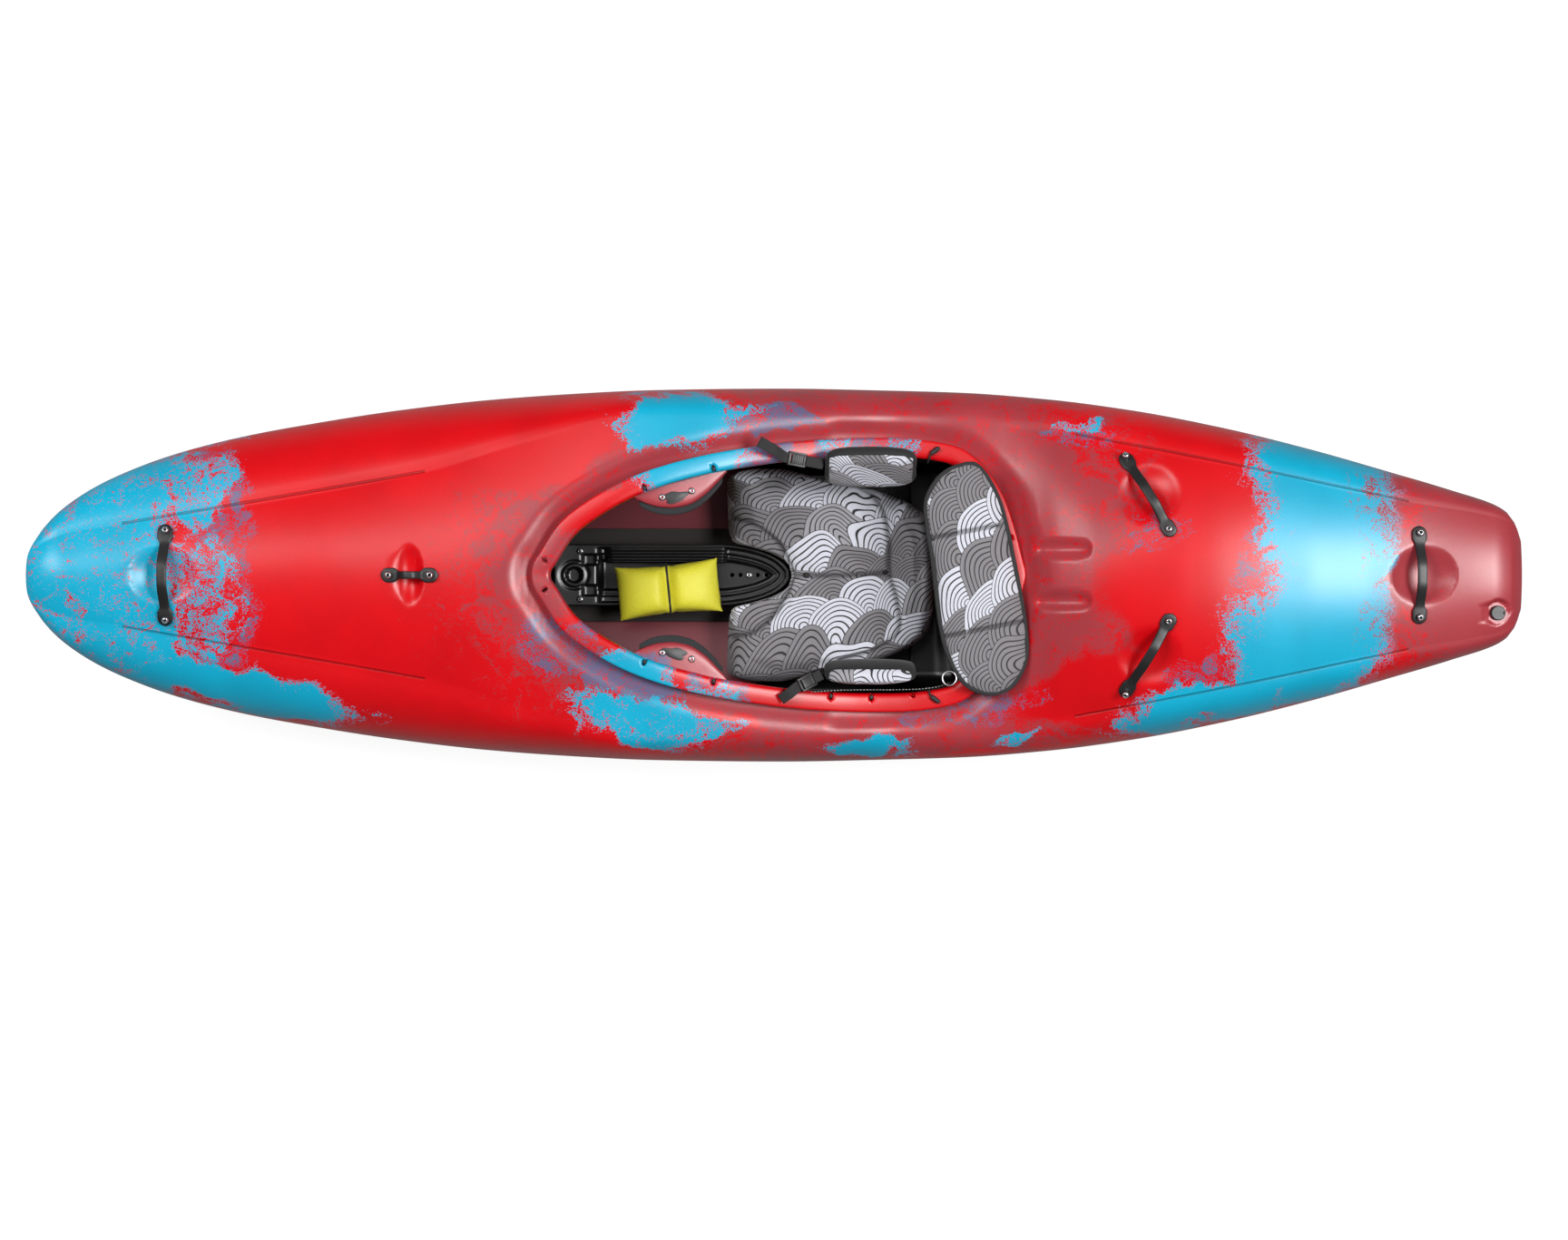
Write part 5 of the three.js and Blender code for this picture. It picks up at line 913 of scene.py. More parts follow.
# A flap of the cushion reaches over the beam's end: its front edge, its ends and its underside
flap_front = curve_through([
    (0, 0.312), (0.1, 0.296), (0.19, 0.23), (0.26, 0.125), (0.31, 0.03), (0.4, 0.004), (1, 0),
])
FLAP_HALF_SHARE = 0.345
FLAP_FOOT_Z = 0.0875
FLAP_ROOT = 0.03
cushion_rear = curve_through([
    (0, 1), (0.3, 1), (0.5, 0.98), (0.66, 0.9), (0.8, 0.72), (0.88, 0.5), (0.95, 0.38), (1, 0.28),
])
cushion_crown = curve_through([
    (0, 0.5), (0.1, 0.6), (0.25, 0.58), (0.45, 0.5), (0.62, 0.52), (0.78, 0.68), (0.9, 0.9), (1, 1),
])
CUSHION_ROWS = 90
CUSHION_COLUMNS = 60
BUTTON_FOLDS = 7
cushion_buttons = [
    (CUSHION_FRONT_X + along * CUSHION_LENGTH, across * CUSHION_HALF_WIDTH)
    for along, across in ((0.386, 0), (0.766, 0.03))
]


def cushion_top(x, y):
    """Height of the seat's upper side, with its dimples and the folds that run into them."""
    along = (x - CUSHION_FRONT_X) / CUSHION_LENGTH
    across = np.abs(y) / CUSHION_HALF_WIDTH
    rise = CUSHION_CREST_Z - CUSHION_FOOT_Z
    z = CUSHION_FOOT_Z + cushion_crown(along) * rise + 0.16 * across**2 * rise
    for k, (bx, by) in enumerate(cushion_buttons):
        away = np.hypot(x - bx, y - by)
        turn = np.arctan2(y - by, x - bx)
        z -= BUTTON_DIMPLE * np.exp(-((away / BUTTON_SPREAD) ** 2))
        fold = np.sin(BUTTON_FOLDS * turn + k) * np.exp(-away / (3 * BUTTON_SPREAD))
        z -= FOLD_DEPTH * np.clip(fold * away / BUTTON_SPREAD, 0, 1)
    leg = np.exp(-(((across - 0.5) / 0.26) ** 2)) * smooth((0.72 - along) / 0.3)
    edge_fold = np.sin(x / 0.017 + 2 * np.sin(y / 0.03)) * smooth((across - 0.66) / 0.2)
    return z - LEG_HOLLOW * leg + (0.0018 + 0.0022 * smooth((0.4 - along) / 0.2)) * edge_fold


def cushion_form():
    rings = []
    for v in np.sin(np.linspace(-math.pi / 2, math.pi / 2, CUSHION_ROWS)):
        y = v * CUSHION_HALF_WIDTH
        front = CUSHION_FRONT_X + cushion_front(abs(v)) * CUSHION_LENGTH
        rear = CUSHION_FRONT_X + cushion_rear(abs(v)) * CUSHION_LENGTH
        side = math.sqrt(max(0, 1 - max(0, (abs(v) - 0.9) / 0.115) ** 2))
        u = (1 - np.cos(np.linspace(0, math.pi, CUSHION_COLUMNS))) / 2
        x = front + u * (rear - front)
        edge = np.clip(np.minimum(u, 1 - u) / 0.1, 0, 1)
        fill = (0.35 + 0.65 * np.sqrt(1 - (1 - edge) ** 2)) * (0.25 + 0.75 * side)
        top = CUSHION_FOOT_Z + fill * (cushion_top(x, np.full_like(x, y)) - CUSHION_FOOT_Z)
        under = front + np.array([0.96, 0.6, 0.3, 0.04]) * (rear - front)
        rings.append([(px, y, pz) for px, pz in zip(x, top)] + [(px, y, CUSHION_FOOT_Z) for px in under])
    bm = tube_form(rings)
    rings = []
    for v in np.linspace(-FLAP_HALF_SHARE, FLAP_HALF_SHARE, CUSHION_COLUMNS):
        y = v * CUSHION_HALF_WIDTH
        front = CUSHION_FRONT_X + flap_front(abs(v)) * CUSHION_LENGTH
        root = CUSHION_FRONT_X + cushion_front(abs(v)) * CUSHION_LENGTH + FLAP_ROOT
        x = np.linspace(front, root, 30)
        edge = np.clip((x - front) / 0.012, 0, 1)
        top = FLAP_FOOT_Z + (0.2 + 0.8 * np.sqrt(1 - (1 - edge) ** 2)) * (
            cushion_top(x, np.full_like(x, y)) - 0.003 - FLAP_FOOT_Z)
        rings.append([(px, y, pz) for px, pz in zip(x, top)]
                     + [(root, y, FLAP_FOOT_Z), (front, y, FLAP_FOOT_Z)])
    flap = tube_form(rings)
    joined = bpy.data.meshes.new("flap")
    flap.to_mesh(joined)
    bm.from_mesh(joined)
    return bm


# Backband outline: place along its span from starboard to port, then its front and rear edges
band_shares = [
    (-0.499, -0.106, 0), (-0.474, -0.312, 0.087), (-0.421, -0.48, 0.187), (-0.325, -0.6, 0.312),
    (-0.198, -0.575, 0.406), (-0.086, -0.525, 0.469), (0.054, -0.48, 0.544), (0.182, -0.437, 0.6),
    (0.283, -0.381, 0.625), (0.357, -0.306, 0.606), (0.421, -0.212, 0.537), (0.469, -0.094, 0.437),
    (0.499, 0.1, 0.269),
]
BAND_ROWS = 110
BAND_COLUMNS = 32
BINDING_WIDTH = 0.008
BINDING_THICKNESS = 0.0045


def band_z(x):
    return BAND_FRONT_Z - BAND_FALL * (x - BAND_CENTRE[0] + BAND_WIDTH / 2) / BAND_WIDTH


band_rows = evenly(band_shares, BAND_ROWS, False)
band_outline = [(BAND_CENTRE[0] + edge * BAND_WIDTH, BAND_CENTRE[1] - along * BAND_SPAN)
                for rows, column in ((band_rows, 1), (band_rows[::-1], 2))
                for along, edge in rows[:, [0, column]]]
band_outline = np.array(band_outline + band_outline[:1])


def backband_form():
    rings = []
    turn = np.linspace(0, 2 * math.pi, 2 * BAND_COLUMNS, endpoint=False)
    for along, front, aft in band_rows:
        y = BAND_CENTRE[1] - along * BAND_SPAN
        share = 0.5 - 0.5 * np.cos(turn)
        x = BAND_CENTRE[0] + (front + share * (aft - front)) * BAND_WIDTH
        away = distance_to_path(np.stack([x, np.full_like(x, y)], axis=1), band_outline)
        puff = np.sqrt(smooth((away - BINDING_WIDTH * 0.6) / 0.03))
        thick = BINDING_THICKNESS + (BAND_PAD_THICKNESS - BINDING_THICKNESS) * puff
        foot = band_z(x) + EDGE_GAP + (1 - smooth(away / 0.02)) * 0.003
        upper = turn < math.pi
        z = np.where(upper, foot + thick, foot)
        rings.append(np.stack([x, np.full_like(x, y), z], axis=1))
    return tube_form(rings)


# Hip pads: how their section shrinks towards their ends
pad_size_shares = [
    (0, 0.5), (0.02, 0.68), (0.06, 0.82), (0.14, 0.94), (0.3, 1), (0.66, 1), (0.85, 0.93), (0.94, 0.8),
    (0.98, 0.64), (1, 0.46),
]
starboard_pad_shape = [
    (0.04, 0), (0.3, -0.14), (0.7, -0.14), (0.96, 0), (1, 0.35), (0.97, 0.85), (0.85, 1), (0.15, 1),
    (0.03, 0.85), (0, 0.35),
]
port_pad_shape = [
    (0.05, 0), (0.9, 0.02), (1, 0.08), (1, 0.64), (1.3, 0.77), (1.6, 0.93), (1.45, 1), (0.75, 0.99),
    (0.3, 0.8), (-0.1, 0.5), (-0.12, 0.2),
]
pad_along = np.array([math.cos(PAD_LEAN), math.sin(PAD_LEAN)])
pad_into = np.array([math.sin(PAD_LEAN), -math.cos(PAD_LEAN)])
wing_edge = np.array([WING_INNER_Y, WING_TOP_Z])


def hip_pad_form(section):
    section = np.array(section)
    middle = section.mean(axis=0)
    smooth_section = evenly(section, 56, True)
    rings = []
    for along, size in evenly(pad_size_shares, 40, False):
        yz = middle + (smooth_section - middle) * size
        rings.append([(HIP_PAD_FRONT_X + along * HIP_PAD_LENGTH, y, z) for y, z in yz])
    return tube_form(rings)


def starboard_pad_section():
    return [
        wing_edge + pad_along * (u - PAD_OVERLAP_SHARE) * HIP_PAD_HEIGHT
        + pad_into * ((v - 1) * HIP_PAD_THICKNESS - EDGE_GAP)
        for u, v in starboard_pad_shape
    ]


def port_pad_section():
    return [
        (-(WING_INNER_Y - EDGE_GAP + (v - 1) * HIP_PAD_THICKNESS), WING_TOP_Z + (u - 0.62) * HIP_PAD_HEIGHT)
        for v, u in port_pad_shape
    ]


pouch_ends = [float(belly_z(x, BEAM_HALF_WIDTH / chine_half(x))) for x in (
    POUCH_CENTRE[0] - POUCH_LENGTH / 2, POUCH_CENTRE[0] + POUCH_LENGTH / 2)]
POUCH_FOOT_Z = float(belly_z(POUCH_CENTRE[0], BEAM_HALF_WIDTH / chine_half(POUCH_CENTRE[0]))) + WALL + (
    BEAM_FOOT_ABOVE_FLOOR + BEAM_HEIGHT + 0.0025)
POUCH_PLACE = Matrix.Translation((*POUCH_CENTRE, POUCH_FOOT_Z)) @ Matrix.Rotation(
    POUCH_TURN, 4, "Z") @ Matrix.Rotation(math.atan2(pouch_ends[0] - pouch_ends[1], POUCH_LENGTH), 4, "Y")


def pouch_spot(x, y, z):
    """A place on the pouch, as it lies turned and tilted on the beam."""
    return tuple(POUCH_PLACE @ Vector((x, y, z)))


POUCH_ROWS = 48
POUCH_ROUND = 40


def pouch_form():
    """A small pillow with pointed corners and a waist where its elastic cord pulls it in."""
    rings = []
    turn = np.linspace(0, 2 * math.pi, POUCH_ROUND, endpoint=False)
    for along in np.sin(np.linspace(-math.pi / 2, math.pi / 2, POUCH_ROWS)):
        waist = math.exp(-((along / 0.12) ** 2))
        half = POUCH_WIDTH / 2 * (0.9 + 0.1 * along**2) * (1 - 0.07 * waist)
        full = math.sqrt(max(0.0, 1 - abs(along) ** 3.2))
        high = POUCH_HEIGHT * (0.93 * (1 - 0.45 * waist) * full + 0.07)
        across = bent(np.cos(turn), 0.62)
        lift = bent(np.sin(turn), 0.9)
        y = half * across
        seam_z = POUCH_HEIGHT * 0.2
        z = np.where(lift > 0, seam_z + (high - seam_z) * lift, seam_z + seam_z * lift)
        x = np.full_like(y, along * POUCH_LENGTH / 2)
        x += np.sign(along) * 0.004 * np.abs(across) ** 4 * (abs(along) > 0.8)
        rings.append([pouch_spot(*spot) for spot in zip(x, y, z)])
    return tube_form(rings)


def strap_form(path, across, steps=24):
    """Flat webbing along a smooth curve, its width laid along a direction."""
    path = evenly(path, steps, False)
    return tube_form(swept(path, across, [WEBBING_WIDTH] * steps, [WEBBING_THICKNESS] * steps, 16, 8))


CORD_SIDES = 10


def cord_form(path, diameter, steps, closed=False):
    """A round cord along a smooth curve."""
    path = evenly(path, steps, closed)
    along = np.gradient(np.vstack([path[-1:], path, path[:1]]), axis=0)[1:-1] if closed else np.gradient(
        path, axis=0)
    turn = np.linspace(0, 2 * math.pi, CORD_SIDES, endpoint=False)
    rings = []
    for spot, ahead in zip(path, along):
        side = np.cross(ahead, (0.12, 0.05, 1.0))
        side /= np.linalg.norm(side)
        up = np.cross(side, ahead)
        up /= np.linalg.norm(up)
        rings.append(spot + (np.outer(np.cos(turn), side) + np.outer(np.sin(turn), up)) * diameter / 2)
    return tube_form(rings + rings[:1] if closed else rings, capped=not closed)


def stitch_form(path, pitch, length, width):
    """A row of short stitches along a path, each a slim bead of thread."""
    path = np.asarray(path, float)
    reach = np.concatenate([[0], np.cumsum(np.linalg.norm(np.diff(path, axis=0), axis=1))])
    bm = bmesh.new()
    for place in np.arange(pitch / 2, reach[-1], pitch):
        spot = Vector([np.interp(place, reach, path[:, k]) for k in range(3)])
        ahead = Vector([np.interp(place + length / 2, reach, path[:, k]) for k in range(3)]) - spot
        turn = Vector((1, 0, 0)).rotation_difference(ahead.normalized()).to_matrix().to_4x4()
        shape = Matrix.Diagonal((length / 2, width / 2, width / 2, 1))
        bmesh.ops.create_icosphere(bm, subdivisions=1, radius=1,
                                   matrix=Matrix.Translation(spot) @ turn @ shape)
    return bm


def add_hole(cutter_bm, radius, depth, spot):
    """An upright round hole for a cutter to take out."""
    bmesh.ops.create_cone(cutter_bm, segments=20, radius1=radius, radius2=radius, depth=depth,
                          cap_ends=True, matrix=Matrix.Translation(spot))


def cut_out(made, cutter_bm):
    """Takes a cutter's shapes out of a piece."""
    cutter = add_object(made.name + "_cutter", cutter_bm, made.data.materials[0])
    hole = made.modifiers.new("holes", "BOOLEAN")
    hole.object = cutter
    hole.solver = "EXACT"
    apply_modifiers(made)
    bpy.data.objects.remove(cutter)


# Materials

def srgb(code):
    """A colour written as sRGB hex, turned to linear."""
    parts = [int(code[i:i + 2], 16) / 255 for i in (0, 2, 4)]
    return tuple(c / 12.92 if c <= 0.04045 else ((c + 0.055) / 1.055) ** 2.4 for c in parts) + (1.0,)


def set_inputs(node, inputs):
    """A node's inputs set to values, or linked to a socket or to another node's first output."""
    for key, value in inputs.items():
        if isinstance(value, bpy.types.Node):
            value = value.outputs[0]
        if isinstance(value, bpy.types.NodeSocket):
            node.id_data.links.new(value, node.inputs[key])
        else:
            node.inputs[key].default_value = value


def add_node(tree, kind, inputs=None, **settings):
    """A node with its settings and its inputs."""
    node = tree.nodes.new(kind)
    for name, value in settings.items():
        setattr(node, name, value)
    set_inputs(node, inputs or {})
    return node


def new_material(name, **values):
    """A material with its shader's own sockets set: itself, the function that adds its nodes, its
    shader and the object coordinates that its patterns read."""
    material = bpy.data.materials.new(name)
    material.use_nodes = True
    tree = material.node_tree
    shader = tree.nodes["Principled BSDF"]
    for key, value in values.items():
        shader.inputs[key.replace("_", " ").title().replace("Ior", "IOR")].default_value = value
    add = functools.partial(add_node, tree)
    return material, add, shader, add("ShaderNodeTexCoord").outputs["Object"]


RED = srgb("DC000E")
CYAN = srgb("0CAFD4")
MAROON = srgb("AB3A42")
PURPLE = srgb("6B6488")
# Painted shade: a darker maroon for the hull's inside, which is the same polyethylene in shade
MAROON_INSIDE_PAINTED_SHADE = srgb("7C2C36")

# Marbling of the hull in the order that the colours cover each other. Each patch has its centre, its
# radii, its turn about +Z in degrees and how broken up it is: 0 is solid, 1 is only flecks
hull_layers = [
    (MAROON, [
        ((-0.03, 0.0, 0.3), (0.52, 0.3, 0.5), 0, 0),
        ((0.2, 0.0, 0.22), (0.48, 0.42, 0.42), 0, 0.1),
        ((0.2, 0.0, 0.08), (0.7, 0.5, 0.12), 0, 0.5),
    ]),
    (RED, [
        ((0.77, -0.02, 0.35), (0.17, 0.12, 0.2), 0, 0),
        ((0.56, -0.215, 0.3), (0.18, 0.06, 0.12), 14, 0),
        ((0.84, 0.205, 0.3), (0.13, 0.055, 0.12), -16, 0),
        ((-0.11, -0.275, 0.32), (0.06, 0.024, 0.08), -4, 0),
        ((0.33, -0.32, 0.19), (0.13, 0.06, 0.035), 0, 0),
        ((-0.43, 0.23, 0.33), (0.12, 0.06, 0.12), 20, 0.2),
        ((0.09, 0.0, 0.0), (0.33, 0.26, 0.05), 0, 0),
    ]),
    (PURPLE, [
        ((-0.267, -0.18, 0.34), (0.12, 0.055, 0.14), -12, 0.15),
        ((-0.04, 0.284, 0.32), (0.11, 0.034, 0.1), 0, 0.3),
        ((-0.42, -0.127, 0.36), (0.05, 0.06, 0.1), 0, 0.6),
        ((0.36, -0.25, 0.27), (0.13, 0.034, 0.08), 12, 0.75),
        ((0.69, 0.085, 0.36), (0.06, 0.035, 0.08), 0, 0.9),
        ((0.93, 0.02, 0.36), (0.09, 0.09, 0.1), 0, 0.55),
        ((0.83, -0.2, 0.32), (0.11, 0.06, 0.1), 14, 0.5),
        ((0.56, 0.27, 0.3), (0.06, 0.02, 0.06), -8, 0.6),
        ((-1.06, 0.05, 0.39), (0.085, 0.22, 0.12), 8, 0.5),
        ((-0.95, -0.15, 0.14), (0.13, 0.2, 0.1), 0, 0.4),
        ((-0.24, 0.0, 0.0), (0.075, 0.34, 0.1), 8, 0.4),
        ((0.88, 0.0, 0.13), (0.18, 0.3, 0.07), 0, 0.3),
    ]),
    (CYAN, [
        ((-1.3, 0.0, 0.36), (0.205, 0.5, 0.4), 0, 0.05),
        ((-1.02, -0.205, 0.33), (0.25, 0.045, 0.09), -17, 0),
        ((-1.11, 0.15, 0.36), (0.1, 0.06, 0.1), 25, 0.3),
        ((-1.045, -0.03, 0.4), (0.055, 0.11, 0.1), 0, 0.6),
        ((-0.205, 0.292, 0.31), (0.105, 0.055, 0.14), 9, 0),
        ((-0.15, 0.305, 0.31), (0.15, 0.02, 0.06), 0, 0.4),
        ((-0.262, -0.275, 0.32), (0.13, 0.046, 0.1), -12, 0.05),
        ((-0.14, -0.285, 0.3), (0.05, 0.02, 0.06), 0, 0.35),
        ((0.163, -0.318, 0.22), (0.1, 0.02, 0.05), -3, 0),
        ((0.461, -0.305, 0.22), (0.05, 0.012, 0.04), 4, 0.15),
        ((0.56, 0.288, 0.28), (0.04, 0.008, 0.03), -10, 0.5),
        ((1.02, 0.13, 0.34), (0.14, 0.36, 0.16), 0, 0),
        ((0.985, -0.11, 0.34), (0.18, 0.13, 0.16), 40, 0),
        ((0.8, -0.24, 0.29), (0.19, 0.046, 0.08), 17, 0),
        ((-0.37, 0.09, 0.01), (0.19, 0.055, 0.07), -48, 0.2),
        ((-0.29, -0.2, 0.02), (0.035, 0.06, 0.04), 10, 0.4),
        ((-1.19, 0.0, 0.15), (0.22, 0.5, 0.18), 0, 0.25),
        ((0.98, 0.06, 0.16), (0.17, 0.4, 0.09), 0, 0.25),
        ((0.2, -0.3, 0.06), (0.12, 0.03, 0.02), 0, 0.4),
    ]),
    (MAROON, [
        ((1.48, 0.0, 0.4), (0.345, 1.4, 0.26), 6, 0),
        ((1.46, -0.15, 0.06), (0.385, 0.5, 0.18), -14, 0),
        # Painted shade: maroon in the stern handle's pocket, for the shade in its hollow
        ((1.178, 0.0, 0.35), (0.062, 0.062, 0.1), 0, 0),
    ]),
]

# Marbling of the coaming's lip
rim_layers = [
    (MAROON, [
        ((-0.44, 0.0, 0.36), (0.08, 0.09, 0.1), 0, 0.2),
        ((-0.3, 0.195, 0.36), (0.07, 0.03, 0.08), 20, 0.3),
        ((-0.37, -0.15, 0.36), (0.07, 0.04, 0.08), -25, 0.2),
        ((0.02, 0.235, 0.32), (0.05, 0.06, 0.08), 0, 0.5),
    ]),
    (PURPLE, [
        ((0.16, 0.245, 0.27), (0.095, 0.06, 0.06), 0, 0.35),
        ((-0.045, 0.235, 0.32), (0.055, 0.06, 0.08), 0, 0.2),
        ((-0.12, -0.235, 0.32), (0.05, 0.06, 0.08), 0, 0.55),
        ((-0.38, -0.14, 0.36), (0.04, 0.04, 0.08), 0, 0.6),
    ]),
    (CYAN, [
        ((-0.175, 0.215, 0.34), (0.104, 0.07, 0.08), 12, 0),
        ((0.11, 0.25, 0.27), (0.03, 0.03, 0.05), 0, 0.5),
        ((0.23, 0.25, 0.27), (0.03, 0.03, 0.05), 0, 0.6),
        ((-0.262, -0.2, 0.35), (0.09, 0.06, 0.08), -20, 0),
        ((-0.13, -0.24, 0.32), (0.035, 0.04, 0.05), 0, 0.45),
    ]),
]

# Marbling inside: painted shade, the same polyethylene darkened to a deep maroon for the hull's inner skin,
# with a few purple flecks
inside_painted_shade_layers = [
    (MAROON_INSIDE_PAINTED_SHADE, [((0, 0, 0.2), (3, 3, 3), 0, 0)]),
    (PURPLE, [((-0.2, -0.2, 0.1), (0.09, 0.06, 0.1), 0, 0.7)]),
]

# Marbling of the thigh braces
brace_layers = [
    (MAROON, [((-0.19, 0.0, 0.33), (0.5, 0.5, 0.5), 0, 0)]),
    (PURPLE, [((-0.25, -0.18, 0.33), (0.045, 0.03, 0.08), 0, 0.2)]),
    (CYAN, [((-0.18, -0.215, 0.33), (0.07, 0.016, 0.06), -12, 0.2),
            ((-0.18, 0.215, 0.33), (0.07, 0.012, 0.06), 12, 0.2)]),
]

# The marbling's wander and its grain of half-melted powder, in metres
SWIRL_SIZE = 0.1
SWIRL_REACH = 0.055
FLECK_SIZE = 0.034
POWDER_SIZE = 0.0026
RAGGED_SHARE = 0.62
POWDER_SHARE = 0.42
PATCH_EDGE = 0.05


# Creases along the deck: how far out each lies at amidships, its slope and its ends along the hull
CREASE_WIDTH = 0.0032
CREASE_LEVEL = 0.24
# Painted shade: how much the colour darkens along a crease, for the shade in it
CREASE_PAINTED_SHADE = -0.42
creases = [(0.3125, 0.1823, (-1.2, -0.66)), (0.38, -0.209, (0.55, 1.16))]


def crease_depth(add, coords):
    """How deep the mould's creases are at a point, from 0 to 1, on both sides of the deck."""
    spot = add("ShaderNodeSeparateXYZ", {"Vector": coords})
    out = add("ShaderNodeMath", {0: spot.outputs[1]}, operation="ABSOLUTE")
    above = add("ShaderNodeMath", {0: spot.outputs[2], 1: CREASE_LEVEL}, operation="GREATER_THAN")
    depth = None
    for middle, slope, (start, end) in creases:
        line = add("ShaderNodeMath", {0: spot.outputs[0], 1: slope, 2: middle}, operation="MULTIPLY_ADD")
        apart = add("ShaderNodeMath", {0: out, 1: line}, operation="SUBTRACT")
        away = add("ShaderNodeMath", {0: apart}, operation="ABSOLUTE")
        near = add("ShaderNodeMapRange",
                   {"Value": away, "From Min": CREASE_WIDTH / 3, "From Max": CREASE_WIDTH, "To Min": 1,
                    "To Max": 0}, interpolation_type="SMOOTHSTEP")
        reach = add("ShaderNodeMath", {0: spot.outputs[0], 1: (start + end) / 2, 2: (end - start) / 2},
                    operation="COMPARE")
        one = add("ShaderNodeMath", {0: near, 1: reach}, operation="MULTIPLY")
        depth = one if depth is None else add("ShaderNodeMath", {0: depth, 1: one}, operation="MAXIMUM")
    return add("ShaderNodeMath", {0: depth, 1: above}, operation="MULTIPLY")


def marbled_polyethylene(name, layers, creased=False):
    """Rotomoulded polyethylene: powders of several colours melt together, so that patches have ragged edges
    with flecks and fine dots, under a waxy sheen with a faint orange peel. The hull also has the thin
    creases that its mould leaves along the deck, bumped in, with painted shade darkening the colour along
    them."""
    material, add, shader, coords = new_material(name, roughness=0.32, ior=1.51, specular_ior_level=0.34)
    swirl = add("ShaderNodeTexNoise", {"Vector": coords, "Scale": 1 / SWIRL_SIZE, "Detail": 4})
    centred = add("ShaderNodeVectorMath", {0: swirl.outputs["Color"], 1: (0.5, 0.5, 0.5)},
                  operation="SUBTRACT")
    wander = add("ShaderNodeVectorMath", {0: centred, "Scale": 2 * SWIRL_REACH}, operation="SCALE")
    strayed = add("ShaderNodeVectorMath", {0: coords, 1: wander}, operation="ADD")
    flecks = add("ShaderNodeTexNoise",
                 {"Vector": strayed, "Scale": 1 / FLECK_SIZE, "Detail": 6, "Roughness": 0.72,
                  "Distortion": 0.8})
    powder = add("ShaderNodeTexNoise", {"Vector": coords, "Scale": 1 / POWDER_SIZE, "Detail": 1})
    rough_edge = add("ShaderNodeMath", {0: flecks, 1: 2 * RAGGED_SHARE}, operation="MULTIPLY")
    ragged = add("ShaderNodeMath", {0: powder, 1: 2 * POWDER_SHARE, 2: rough_edge},
                 operation="MULTIPLY_ADD")
    edge = 1 + RAGGED_SHARE + POWDER_SHARE

    def spread(patches):
        level = None
        for centre, radii, turn, broken in patches:
            spot = add("ShaderNodeMapping",
                       {"Vector": strayed, "Location": centre, "Scale": radii,
                        "Rotation": (0, 0, math.radians(turn))}, vector_type="TEXTURE")
            away = add("ShaderNodeVectorMath", {0: spot.outputs[0]}, operation="LENGTH")
            near = away.outputs["Value"]
            if broken:
                near = add("ShaderNodeMath", {0: near, 1: 0.82 + 0.36 * broken}, operation="MAXIMUM")
            if level is not None:
                near = add("ShaderNodeMath", {0: level, 1: near}, operation="MINIMUM")
            level = near
        shown = add("ShaderNodeMath", {0: ragged, 1: level}, operation="ADD")
        return add("ShaderNodeMapRange",
                   {"Value": shown, "From Min": edge + PATCH_EDGE, "From Max": edge - PATCH_EDGE})

    colour = RED
    for paint, patches in layers:
        colour = add("ShaderNodeMix", {"Factor": spread(patches), 6: colour, 7: paint},
                     data_type="RGBA").outputs[2]
    cloud = add("ShaderNodeTexNoise", {"Vector": coords, "Scale": 9, "Detail": 2})
    dust = add("ShaderNodeMath", {0: powder, 1: 0.5, 2: cloud}, operation="MULTIPLY_ADD")
    tone = add("ShaderNodeMapRange",
               {"Value": dust, "From Min": 0.45, "From Max": 1.05, "To Min": 0.88, "To Max": 1.1})
    peel = add("ShaderNodeTexNoise", {"Vector": coords, "Scale": 160, "Detail": 2})
    bump = add("ShaderNodeBump", {"Height": peel, "Strength": 0.08, "Distance": 0.001})
    value, normal = tone, bump
    if creased:
        depth = crease_depth(add, coords)
        # Painted shade: the colour is darkened along the creases, besides their bump
        value = add("ShaderNodeMath", {0: depth, 1: CREASE_PAINTED_SHADE, 2: value}, operation="MULTIPLY_ADD")
        normal = add("ShaderNodeBump",
                     {"Height": depth, "Strength": 0.7, "Distance": 0.002, "Normal": normal}, invert=True)
    shaded = add("ShaderNodeHueSaturation", {"Color": colour, "Value": value})
    set_inputs(shader, {"Base Color": shaded, "Normal": normal})
    return material


def plain_finish(name, colour, grain, depth, **values):
    """A moulded or foamed finish: one colour with a fine grain in its tone and surface."""
    material, add, shader, coords = new_material(name, **values)
    mottle = add("ShaderNodeTexNoise", {"Vector": coords, "Scale": 1 / grain, "Detail": 4})
    tone = add("ShaderNodeHueSaturation",
               {"Color": srgb(colour),
                "Value": add("ShaderNodeMapRange",
                             {"Value": mottle, "From Min": 0.3, "From Max": 0.7, "To Min": 0.85,
                              "To Max": 1.15})})
    bump = add("ShaderNodeBump", {"Height": mottle, "Strength": 0.5, "Distance": depth})
    set_inputs(shader, {"Base Color": tone, "Normal": bump})
    return material


# Printed cloth: shells of fine arcs that overlap like fish scales, in three tones
SHELL_RADIUS = 0.068
ARC_PITCH = 0.0085
ARC_WIDTH_SHARE = 0.13
PRINT_WANDER = 0.05
KNIT_LOOP = 0.0016


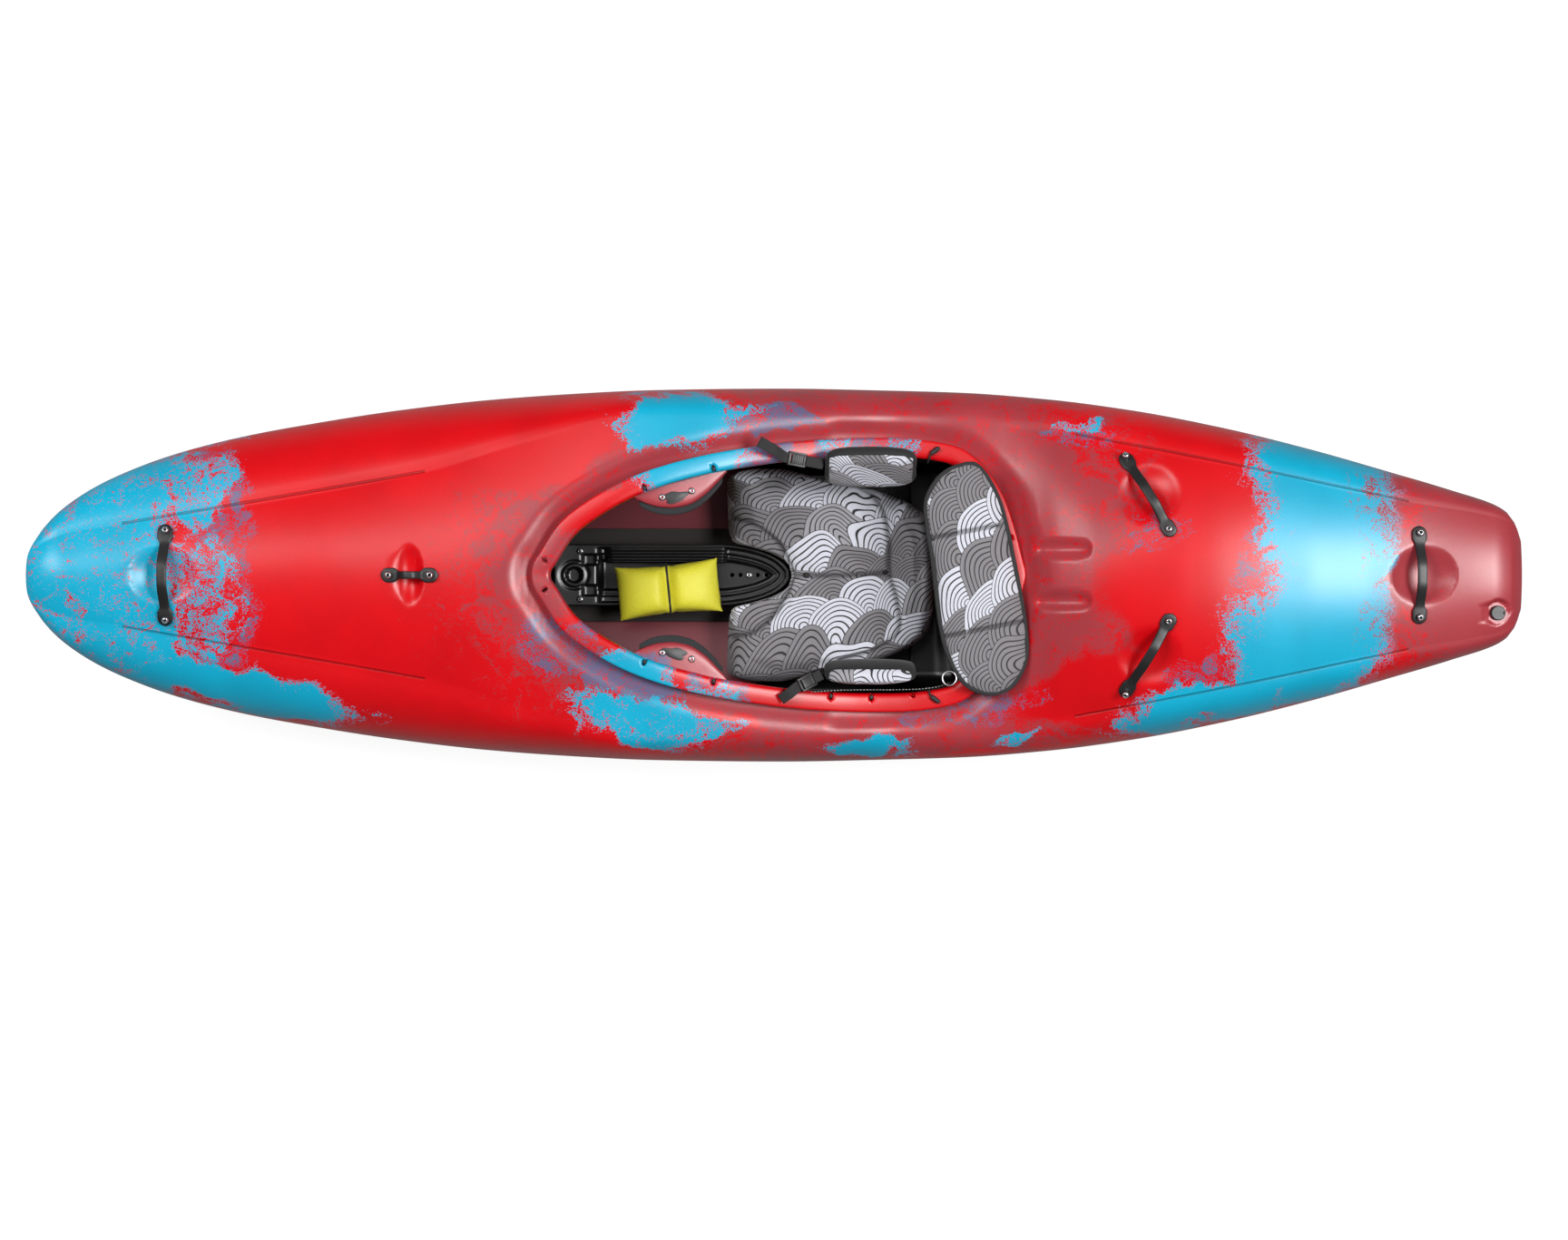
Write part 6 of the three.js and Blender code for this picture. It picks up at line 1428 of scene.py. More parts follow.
def printed_neoprene(name, turn, tape=None):
    """Polyester jersey bonded to neoprene, dye-printed: matt with tiny knit loops and soft seams, along
    which painted shade darkens the print. A taped piece has a black tape of a given width sewn over its
    edge, measured by its attribute from_edge."""
    material, add, shader, coords = new_material(name, roughness=0.78, ior=1.45)
    shader.inputs["Sheen Weight"].default_value = 0.15
    parts = add("ShaderNodeSeparateXYZ", {"Vector": coords})
    lean = add("ShaderNodeMath", {0: parts.outputs[2], 1: 0.5}, operation="MULTIPLY")
    leans = add("ShaderNodeCombineXYZ", {0: lean, 1: lean})
    draped = add("ShaderNodeVectorMath", {0: coords, 1: leans}, operation="ADD")
    swirl = add("ShaderNodeTexNoise", {"Vector": draped, "Scale": 6, "Detail": 1})
    swing = add("ShaderNodeVectorMath", {0: swirl.outputs["Color"], 1: (2 * PRINT_WANDER,) * 3, 2: draped},
                operation="MULTIPLY_ADD")
    grid = add("ShaderNodeMapping",
               {"Vector": swing, "Rotation": (0, 0, math.radians(turn)),
                "Scale": (2 * SHELL_RADIUS, SHELL_RADIUS / 2, 1)}, vector_type="TEXTURE")
    place = add("ShaderNodeSeparateXYZ", {"Vector": grid})
    base = add("ShaderNodeMath", {0: place.outputs[1]}, operation="FLOOR")
    chosen = None
    for k in (1, 0, -1):
        row = add("ShaderNodeMath", {0: base, 1: k}, operation="ADD")
        half_row = add("ShaderNodeMath", {0: row, 1: 0.5}, operation="MULTIPLY")
        shift = add("ShaderNodeMath", {0: half_row}, operation="FRACT")
        slid = add("ShaderNodeMath", {0: place.outputs[0], 1: shift}, operation="SUBTRACT")
        column = add("ShaderNodeMath", {0: slid}, operation="ROUND")
        beside = add("ShaderNodeMath", {0: slid, 1: column}, operation="SUBTRACT")
        above = add("ShaderNodeMath", {0: place.outputs[1], 1: row}, operation="SUBTRACT")
        offset = add("ShaderNodeCombineXYZ", {0: beside, 1: above})
        scaled = add("ShaderNodeVectorMath", {0: offset, 1: (2, 0.5, 0)}, operation="MULTIPLY")
        away = add("ShaderNodeVectorMath", {0: scaled}, operation="LENGTH")
        shell = add("ShaderNodeCombineXYZ", {0: column, 1: row, 2: away.outputs["Value"]})
        if chosen is not None:
            covers = add("ShaderNodeMath", {0: away.outputs["Value"], 1: 1.0}, operation="LESS_THAN")
            shell = add("ShaderNodeMix", {"Factor": covers, 4: chosen, 5: shell},
                        data_type="VECTOR").outputs[1]
        chosen = shell
    number = add("ShaderNodeVectorMath", {0: chosen, 1: (1, 1, 0)}, operation="MULTIPLY")
    chance = add("ShaderNodeTexWhiteNoise", {"Vector": number}, noise_dimensions="3D")
    tones = add("ShaderNodeValToRGB", {"Fac": chance.outputs["Value"]})
    tones.color_ramp.interpolation = "CONSTANT"
    tones.color_ramp.elements[0].color = srgb("8C898D")
    tones.color_ramp.elements[1].position = 0.6
    tones.color_ramp.elements[1].color = srgb("E2E3EE")
    tones.color_ramp.elements.new(0.44).color = srgb("A9A7AC")
    from_centre = add("ShaderNodeSeparateXYZ", {"Vector": chosen})
    arcs = add("ShaderNodeMath", {0: from_centre.outputs[2], 1: SHELL_RADIUS / ARC_PITCH},
               operation="MULTIPLY")
    to_line = add("ShaderNodeMath", {0: arcs, 1: 0.5}, operation="PINGPONG")
    ink = add("ShaderNodeMapRange",
              {"Value": to_line, "From Min": ARC_WIDTH_SHARE - 0.03, "From Max": ARC_WIDTH_SHARE + 0.03,
               "To Min": 1, "To Max": 0})
    printed = add("ShaderNodeMix", {"Factor": ink, 6: tones, 7: srgb("252428")}, data_type="RGBA")
    colour = printed.outputs[2]
    if tape:
        edge = add("ShaderNodeAttribute", attribute_name="from_edge")
        inside = add("ShaderNodeMapRange",
                     {"Value": edge.outputs["Fac"], "From Min": tape - 0.0003, "From Max": tape + 0.0003})
        colour = add("ShaderNodeMix", {"Factor": inside, 6: srgb("151517"), 7: colour},
                     data_type="RGBA").outputs[2]
    knit = add("ShaderNodeTexVoronoi", {"Vector": coords, "Scale": 1 / KNIT_LOOP})
    loops = add("ShaderNodeMapRange",
                {"Value": knit, "From Min": 0.0, "From Max": 0.9, "To Min": 1.06, "To Max": 0.84})
    # Painted shade: the print is darkened along the seams, for the shade in their dents
    seam = add("ShaderNodeAttribute", attribute_name="sewn")
    shade = add("ShaderNodeMath", {0: seam.outputs["Fac"], 1: -0.62, 2: loops}, operation="MULTIPLY_ADD")
    print_with_painted_seam_shade = add("ShaderNodeHueSaturation", {"Color": colour, "Value": shade})
    bump = add("ShaderNodeBump", {"Height": knit, "Strength": 0.5, "Distance": 0.0004})
    set_inputs(shader, {"Base Color": print_with_painted_seam_shade, "Normal": bump})
    return material


polyethylene = marbled_polyethylene("marbled_polyethylene", hull_layers, creased=True)
# The inner skin's material is painted shade: a darker copy of the hull's polyethylene
inside_painted_shade_polyethylene = marbled_polyethylene("marbled_polyethylene_inside_painted_shade", inside_painted_shade_layers)
rim_polyethylene = marbled_polyethylene("marbled_polyethylene_lip", rim_layers)
brace_polyethylene = marbled_polyethylene("marbled_polyethylene_brace", brace_layers)
# Glass-filled nylon handles: dark grey with a fine spark-eroded grain
handle_nylon = plain_finish("moulded_nylon", "151517", 0.0012, 0.00015, roughness=0.48)
# Injection-moulded ABS of the beam and the seat pan: glossier black
beam_plastic = plain_finish("injection_moulded_plastic", "0D0D0E", 0.004, 0.00005, roughness=0.34)
# Stainless steel, turned and tumbled
stainless = plain_finish("stainless_steel", "B9BABD", 0.0008, 0.00004, metallic=1.0, roughness=0.28)
# Anodised aluminium extrusion
aluminium = plain_finish("anodised_aluminium", "A5A7AA", 0.0006, 0.00004, metallic=1.0, roughness=0.38)
# Closed-cell foams with tiny open cells at the cut face
black_foam = plain_finish("closed_cell_foam_black", "202124", 0.0016, 0.0003, roughness=0.85)
grey_foam = plain_finish("closed_cell_foam_grey", "55585D", 0.0018, 0.0003, roughness=0.85)
# Rubber gasket and knobs
rubber = plain_finish("moulded_rubber", "19191A", 0.001, 0.0001, roughness=0.6)
# Woven polyamide webbing and the pack cloth
webbing = plain_finish("black_webbing", "151517", 0.0012, 0.0003, roughness=0.8)
yellow_nylon = plain_finish("coated_nylon_cloth", "F2EA38", 0.0015, 0.0002, roughness=0.6)
black_thread = plain_finish("bonded_thread_black", "121214", 0.0008, 0.00008, roughness=0.7)
white_thread = plain_finish("bonded_thread_white", "D9D9D6", 0.0008, 0.00008, roughness=0.7)
mat_foam = plain_finish("closed_cell_foam_floor", "2B2523", 0.002, 0.0003, roughness=0.9)
seat_cloth = printed_neoprene("printed_neoprene_seat", 24)
band_cloth = printed_neoprene("printed_neoprene_backband", 68)
pad_cloth = printed_neoprene("printed_neoprene_hip_pads", -20, tape=0.0085)

slot_finish = {
    "hull_polyethylene": polyethylene, "black_plastic": handle_nylon, "stainless_steel": stainless,
    "rubber_gasket": rubber, "black_rubber": rubber, "black_foam": black_foam, "grey_foam": grey_foam,
    "printed_fabric": seat_cloth, "black_webbing": webbing, "yellow_nylon": yellow_nylon,
    "aluminium_rail": aluminium,
}
for node in nodes.values():
    for place in node.material_slots:
        base = place.material.name.split(".")[0] if place.material else ""
        place.material = slot_finish.get(base, handle_nylon)

# Camera, over the middle of the boat, as the photograph's view from above
camera_data = bpy.data.cameras.new("camera")
camera = linked("camera", camera_data)
bpy.context.scene.camera = camera
camera.location = (0, 0, CAMERA_HEIGHT)
camera_data.sensor_width = SENSOR_WIDTH
camera_data.lens = SENSOR_WIDTH * (CAMERA_HEIGHT - DECK_LEVEL) / (IMAGE_WIDTH_PX * METRES_PER_PIXEL)
camera_data.shift_x = (IMAGE_CENTRE_PX[0] - BOAT_CENTRE_PX[0]) / IMAGE_WIDTH_PX
camera_data.shift_y = (BOAT_CENTRE_PX[1] - IMAGE_CENTRE_PX[1]) / IMAGE_WIDTH_PX
bpy.context.scene.view_settings.view_transform = "Standard"

# Pieces
hull = add_object("hull_skin", hull_skin(), polyethylene)
# The hull's inner skin takes the painted-shade copy of the polyethylene
hull.data.materials.append(inside_painted_shade_polyethylene)
plated(hull, WALL).material_offset = 1
finish_piece(hull, "hull", "hull_polyethylene", "hull_shell")
coaming = add_piece("coaming_rim", coaming_form(), rim_polyethylene, "hull", "hull_polyethylene")

for side, word in SIDES:
    plated(add_piece("thigh_brace_" + word, thigh_brace(side), brace_polyethylene,
                     "hull", "hull_polyethylene"), BRACE_THICKNESS)

for name in HANDLES:
    add_piece(name + "_strap", handle_strap(name), handle_nylon, "hull", "black_plastic", name)
    for k, place in enumerate(HANDLES[name][:2], start=1):
        seat_screw(f"{name}_screw_{k}", deck_normal(*place))

for word in ("port", "starboard"):
    for k in (1, 2):
        seat_screw(f"thigh_screw_{word}_{k}", Vector((0.2, 0, 1)).normalized())
for node in ("trim_bolt", "beam_bolt_port", "beam_bolt_starboard"):
    seat_screw(node, Vector((0, 0, 1)))

for node, body, width in (("front_pillar", "hull", 0.004), ("rear_pillar", "hull", 0.004),
                          ("foot_bulkhead_foam", "foot_bulkhead", 0.005)):
    foam = softened_copy(node, node + "_cut", grey_foam, width)
    finish_piece(foam, body, "grey_foam", node)

# Floor mat and thigh pads, both cut from sheet foam
mat = softened_copy("floor_mat", "floor_mat_sheet", mat_foam, 0.0015, 2)
finish_piece(mat, "hull", "black_foam", "floor_mat")

PAD_PROUD = 0.013
PAD_STEPS = 48


def thigh_pad_form(side):
    """A band of foam that follows the brace's inner edge from below."""
    rings = []
    for share in np.linspace(0.05, 0.95, PAD_STEPS):
        x = BRACE_FRONT_X + share * BRACE_LENGTH
        reach = float(np.interp(share, brace_edge[:, 0], brace_edge[:, 1]))
        edge = float(opening_half(x)) - reach * BRACE_REACH
        end = math.sqrt(max(0.0, 1 - abs(2 * share - 1) ** 6))
        inner = edge - PAD_PROUD * end
        outer = float(opening_half(x)) - COAMING_WALL - 0.001
        top = float(rim_z(x)) - BRACE_DROP - BRACE_THICKNESS - 0.0012
        across, up = round_section(outer - inner, THIGH_PAD_THICKNESS * 0.9, 20, 6)
        middle = (outer + inner) / 2
        level = top - THIGH_PAD_THICKNESS / 2
        rings.append([(x, side * (middle + a), level + b) for a, b in zip(across, up)])
    return tube_form(rings)


brace_edge = evenly(brace_reach_shares, 60, False)
for side, word in SIDES:
    pad = add_object("thigh_pad_foam_" + word, thigh_pad_form(side), black_foam)
    finish_piece(pad, "hull", "black_foam", "thigh_pad_" + word)

# Window plate and its edge on each thigh brace
WINDOW_LENGTH = 0.044
WINDOW_WIDTH = 0.021
for side, word in SIDES:
    x = BRACE_FRONT_X + 0.44 * BRACE_LENGTH
    y = side * (float(opening_half(x)) - 0.56 * BRACE_REACH)
    z = float(rim_z(x)) - BRACE_DROP + 0.0004
    bm = bmesh.new()
    bmesh.ops.create_circle(bm, segments=40, radius=0.5, cap_ends=True)
    for vert in bm.verts:
        turn = math.atan2(vert.co.y, vert.co.x)
        wave = 1 + 0.16 * math.sin(3 * turn + side) + 0.08 * math.sin(5 * turn)
        vert.co = (vert.co.x * WINDOW_LENGTH * wave, vert.co.y * WINDOW_WIDTH * wave, 0)
    lid = bmesh.ops.extrude_face_region(bm, geom=list(bm.faces))
    raised = [v for v in lid["geom"] if isinstance(v, bmesh.types.BMVert)]
    bmesh.ops.translate(bm, verts=raised, vec=(0, 0, 0.0016))
    bmesh.ops.recalc_face_normals(bm, faces=bm.faces)
    slope = math.atan((float(rim_z(x - 0.02)) - float(rim_z(x + 0.02))) / 0.04)
    place = Matrix.Translation((x, y, z)) @ Matrix.Rotation(slope, 4, "Y") @ Matrix.Rotation(
        side * 0.2, 4, "Z")
    bmesh.ops.transform(bm, matrix=place, verts=bm.verts)
    edge_bevel(add_piece("brace_window_" + word, bm, handle_nylon, "hull", "black_plastic"), 0.0005)

# Centre beam, moulded with a stepped tray
BEAM_ROWS = 190
BEAM_COLUMNS = 72
TRAY_LEDGE_DEPTH = 0.013
BEAM_RING = (-0.405, 0.0)
beam_nose_shares = [
    (0, 0.9), (0.03, 1), (0.12, 1), (0.25, 1), (0.4, 1), (0.56, 1), (0.72, 1), (0.84, 0.86), (0.93, 0.62),
    (0.98, 0.34), (1, 0.14),
]
beam_nose = evenly(beam_nose_shares, 200, False)
trim_bolt_x = BEAM_FRONT_X + BEAM_LENGTH - 4.6 * BEAM_HOLE_PITCH


def beam_half(x):
    share = (x - BEAM_FRONT_X) / BEAM_LENGTH
    return np.interp(share, beam_nose[:, 0], np.minimum(beam_nose[:, 1], 1)) * BEAM_HALF_WIDTH


def beam_foot(x):
    under_mat = belly_z(x, BEAM_HALF_WIDTH / chine_half(x)) + WALL
    return under_mat + BEAM_FOOT_ABOVE_FLOOR


def beam_surface(x, y):
    """How far below the beam's edge its upper side lies: ledges that run round the tray like steps."""
    xs = np.linspace(BEAM_FRONT_X, BEAM_FRONT_X + BEAM_LENGTH, 160)
    half = beam_half(xs)
    outline = np.stack([np.concatenate([xs, xs[::-1]]), np.concatenate([half, -half[::-1]])], axis=1)
    away = distance_to_path(np.stack([x, y], axis=1), outline[20:-20])
    ledge = TRAY_LEDGE_DEPTH * smooth((away - BEAM_WALL) / 0.004)
    middle = 0.01 * smooth((away - 0.017) / 0.004)
    low = (BEAM_TRAY_DEPTH - TRAY_LEDGE_DEPTH - 0.01) * smooth((away - 0.029) / 0.005)
    ridge = 0.0022 * np.exp(-(((away - 0.023) / 0.0016) ** 2))
    tray = (ledge + middle + low - ridge) * smooth((x - BEAM_FRONT_X - BEAM_BLOCK) / 0.012)
    rail_zone = smooth((x + 0.345) / 0.01) * smooth((-0.105 - x) / 0.01)
    rail = np.minimum(tray, 0.004 + 0.003 * np.cos(np.clip((y - 0.044) / 0.006, -3, 3) * math.pi))
    tray = np.where((y > 0.026) & (rail_zone > 0.01), tray + (rail - tray) * rail_zone, tray)
    ring_away = np.hypot(x - BEAM_RING[0], y - BEAM_RING[1])
    socket = 0.012 * smooth((0.016 - ring_away) / 0.003)
    socket = socket + 0.003 * np.exp(-(((ring_away - 0.026) / 0.003) ** 2))
    block = smooth((BEAM_FRONT_X + BEAM_BLOCK + 0.008 - x) / 0.012)
    cheek = 0.01 * smooth((0.012 - np.abs(np.abs(y) - 0.03)) / 0.004)
    cheek = cheek * smooth((x - BEAM_FRONT_X - 0.052) / 0.008)
    return tray + (socket + cheek) * block


def beam_form():
    stations = BEAM_FRONT_X + (BEAM_LENGTH - 0.0002) * np.sin(np.linspace(0, math.pi / 2, BEAM_ROWS)) ** 1.02
    stations = np.concatenate([[BEAM_FRONT_X], stations[1:]])
    shares = np.linspace(-1, 1, BEAM_COLUMNS)
    rings = []
    for x in stations:
        half = float(beam_half(x))
        foot = float(beam_foot(x))
        y = shares * half
        drop = beam_surface(np.full_like(y, x), y)
        edge = 0.0016 * (np.abs(shares) > 0.995)
        top = foot + BEAM_HEIGHT - drop - edge
        under = [(x, half * 0.96, foot), (x, 0, foot), (x, -half * 0.96, foot)]
        rings.append([(x, -half, foot + 0.003)] + [(x, py, pz) for py, pz in zip(y, top)]
                     + [(x, half, foot + 0.003)] + under)
    return tube_form(rings)


beam = add_object("beam_moulding", beam_form(), beam_plastic)
holes = bmesh.new()
for step in range(-2, 3):
    hole_x = trim_bolt_x + step * BEAM_HOLE_PITCH
    add_hole(holes, BEAM_HOLE_DIAMETER / 2, 0.08, (hole_x, 0, 0.055))
for side in (1, -1):
    add_hole(holes, BEAM_BOLT_HOLE_RADIUS, 0.04, (-0.393, side * 0.047, 0.085))
cut_out(beam, holes)
finish_piece(beam, "hull", "black_plastic", "centre_beam")

# Notches, slots and holes in the coaming, by their place in the photograph and size
LIP_HOLE_RADIUS = 0.0045
NOTCH_SIZE = (0.0085, 0.019)
SLOT_SIZE = (0.006, 0.013)
lip_holes = [(597, 594), (600, 670), (1008, 498), (1009, 768), (1116, 591)]
lip_notches = [(712, 534), (786, 514), (715, 728), (789, 747), (864, 768), (915, 767), (961, 769)]
lip_slots = [(603, 614), (603, 649)]


def lip_place(px, py, inset_share, below=0):
    """Where a notch of the lip lies, turned to face outwards."""
    x, y = from_photo(px, py, 0.3)
    near = int(np.argmin(np.hypot(rim[:, 0] - x, rim[:, 1] - y)))
    out = rim_out[near]
    x, y = rim[near] - out * (LIP_WIDTH * inset_share)
    turn = Matrix.Rotation(math.atan2(out[1], out[0]), 4, "Z")
    return Matrix.Translation((x, y, float(rim_z(x)) - below)) @ turn


cutters = bmesh.new()
for px, py in lip_holes:
    x, y = from_photo(px, py, 0.33)
    add_hole(cutters, LIP_HOLE_RADIUS, 0.03, (x, y, float(rim_z(x))))
for spots, (wide, long), inset_share in ((lip_notches, NOTCH_SIZE, 0.86), (lip_slots, SLOT_SIZE, 0.45)):
    for spot in spots:
        made = bmesh.ops.create_cone(cutters, segments=16, radius1=0.5, radius2=0.5, depth=1, cap_ends=True)
        shape = Matrix.Diagonal((long, wide, 0.026, 1))
        bmesh.ops.transform(cutters, matrix=lip_place(*spot, inset_share) @ shape, verts=made["verts"])
cut_out(coaming, cutters)

# A rubber grommet in each notch of the lip, a little below its top
for k, spot in enumerate(lip_notches, start=1):
    shape = Matrix.Diagonal((NOTCH_SIZE[1] * 0.5, NOTCH_SIZE[0] * 0.9, 0.0045, 1))
    bm = bmesh.new()
    bmesh.ops.create_cone(bm, segments=20, radius1=0.5, radius2=0.4, depth=1, cap_ends=True,
                          matrix=lip_place(*spot, 0.8, 0.004) @ shape)
    edge_bevel(add_piece(f"lip_grommet_{k}", bm, rubber, "hull", "rubber_gasket"), 0.0005)

# Gear pouch with its sewn rim, held down by a loop of elastic cord
pouch = add_object("gear_pouch_cloth", pouch_form(), yellow_nylon)
blown_up(pouch, 0.004, 0.004, pinched)
finish_piece(pouch, "hull", "yellow_nylon", "gear_pouch")

waist = POUCH_WIDTH / 2 * 0.85
cord_high = POUCH_HEIGHT * 0.58
band_path = [
    pouch_spot(0, y, z) for y, z in (
        (-waist - 0.0015, 0.002), (-waist * 0.6, -0.0006), (0, -0.0006), (waist * 0.6, -0.0006),
        (waist + 0.0015, 0.002), (waist + 0.002, cord_high * 0.45), (waist * 0.8, cord_high * 0.92),
        (waist * 0.4, cord_high + 0.002), (0, cord_high + 0.003), (-waist * 0.4, cord_high + 0.002),
        (-waist * 0.8, cord_high * 0.92), (-waist - 0.002, cord_high * 0.45))
]
add_piece("pouch_elastic", cord_form(band_path, 0.0042, 96, closed=True), webbing,
          "hull", "black_rubber", "pouch_cord")

seam_path = []
cloth_spots = spots_of(pouch.data)
for turn in np.linspace(0, 2 * math.pi, 160):
    spot = pouch_spot(bent(math.cos(turn), 0.35) * POUCH_LENGTH / 2,
                      bent(math.sin(turn), 0.35) * POUCH_WIDTH / 2, POUCH_HEIGHT * 0.22)
    seam_path.append(cloth_spots[np.argmin(np.linalg.norm(cloth_spots - spot, axis=1))])
add_piece("pouch_overlock", stitch_form(seam_path, 0.0046, 0.0034, 0.0017), black_thread,
          "hull", "black_webbing")

# Seat cushion, sewn to a bucket shape and held down by two buttons
cushion = add_object("seat_cushion_cover", cushion_form(), seat_cloth)
blown_up(cushion, 0.005, 0.006, seated)
bucket_seam = photo_line(0.13, (945, 533), (962, 545), (973, 567), (979, 600), (979, 631), (987, 662),
                         (988, 694), (968, 714), (925, 729))
middle_seam = photo_line(0.11, (874, 634), (889, 634), (932, 633), (976, 631))
front_seams = [photo_line(0.11, (874, 634), (858, 600), (830, 578), (806, 571)),
               photo_line(0.11, (874, 634), (858, 668), (832, 694), (806, 702))]
seams = [evenly(bucket_seam, 60, False), middle_seam, *[evenly(line, 30, False) for line in front_seams]]
sewn(cushion, seams, 0.006, 0.005)
finish_piece(cushion, "seat", "printed_fabric", "seat_cushion")

BUTTON_RADIUS = 0.0065
for k, (x, y) in enumerate(cushion_buttons, start=1):
    top = float(cushion_top(np.array([x]), np.array([y]))[0])
    r = BUTTON_RADIUS
    button = add_object(f"cushion_button_{k}", closed_up(turned([
        (0, 0.0042), (r * 0.5, 0.0038), (r * 0.85, 0.0026), (r, 0.001), (r * 0.95, -0.001), (0, -0.0012)])),
        webbing)
    button.data.transform(Matrix.Translation((x, y, top)))
    finish_piece(button, "seat", "black_plastic")

# Backband with a taped edge and two sewn folds across it
backband = add_object("backband_cover", backband_form(), band_cloth)
blown_up(backband, 0.004, 0.003, quilted)
fold_lines = [photo_line(0.3, (1019, 594), (1103, 578)), photo_line(0.3, (1037, 702), (1128, 684))]
sewn(backband, fold_lines, 0.0035, 0.004)
finish_piece(backband, "backband", "printed_fabric", "backband_pad")

# Binding tape folded over the backband's edge
BINDING_STEPS = 260
middle = np.array(BAND_CENTRE)
tape_path = evenly(band_outline[:-1], BINDING_STEPS, True)
ahead = np.roll(tape_path, -1, axis=0) - np.roll(tape_path, 1, axis=0)
inward = np.stack([-ahead[:, 1], ahead[:, 0]], axis=1) / np.linalg.norm(ahead, axis=1)[:, None]
inward *= np.sign(np.sum(inward * (middle - tape_path), axis=1))[:, None]
rings = []
for spot, into in zip(tape_path, inward):
    across, up = round_section(BINDING_WIDTH + 0.001, BINDING_THICKNESS + 0.0046, 16, 5)
    level = float(band_z(spot[0])) + EDGE_GAP + BINDING_THICKNESS / 2 + 0.0026
    inset = BINDING_WIDTH / 2 - 0.0004
    rings.append([(*(spot + into * (inset + a)), level + b) for a, b in zip(across, up)])
add_piece("backband_binding", tube_form(rings + rings[:1], capped=False), webbing,
          "backband", "black_webbing")

cover_top = spots_of(backband.data)
for k, line in enumerate(fold_lines, start=1):
    ends = np.array(line)
    ahead = (ends[1] - ends[0]) / np.linalg.norm(ends[1] - ends[0])
    side = np.array([-ahead[1], ahead[0]])
    for word, shift in (("front", 0.0034), ("rear", -0.0034)):
        path = []
        for share in np.linspace(0.06, 0.94, 24):
            spot = ends[0] + (ends[1] - ends[0]) * share + side * shift
            near = np.hypot(cover_top[:, 0] - spot[0], cover_top[:, 1] - spot[1]) < 0.003
            path.append((*spot, cover_top[near, 2].max() if near.any() else BAND_FRONT_Z + 0.015))
        add_piece(f"backband_stitches_{k}_{word}", stitch_form(path, 0.0038, 0.0028, 0.0009), black_thread,
                  "backband", "black_webbing")

# Hip pads with printed faces on black foam bodies
for word, section in (("starboard", starboard_pad_section()), ("port", port_pad_section())):
    pad = add_object("hip_pad_cover_" + word, hip_pad_form(section), pad_cloth)
    blown_up(pad, 0.004, 0.003, lambda _: (OUTLINE_GIVE, 1, 1))
    spots = spots_of(pad.data)
    inside_ends = np.minimum(spots[:, 0] - HIP_PAD_FRONT_X, HIP_PAD_FRONT_X + HIP_PAD_LENGTH - spots[:, 0])
    if word == "starboard":
        offset = spots[:, 1:] - wing_edge
        up = offset @ pad_along
        deep = offset @ pad_into
        low = up + PAD_OVERLAP_SHARE * HIP_PAD_HEIGHT
        drawn_in = 0.5 * HIP_PAD_HEIGHT * (1 - np.interp(
            (spots[:, 0] - HIP_PAD_FRONT_X) / HIP_PAD_LENGTH, *np.array(pad_size_shares).T))
        face = np.minimum(low, HIP_PAD_HEIGHT - low) - drawn_in
        face = np.where(deep < -HIP_PAD_THICKNESS * 0.62, face, -0.004)
    else:
        face = np.minimum(spots[:, 2] - 0.286, 0.02)
        face = np.where(-spots[:, 1] > 0.176, face, -0.004)
    set_attribute(pad.data, "from_edge", np.minimum(face, inside_ends))
    finish_piece(pad, "seat", "printed_fabric", "hip_pad_" + word)

# Hip straps as shares of the hull's height: at the pad, at the buckle and at the tail's end
hip_straps = {
    "starboard": [(0.1774, 0.4568, 0.6807), (0.0621, 0.4767, 0.7073), (-0.0931, 0.5477, 0.7627)],
    "port": [(0.1774, -0.4058, 0.6208), (0.102, -0.4435, 0.6674), (-0.0044, -0.5144, 0.6918)],
}
BUCKLE_LENGTH = 0.034
BUCKLE_WIDTH = 0.026
BUCKLE_HEIGHT = 0.011


def buckle_form(place):
    """A cam buckle: a frame of two cheeks with bars across and a ribbed lever over the webbing."""
    bm = bmesh.new()
    length, width, high = BUCKLE_LENGTH, BUCKLE_WIDTH, BUCKLE_HEIGHT
    blocks = [((0, side * (width / 2 - 0.002), 0), (length, 0.0038, high * 0.95)) for side in (-1, 1)]
    blocks += [((x, 0, -high * 0.22), (0.004, width * 0.94, high * 0.4)) for x in (-length / 2 + 0.002, 0)]
    blocks += [((length / 2 - 0.003, 0, 0), (0.005, width * 0.94, high * 0.55))]
    blocks += [((-0.001, 0, high * 0.2), (length * 0.62, width * 0.7, high * 0.34))]
    blocks += [((x, 0, high * 0.4), (0.0018, width * 0.66, high * 0.1)) for x in (-0.008, -0.004, 0, 0.004)]
    for middle, size in blocks:
        bmesh.ops.create_cube(bm, size=1, matrix=Matrix.Translation(middle) @ Matrix.Diagonal((*size, 1)))
    bmesh.ops.transform(bm, matrix=place, verts=bm.verts)
    return bm


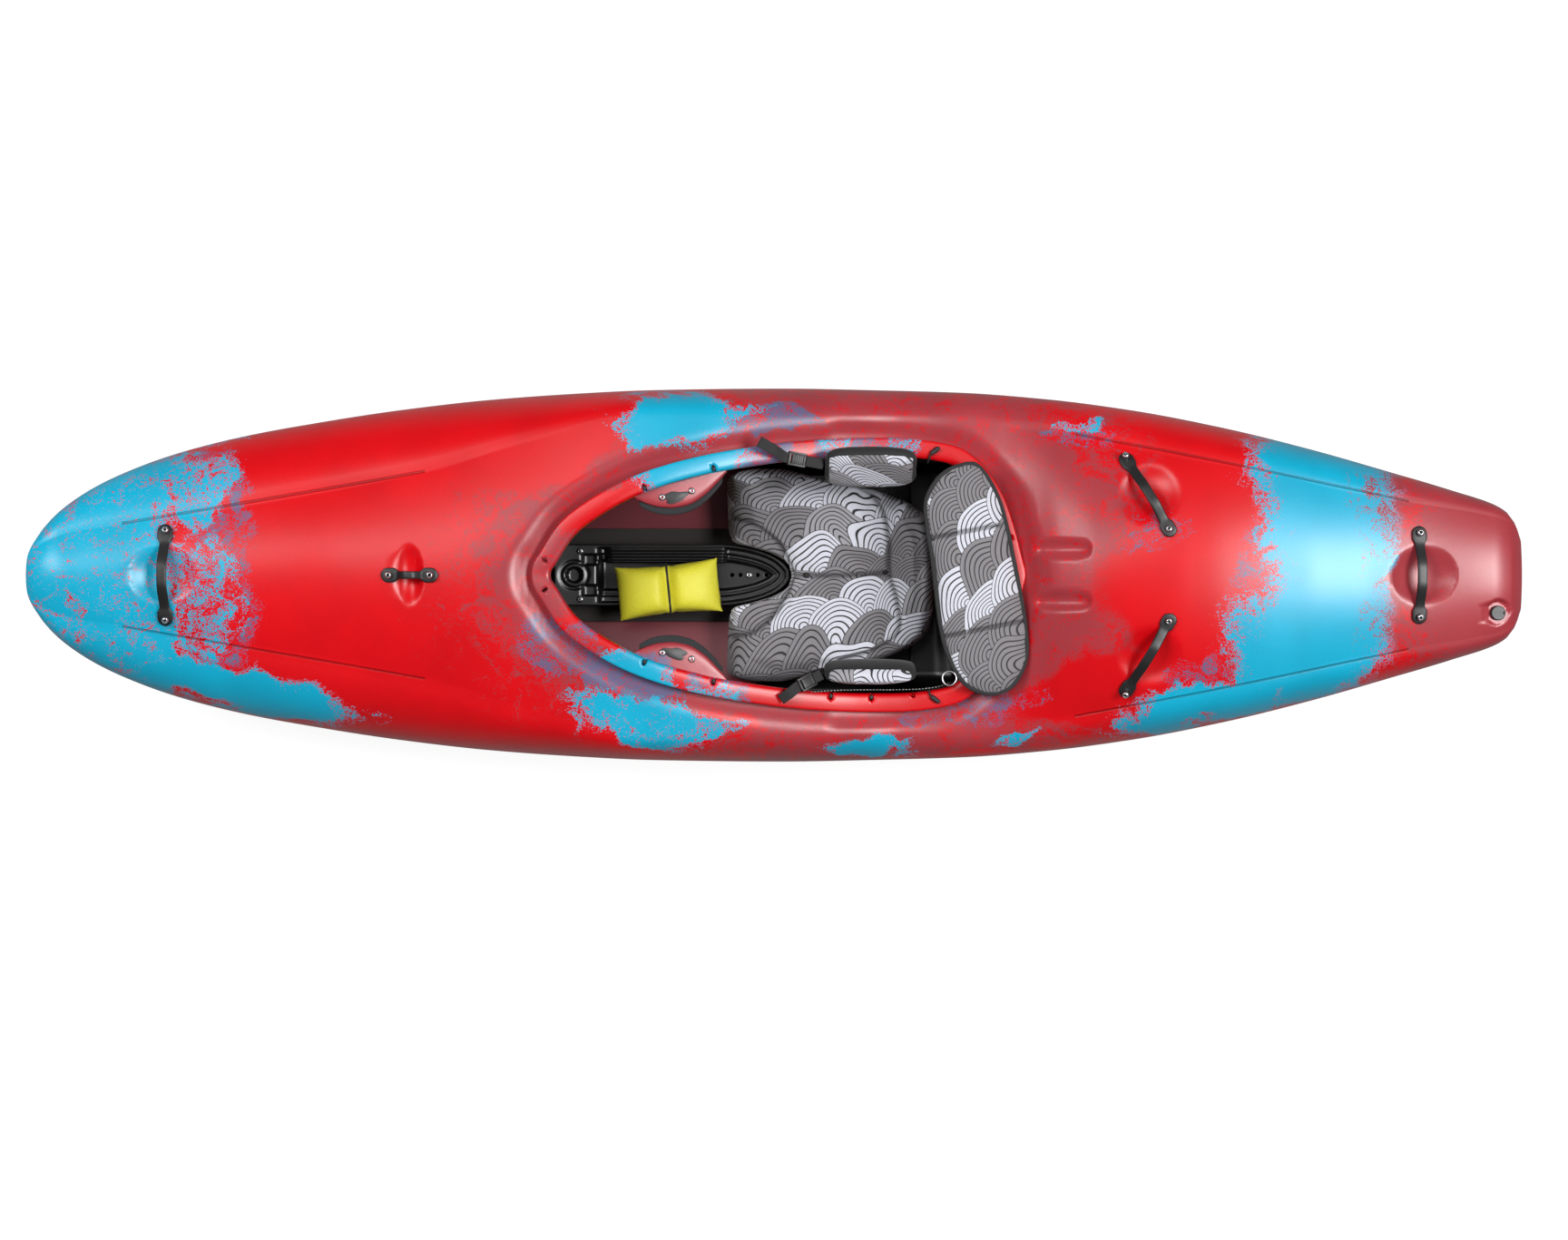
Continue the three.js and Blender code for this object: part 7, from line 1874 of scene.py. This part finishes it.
for word, shares in hip_straps.items():
    start, middle, tip = (Vector(p) * HULL_HEIGHT for p in shares)
    along = (middle - start).normalized()
    across = Vector((0, 0, 1)).cross(along).normalized()
    up = along.cross(across)
    place = Matrix((along, across, up)).transposed().to_4x4()
    place.translation = middle
    edge_bevel(add_piece("cam_buckle_" + word, buckle_form(place), handle_nylon,
                         "seat", "black_plastic", "hip_buckle_" + word), 0.0008, 3)
    reach = BUCKLE_LENGTH / 2 + EDGE_GAP
    slant = (abs(across.x) * WEBBING_WIDTH + abs(up.x) * WEBBING_THICKNESS) / 2
    root = start + along * (2 * EDGE_GAP + slant) / abs(along.x)
    near, far = middle - along * reach, middle + along * reach
    bend = far.lerp(tip, 0.5) + Vector((0, 0, WEBBING_WIDTH / 4))
    add_piece("hip_webbing_" + word, strap_form([root, root.lerp(near, 0.5), near], across, 10), webbing,
              "seat", "black_webbing", "hip_strap_" + word)
    tail_path = [far, far + along * WEBBING_WIDTH / 4, bend, tip]
    add_piece("hip_webbing_tail_" + word, strap_form(tail_path, across), webbing,
              "seat", "black_webbing", "hip_strap_tail_" + word)

# Backband straps climb from the coaming's wall to the backband's underside
BAND_STRAP_X = 0.335
BAND_STRAP_DROP = 0.042
BAND_SHELL_THICKNESS = 0.003
for side, word in SIDES:
    wall = float(opening_half(BAND_STRAP_X + WEBBING_WIDTH / 2)) - WEBBING_THICKNESS / 2 - 0.0006
    top = float(band_z(BAND_STRAP_X)) - BAND_SHELL_THICKNESS - WEBBING_THICKNESS / 2 - 0.0006
    path = [
        (BAND_STRAP_X, side * wall, top - BAND_STRAP_DROP),
        (BAND_STRAP_X, side * (wall - WEBBING_THICKNESS), top - BAND_STRAP_DROP / 3),
        (BAND_STRAP_X, side * (wall - WEBBING_WIDTH / 2), top),
        (BAND_STRAP_X, side * (wall - 1.6 * WEBBING_WIDTH), top),
    ]
    add_piece("backband_webbing_" + word, strap_form(path, (1, 0, 0)), webbing,
              "hull", "black_webbing", "backband_strap_" + word)

# A welded wire ring at the backband's port end
low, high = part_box("backband_ring")
ring_middle = (low + high) / 2
RING_RADIUS = 0.013
RING_WIRE = 0.003
bm = bmesh.new()
bmesh.ops.create_circle(bm, segments=14, radius=RING_WIRE / 2, cap_ends=False, matrix=(
    Matrix.Translation((RING_RADIUS, 0, 0)) @ Matrix.Rotation(math.pi / 2, 4, "X")))
bmesh.ops.spin(bm, geom=list(bm.verts) + list(bm.edges), cent=(0, 0, 0), axis=(0, 0, 1),
               angle=2 * math.pi, steps=56, use_merge=True)
bmesh.ops.remove_doubles(bm, verts=bm.verts, dist=1e-6)
bmesh.ops.recalc_face_normals(bm, faces=bm.faces)
bmesh.ops.translate(bm, verts=bm.verts, vec=ring_middle)
add_piece("backband_wire_ring", bm, stainless, "backband_ring", "stainless_steel", "backband_ring")

# Cord ends behind the hip pads: ribbed rubber knobs
KNOB_RADIUS = 0.005
KNOB_LENGTH = 0.02
KNOB_X = 0.281
knob_profile = [(0, 0), (0.62, 0.0)]
for k in range(6):
    knob_profile += [(0.8 + 0.1 * math.sin(0.5 * k), (k + 0.15) / 7),
                     (0.98 - 0.05 * (k == 5), (k + 0.55) / 7), (0.82, (k + 0.95) / 7)]
knob_profile += [(0.6, 0.97), (0.3, 1.0), (0, 1.0)]
for side, word in SIDES:
    y = side * (float(opening_half(KNOB_X)) + LIP_WIDTH / 2)
    turn = Vector((0, 0, 1)).rotation_difference(Vector((0.8, side * 0.6, 0))).to_matrix().to_4x4()
    spot = (KNOB_X, y - side * KNOB_LENGTH / 3, float(rim_z(KNOB_X)) + KNOB_RADIUS + EDGE_GAP)
    knob = add_object("cord_end_" + word, closed_up(turned(
        [(r * KNOB_RADIUS, h * KNOB_LENGTH) for r, h in knob_profile])), rubber)
    knob.data.transform(Matrix.Translation(spot) @ turn)
    finish_piece(knob, "hull", "rubber_gasket", "cord_knob_" + word)

# Skirt of the seat pan, which closes the sides and the rear round the cushion: a black sheet that also
# stands for the shade down between the cushion, the hip pads and the hull
SKIRT_Z = 0.0412
SKIRT_HALF = 0.229
SKIRT_REAR_X = 0.338
SKIRT_FRONT_X = -0.03
SKIRT_STEPS = (74, 92)
SKIRT_THICKNESS = 0.003
PAN_REAR_X = 0.2505
PAN_SIDE_Y = 0.1965


def skirt_place(i, j):
    x = SKIRT_FRONT_X + i / SKIRT_STEPS[0] * (SKIRT_REAR_X - SKIRT_FRONT_X)
    y = (2 * j / SKIRT_STEPS[1] - 1) * SKIRT_HALF
    x = np.where(np.abs(x - PAN_REAR_X) < 0.003, PAN_REAR_X, x)
    y = np.where(np.abs(np.abs(y) - PAN_SIDE_Y) < 0.003, np.sign(y) * PAN_SIDE_Y, y)
    z = SKIRT_Z + 0.03 * smooth((np.abs(y) - PAN_SIDE_Y) / 0.03) + 0.012 * smooth((x - 0.3) / 0.035)
    return np.stack([x, y, z], axis=1)


bm = grid_form(*SKIRT_STEPS, skirt_place)
middles = [(f, f.calc_center_median()) for f in bm.faces]
bmesh.ops.delete(bm, geom=[f for f, spot in middles if spot.x < PAN_REAR_X and abs(spot.y) < PAN_SIDE_Y],
                 context="FACES")
# Painted shade: this black sheet stands for the shade beside and behind the seat
skirt = add_object("seat_pan_skirt_and_shade_sheet", bm, beam_plastic)
plated(skirt, SKIRT_THICKNESS, 0)
finish_piece(skirt, "seat", "black_plastic")

# Pull tape along the port side of the cockpit to the ring, on its edge, with contrast stitches
PULL_TAPE_WIDTH = 0.011
PULL_TAPE_THICKNESS = 0.0022
PULL_STEPS = 60
pull_path = evenly([(*from_photo(px, py, z), z) for px, py, z in (
    (889, 763, 0.28), (915, 761, 0.276), (950, 760, 0.268), (985, 760, 0.26), (1015, 759, 0.257),
    (1036, 756, 0.258), (1047, 752, 0.266))], PULL_STEPS, False)
add_piece("backband_pull_tape", tube_form(swept(
    pull_path, (0, 0, 1), [PULL_TAPE_WIDTH] * PULL_STEPS, [PULL_TAPE_THICKNESS] * PULL_STEPS, 16, 6)),
    webbing, "hull", "black_webbing")
upper_edge = [spot + np.array((0, 0.0005, 0.0052)) for spot in pull_path]
add_piece("backband_pull_stitches", stitch_form(upper_edge, 0.0062, 0.0036, 0.0016), white_thread,
          "hull", "black_webbing")

# Short shock cords from the lip's knobs, over the lip's inner edge and into the coaming's wall
KNOB_CORD_DIAMETER = 0.0038
for side, word in SIDES:
    inner = float(opening_half(KNOB_X))
    level = float(rim_z(KNOB_X)) + KNOB_RADIUS + EDGE_GAP
    path = [(KNOB_X - ahead, side * (inner + out), level - drop) for ahead, out, drop in (
        (0, LIP_WIDTH / 2 - KNOB_LENGTH / 3, 0), (0.003, 0.004, 0.001), (0.005, -0.004, 0.009),
        (0.005, -0.004, 0.024), (0.004, 0.004, 0.03))]
    add_piece("knob_cord_" + word, cord_form(path, KNOB_CORD_DIAMETER, 36), webbing, "hull", "black_rubber")

# Floor and light
FLOOR_SIZE = 12
FLOOR_GAP_BELOW = 0.002
bm = bmesh.new()
bmesh.ops.create_grid(bm, x_segments=1, y_segments=1, size=FLOOR_SIZE / 2,
                      matrix=Matrix.Translation((0, 0, -FLOOR_GAP_BELOW)))
floor_paint, add, shader, _ = new_material("studio_floor", roughness=0.9)
path = add("ShaderNodeLightPath")
mirrored = add("ShaderNodeMath", {0: path.outputs["Is Glossy Ray"], 1: 0.1}, operation="MULTIPLY")
glow = add("ShaderNodeMath", {0: path.outputs["Is Camera Ray"], 1: 0.9, 2: mirrored},
           operation="MULTIPLY_ADD")
set_inputs(shader, {
    "Base Color": srgb("7C7C7C"), "Emission Color": (1, 1, 1, 1), "Emission Strength": glow})
floor = add_object("studio_floor", bm, floor_paint)

world = bpy.data.worlds.new("studio")
bpy.context.scene.world = world
world.use_nodes = True
backdrop = world.node_tree.nodes["Background"]
seen = add_node(world.node_tree, "ShaderNodeLightPath").outputs["Is Camera Ray"]
light = add_node(world.node_tree, "ShaderNodeMapRange", {"Value": seen, "To Min": 0.18, "To Max": 1.0})
set_inputs(backdrop, {"Color": srgb("FFFFFF"), "Strength": light})


def area_light(name, size, power, spot, aim):
    data = bpy.data.lights.new(name, "AREA")
    data.shape = "RECTANGLE"
    data.size, data.size_y = size
    data.energy = power
    lamp = linked(name, data)
    lamp.location = spot
    lamp.rotation_euler = (Vector(aim) - Vector(spot)).to_track_quat("-Z", "Y").to_euler()
    return lamp


area_light("bow_softbox", (1.5, 2.2), 125, (-2.75, 1.45, 4.4), (-0.2, 0, 0.2))
area_light("stern_softbox", (1.7, 1.4), 138, (2.75, 0.2, 4.5), (0.2, 0, 0.2))
# A second box over the stern that is only mirrored, as a broad sheen on the deck there
area_light("stern_sheen", (2.6, 2.2), 230, (3.1, 0.35, 4.4), (0.6, 0, 0.2)).visible_diffuse = False
area_light("overhead", (2.4, 1.2), 50, (-0.9, 1.5, 6.0), (0, 0, 0.2))
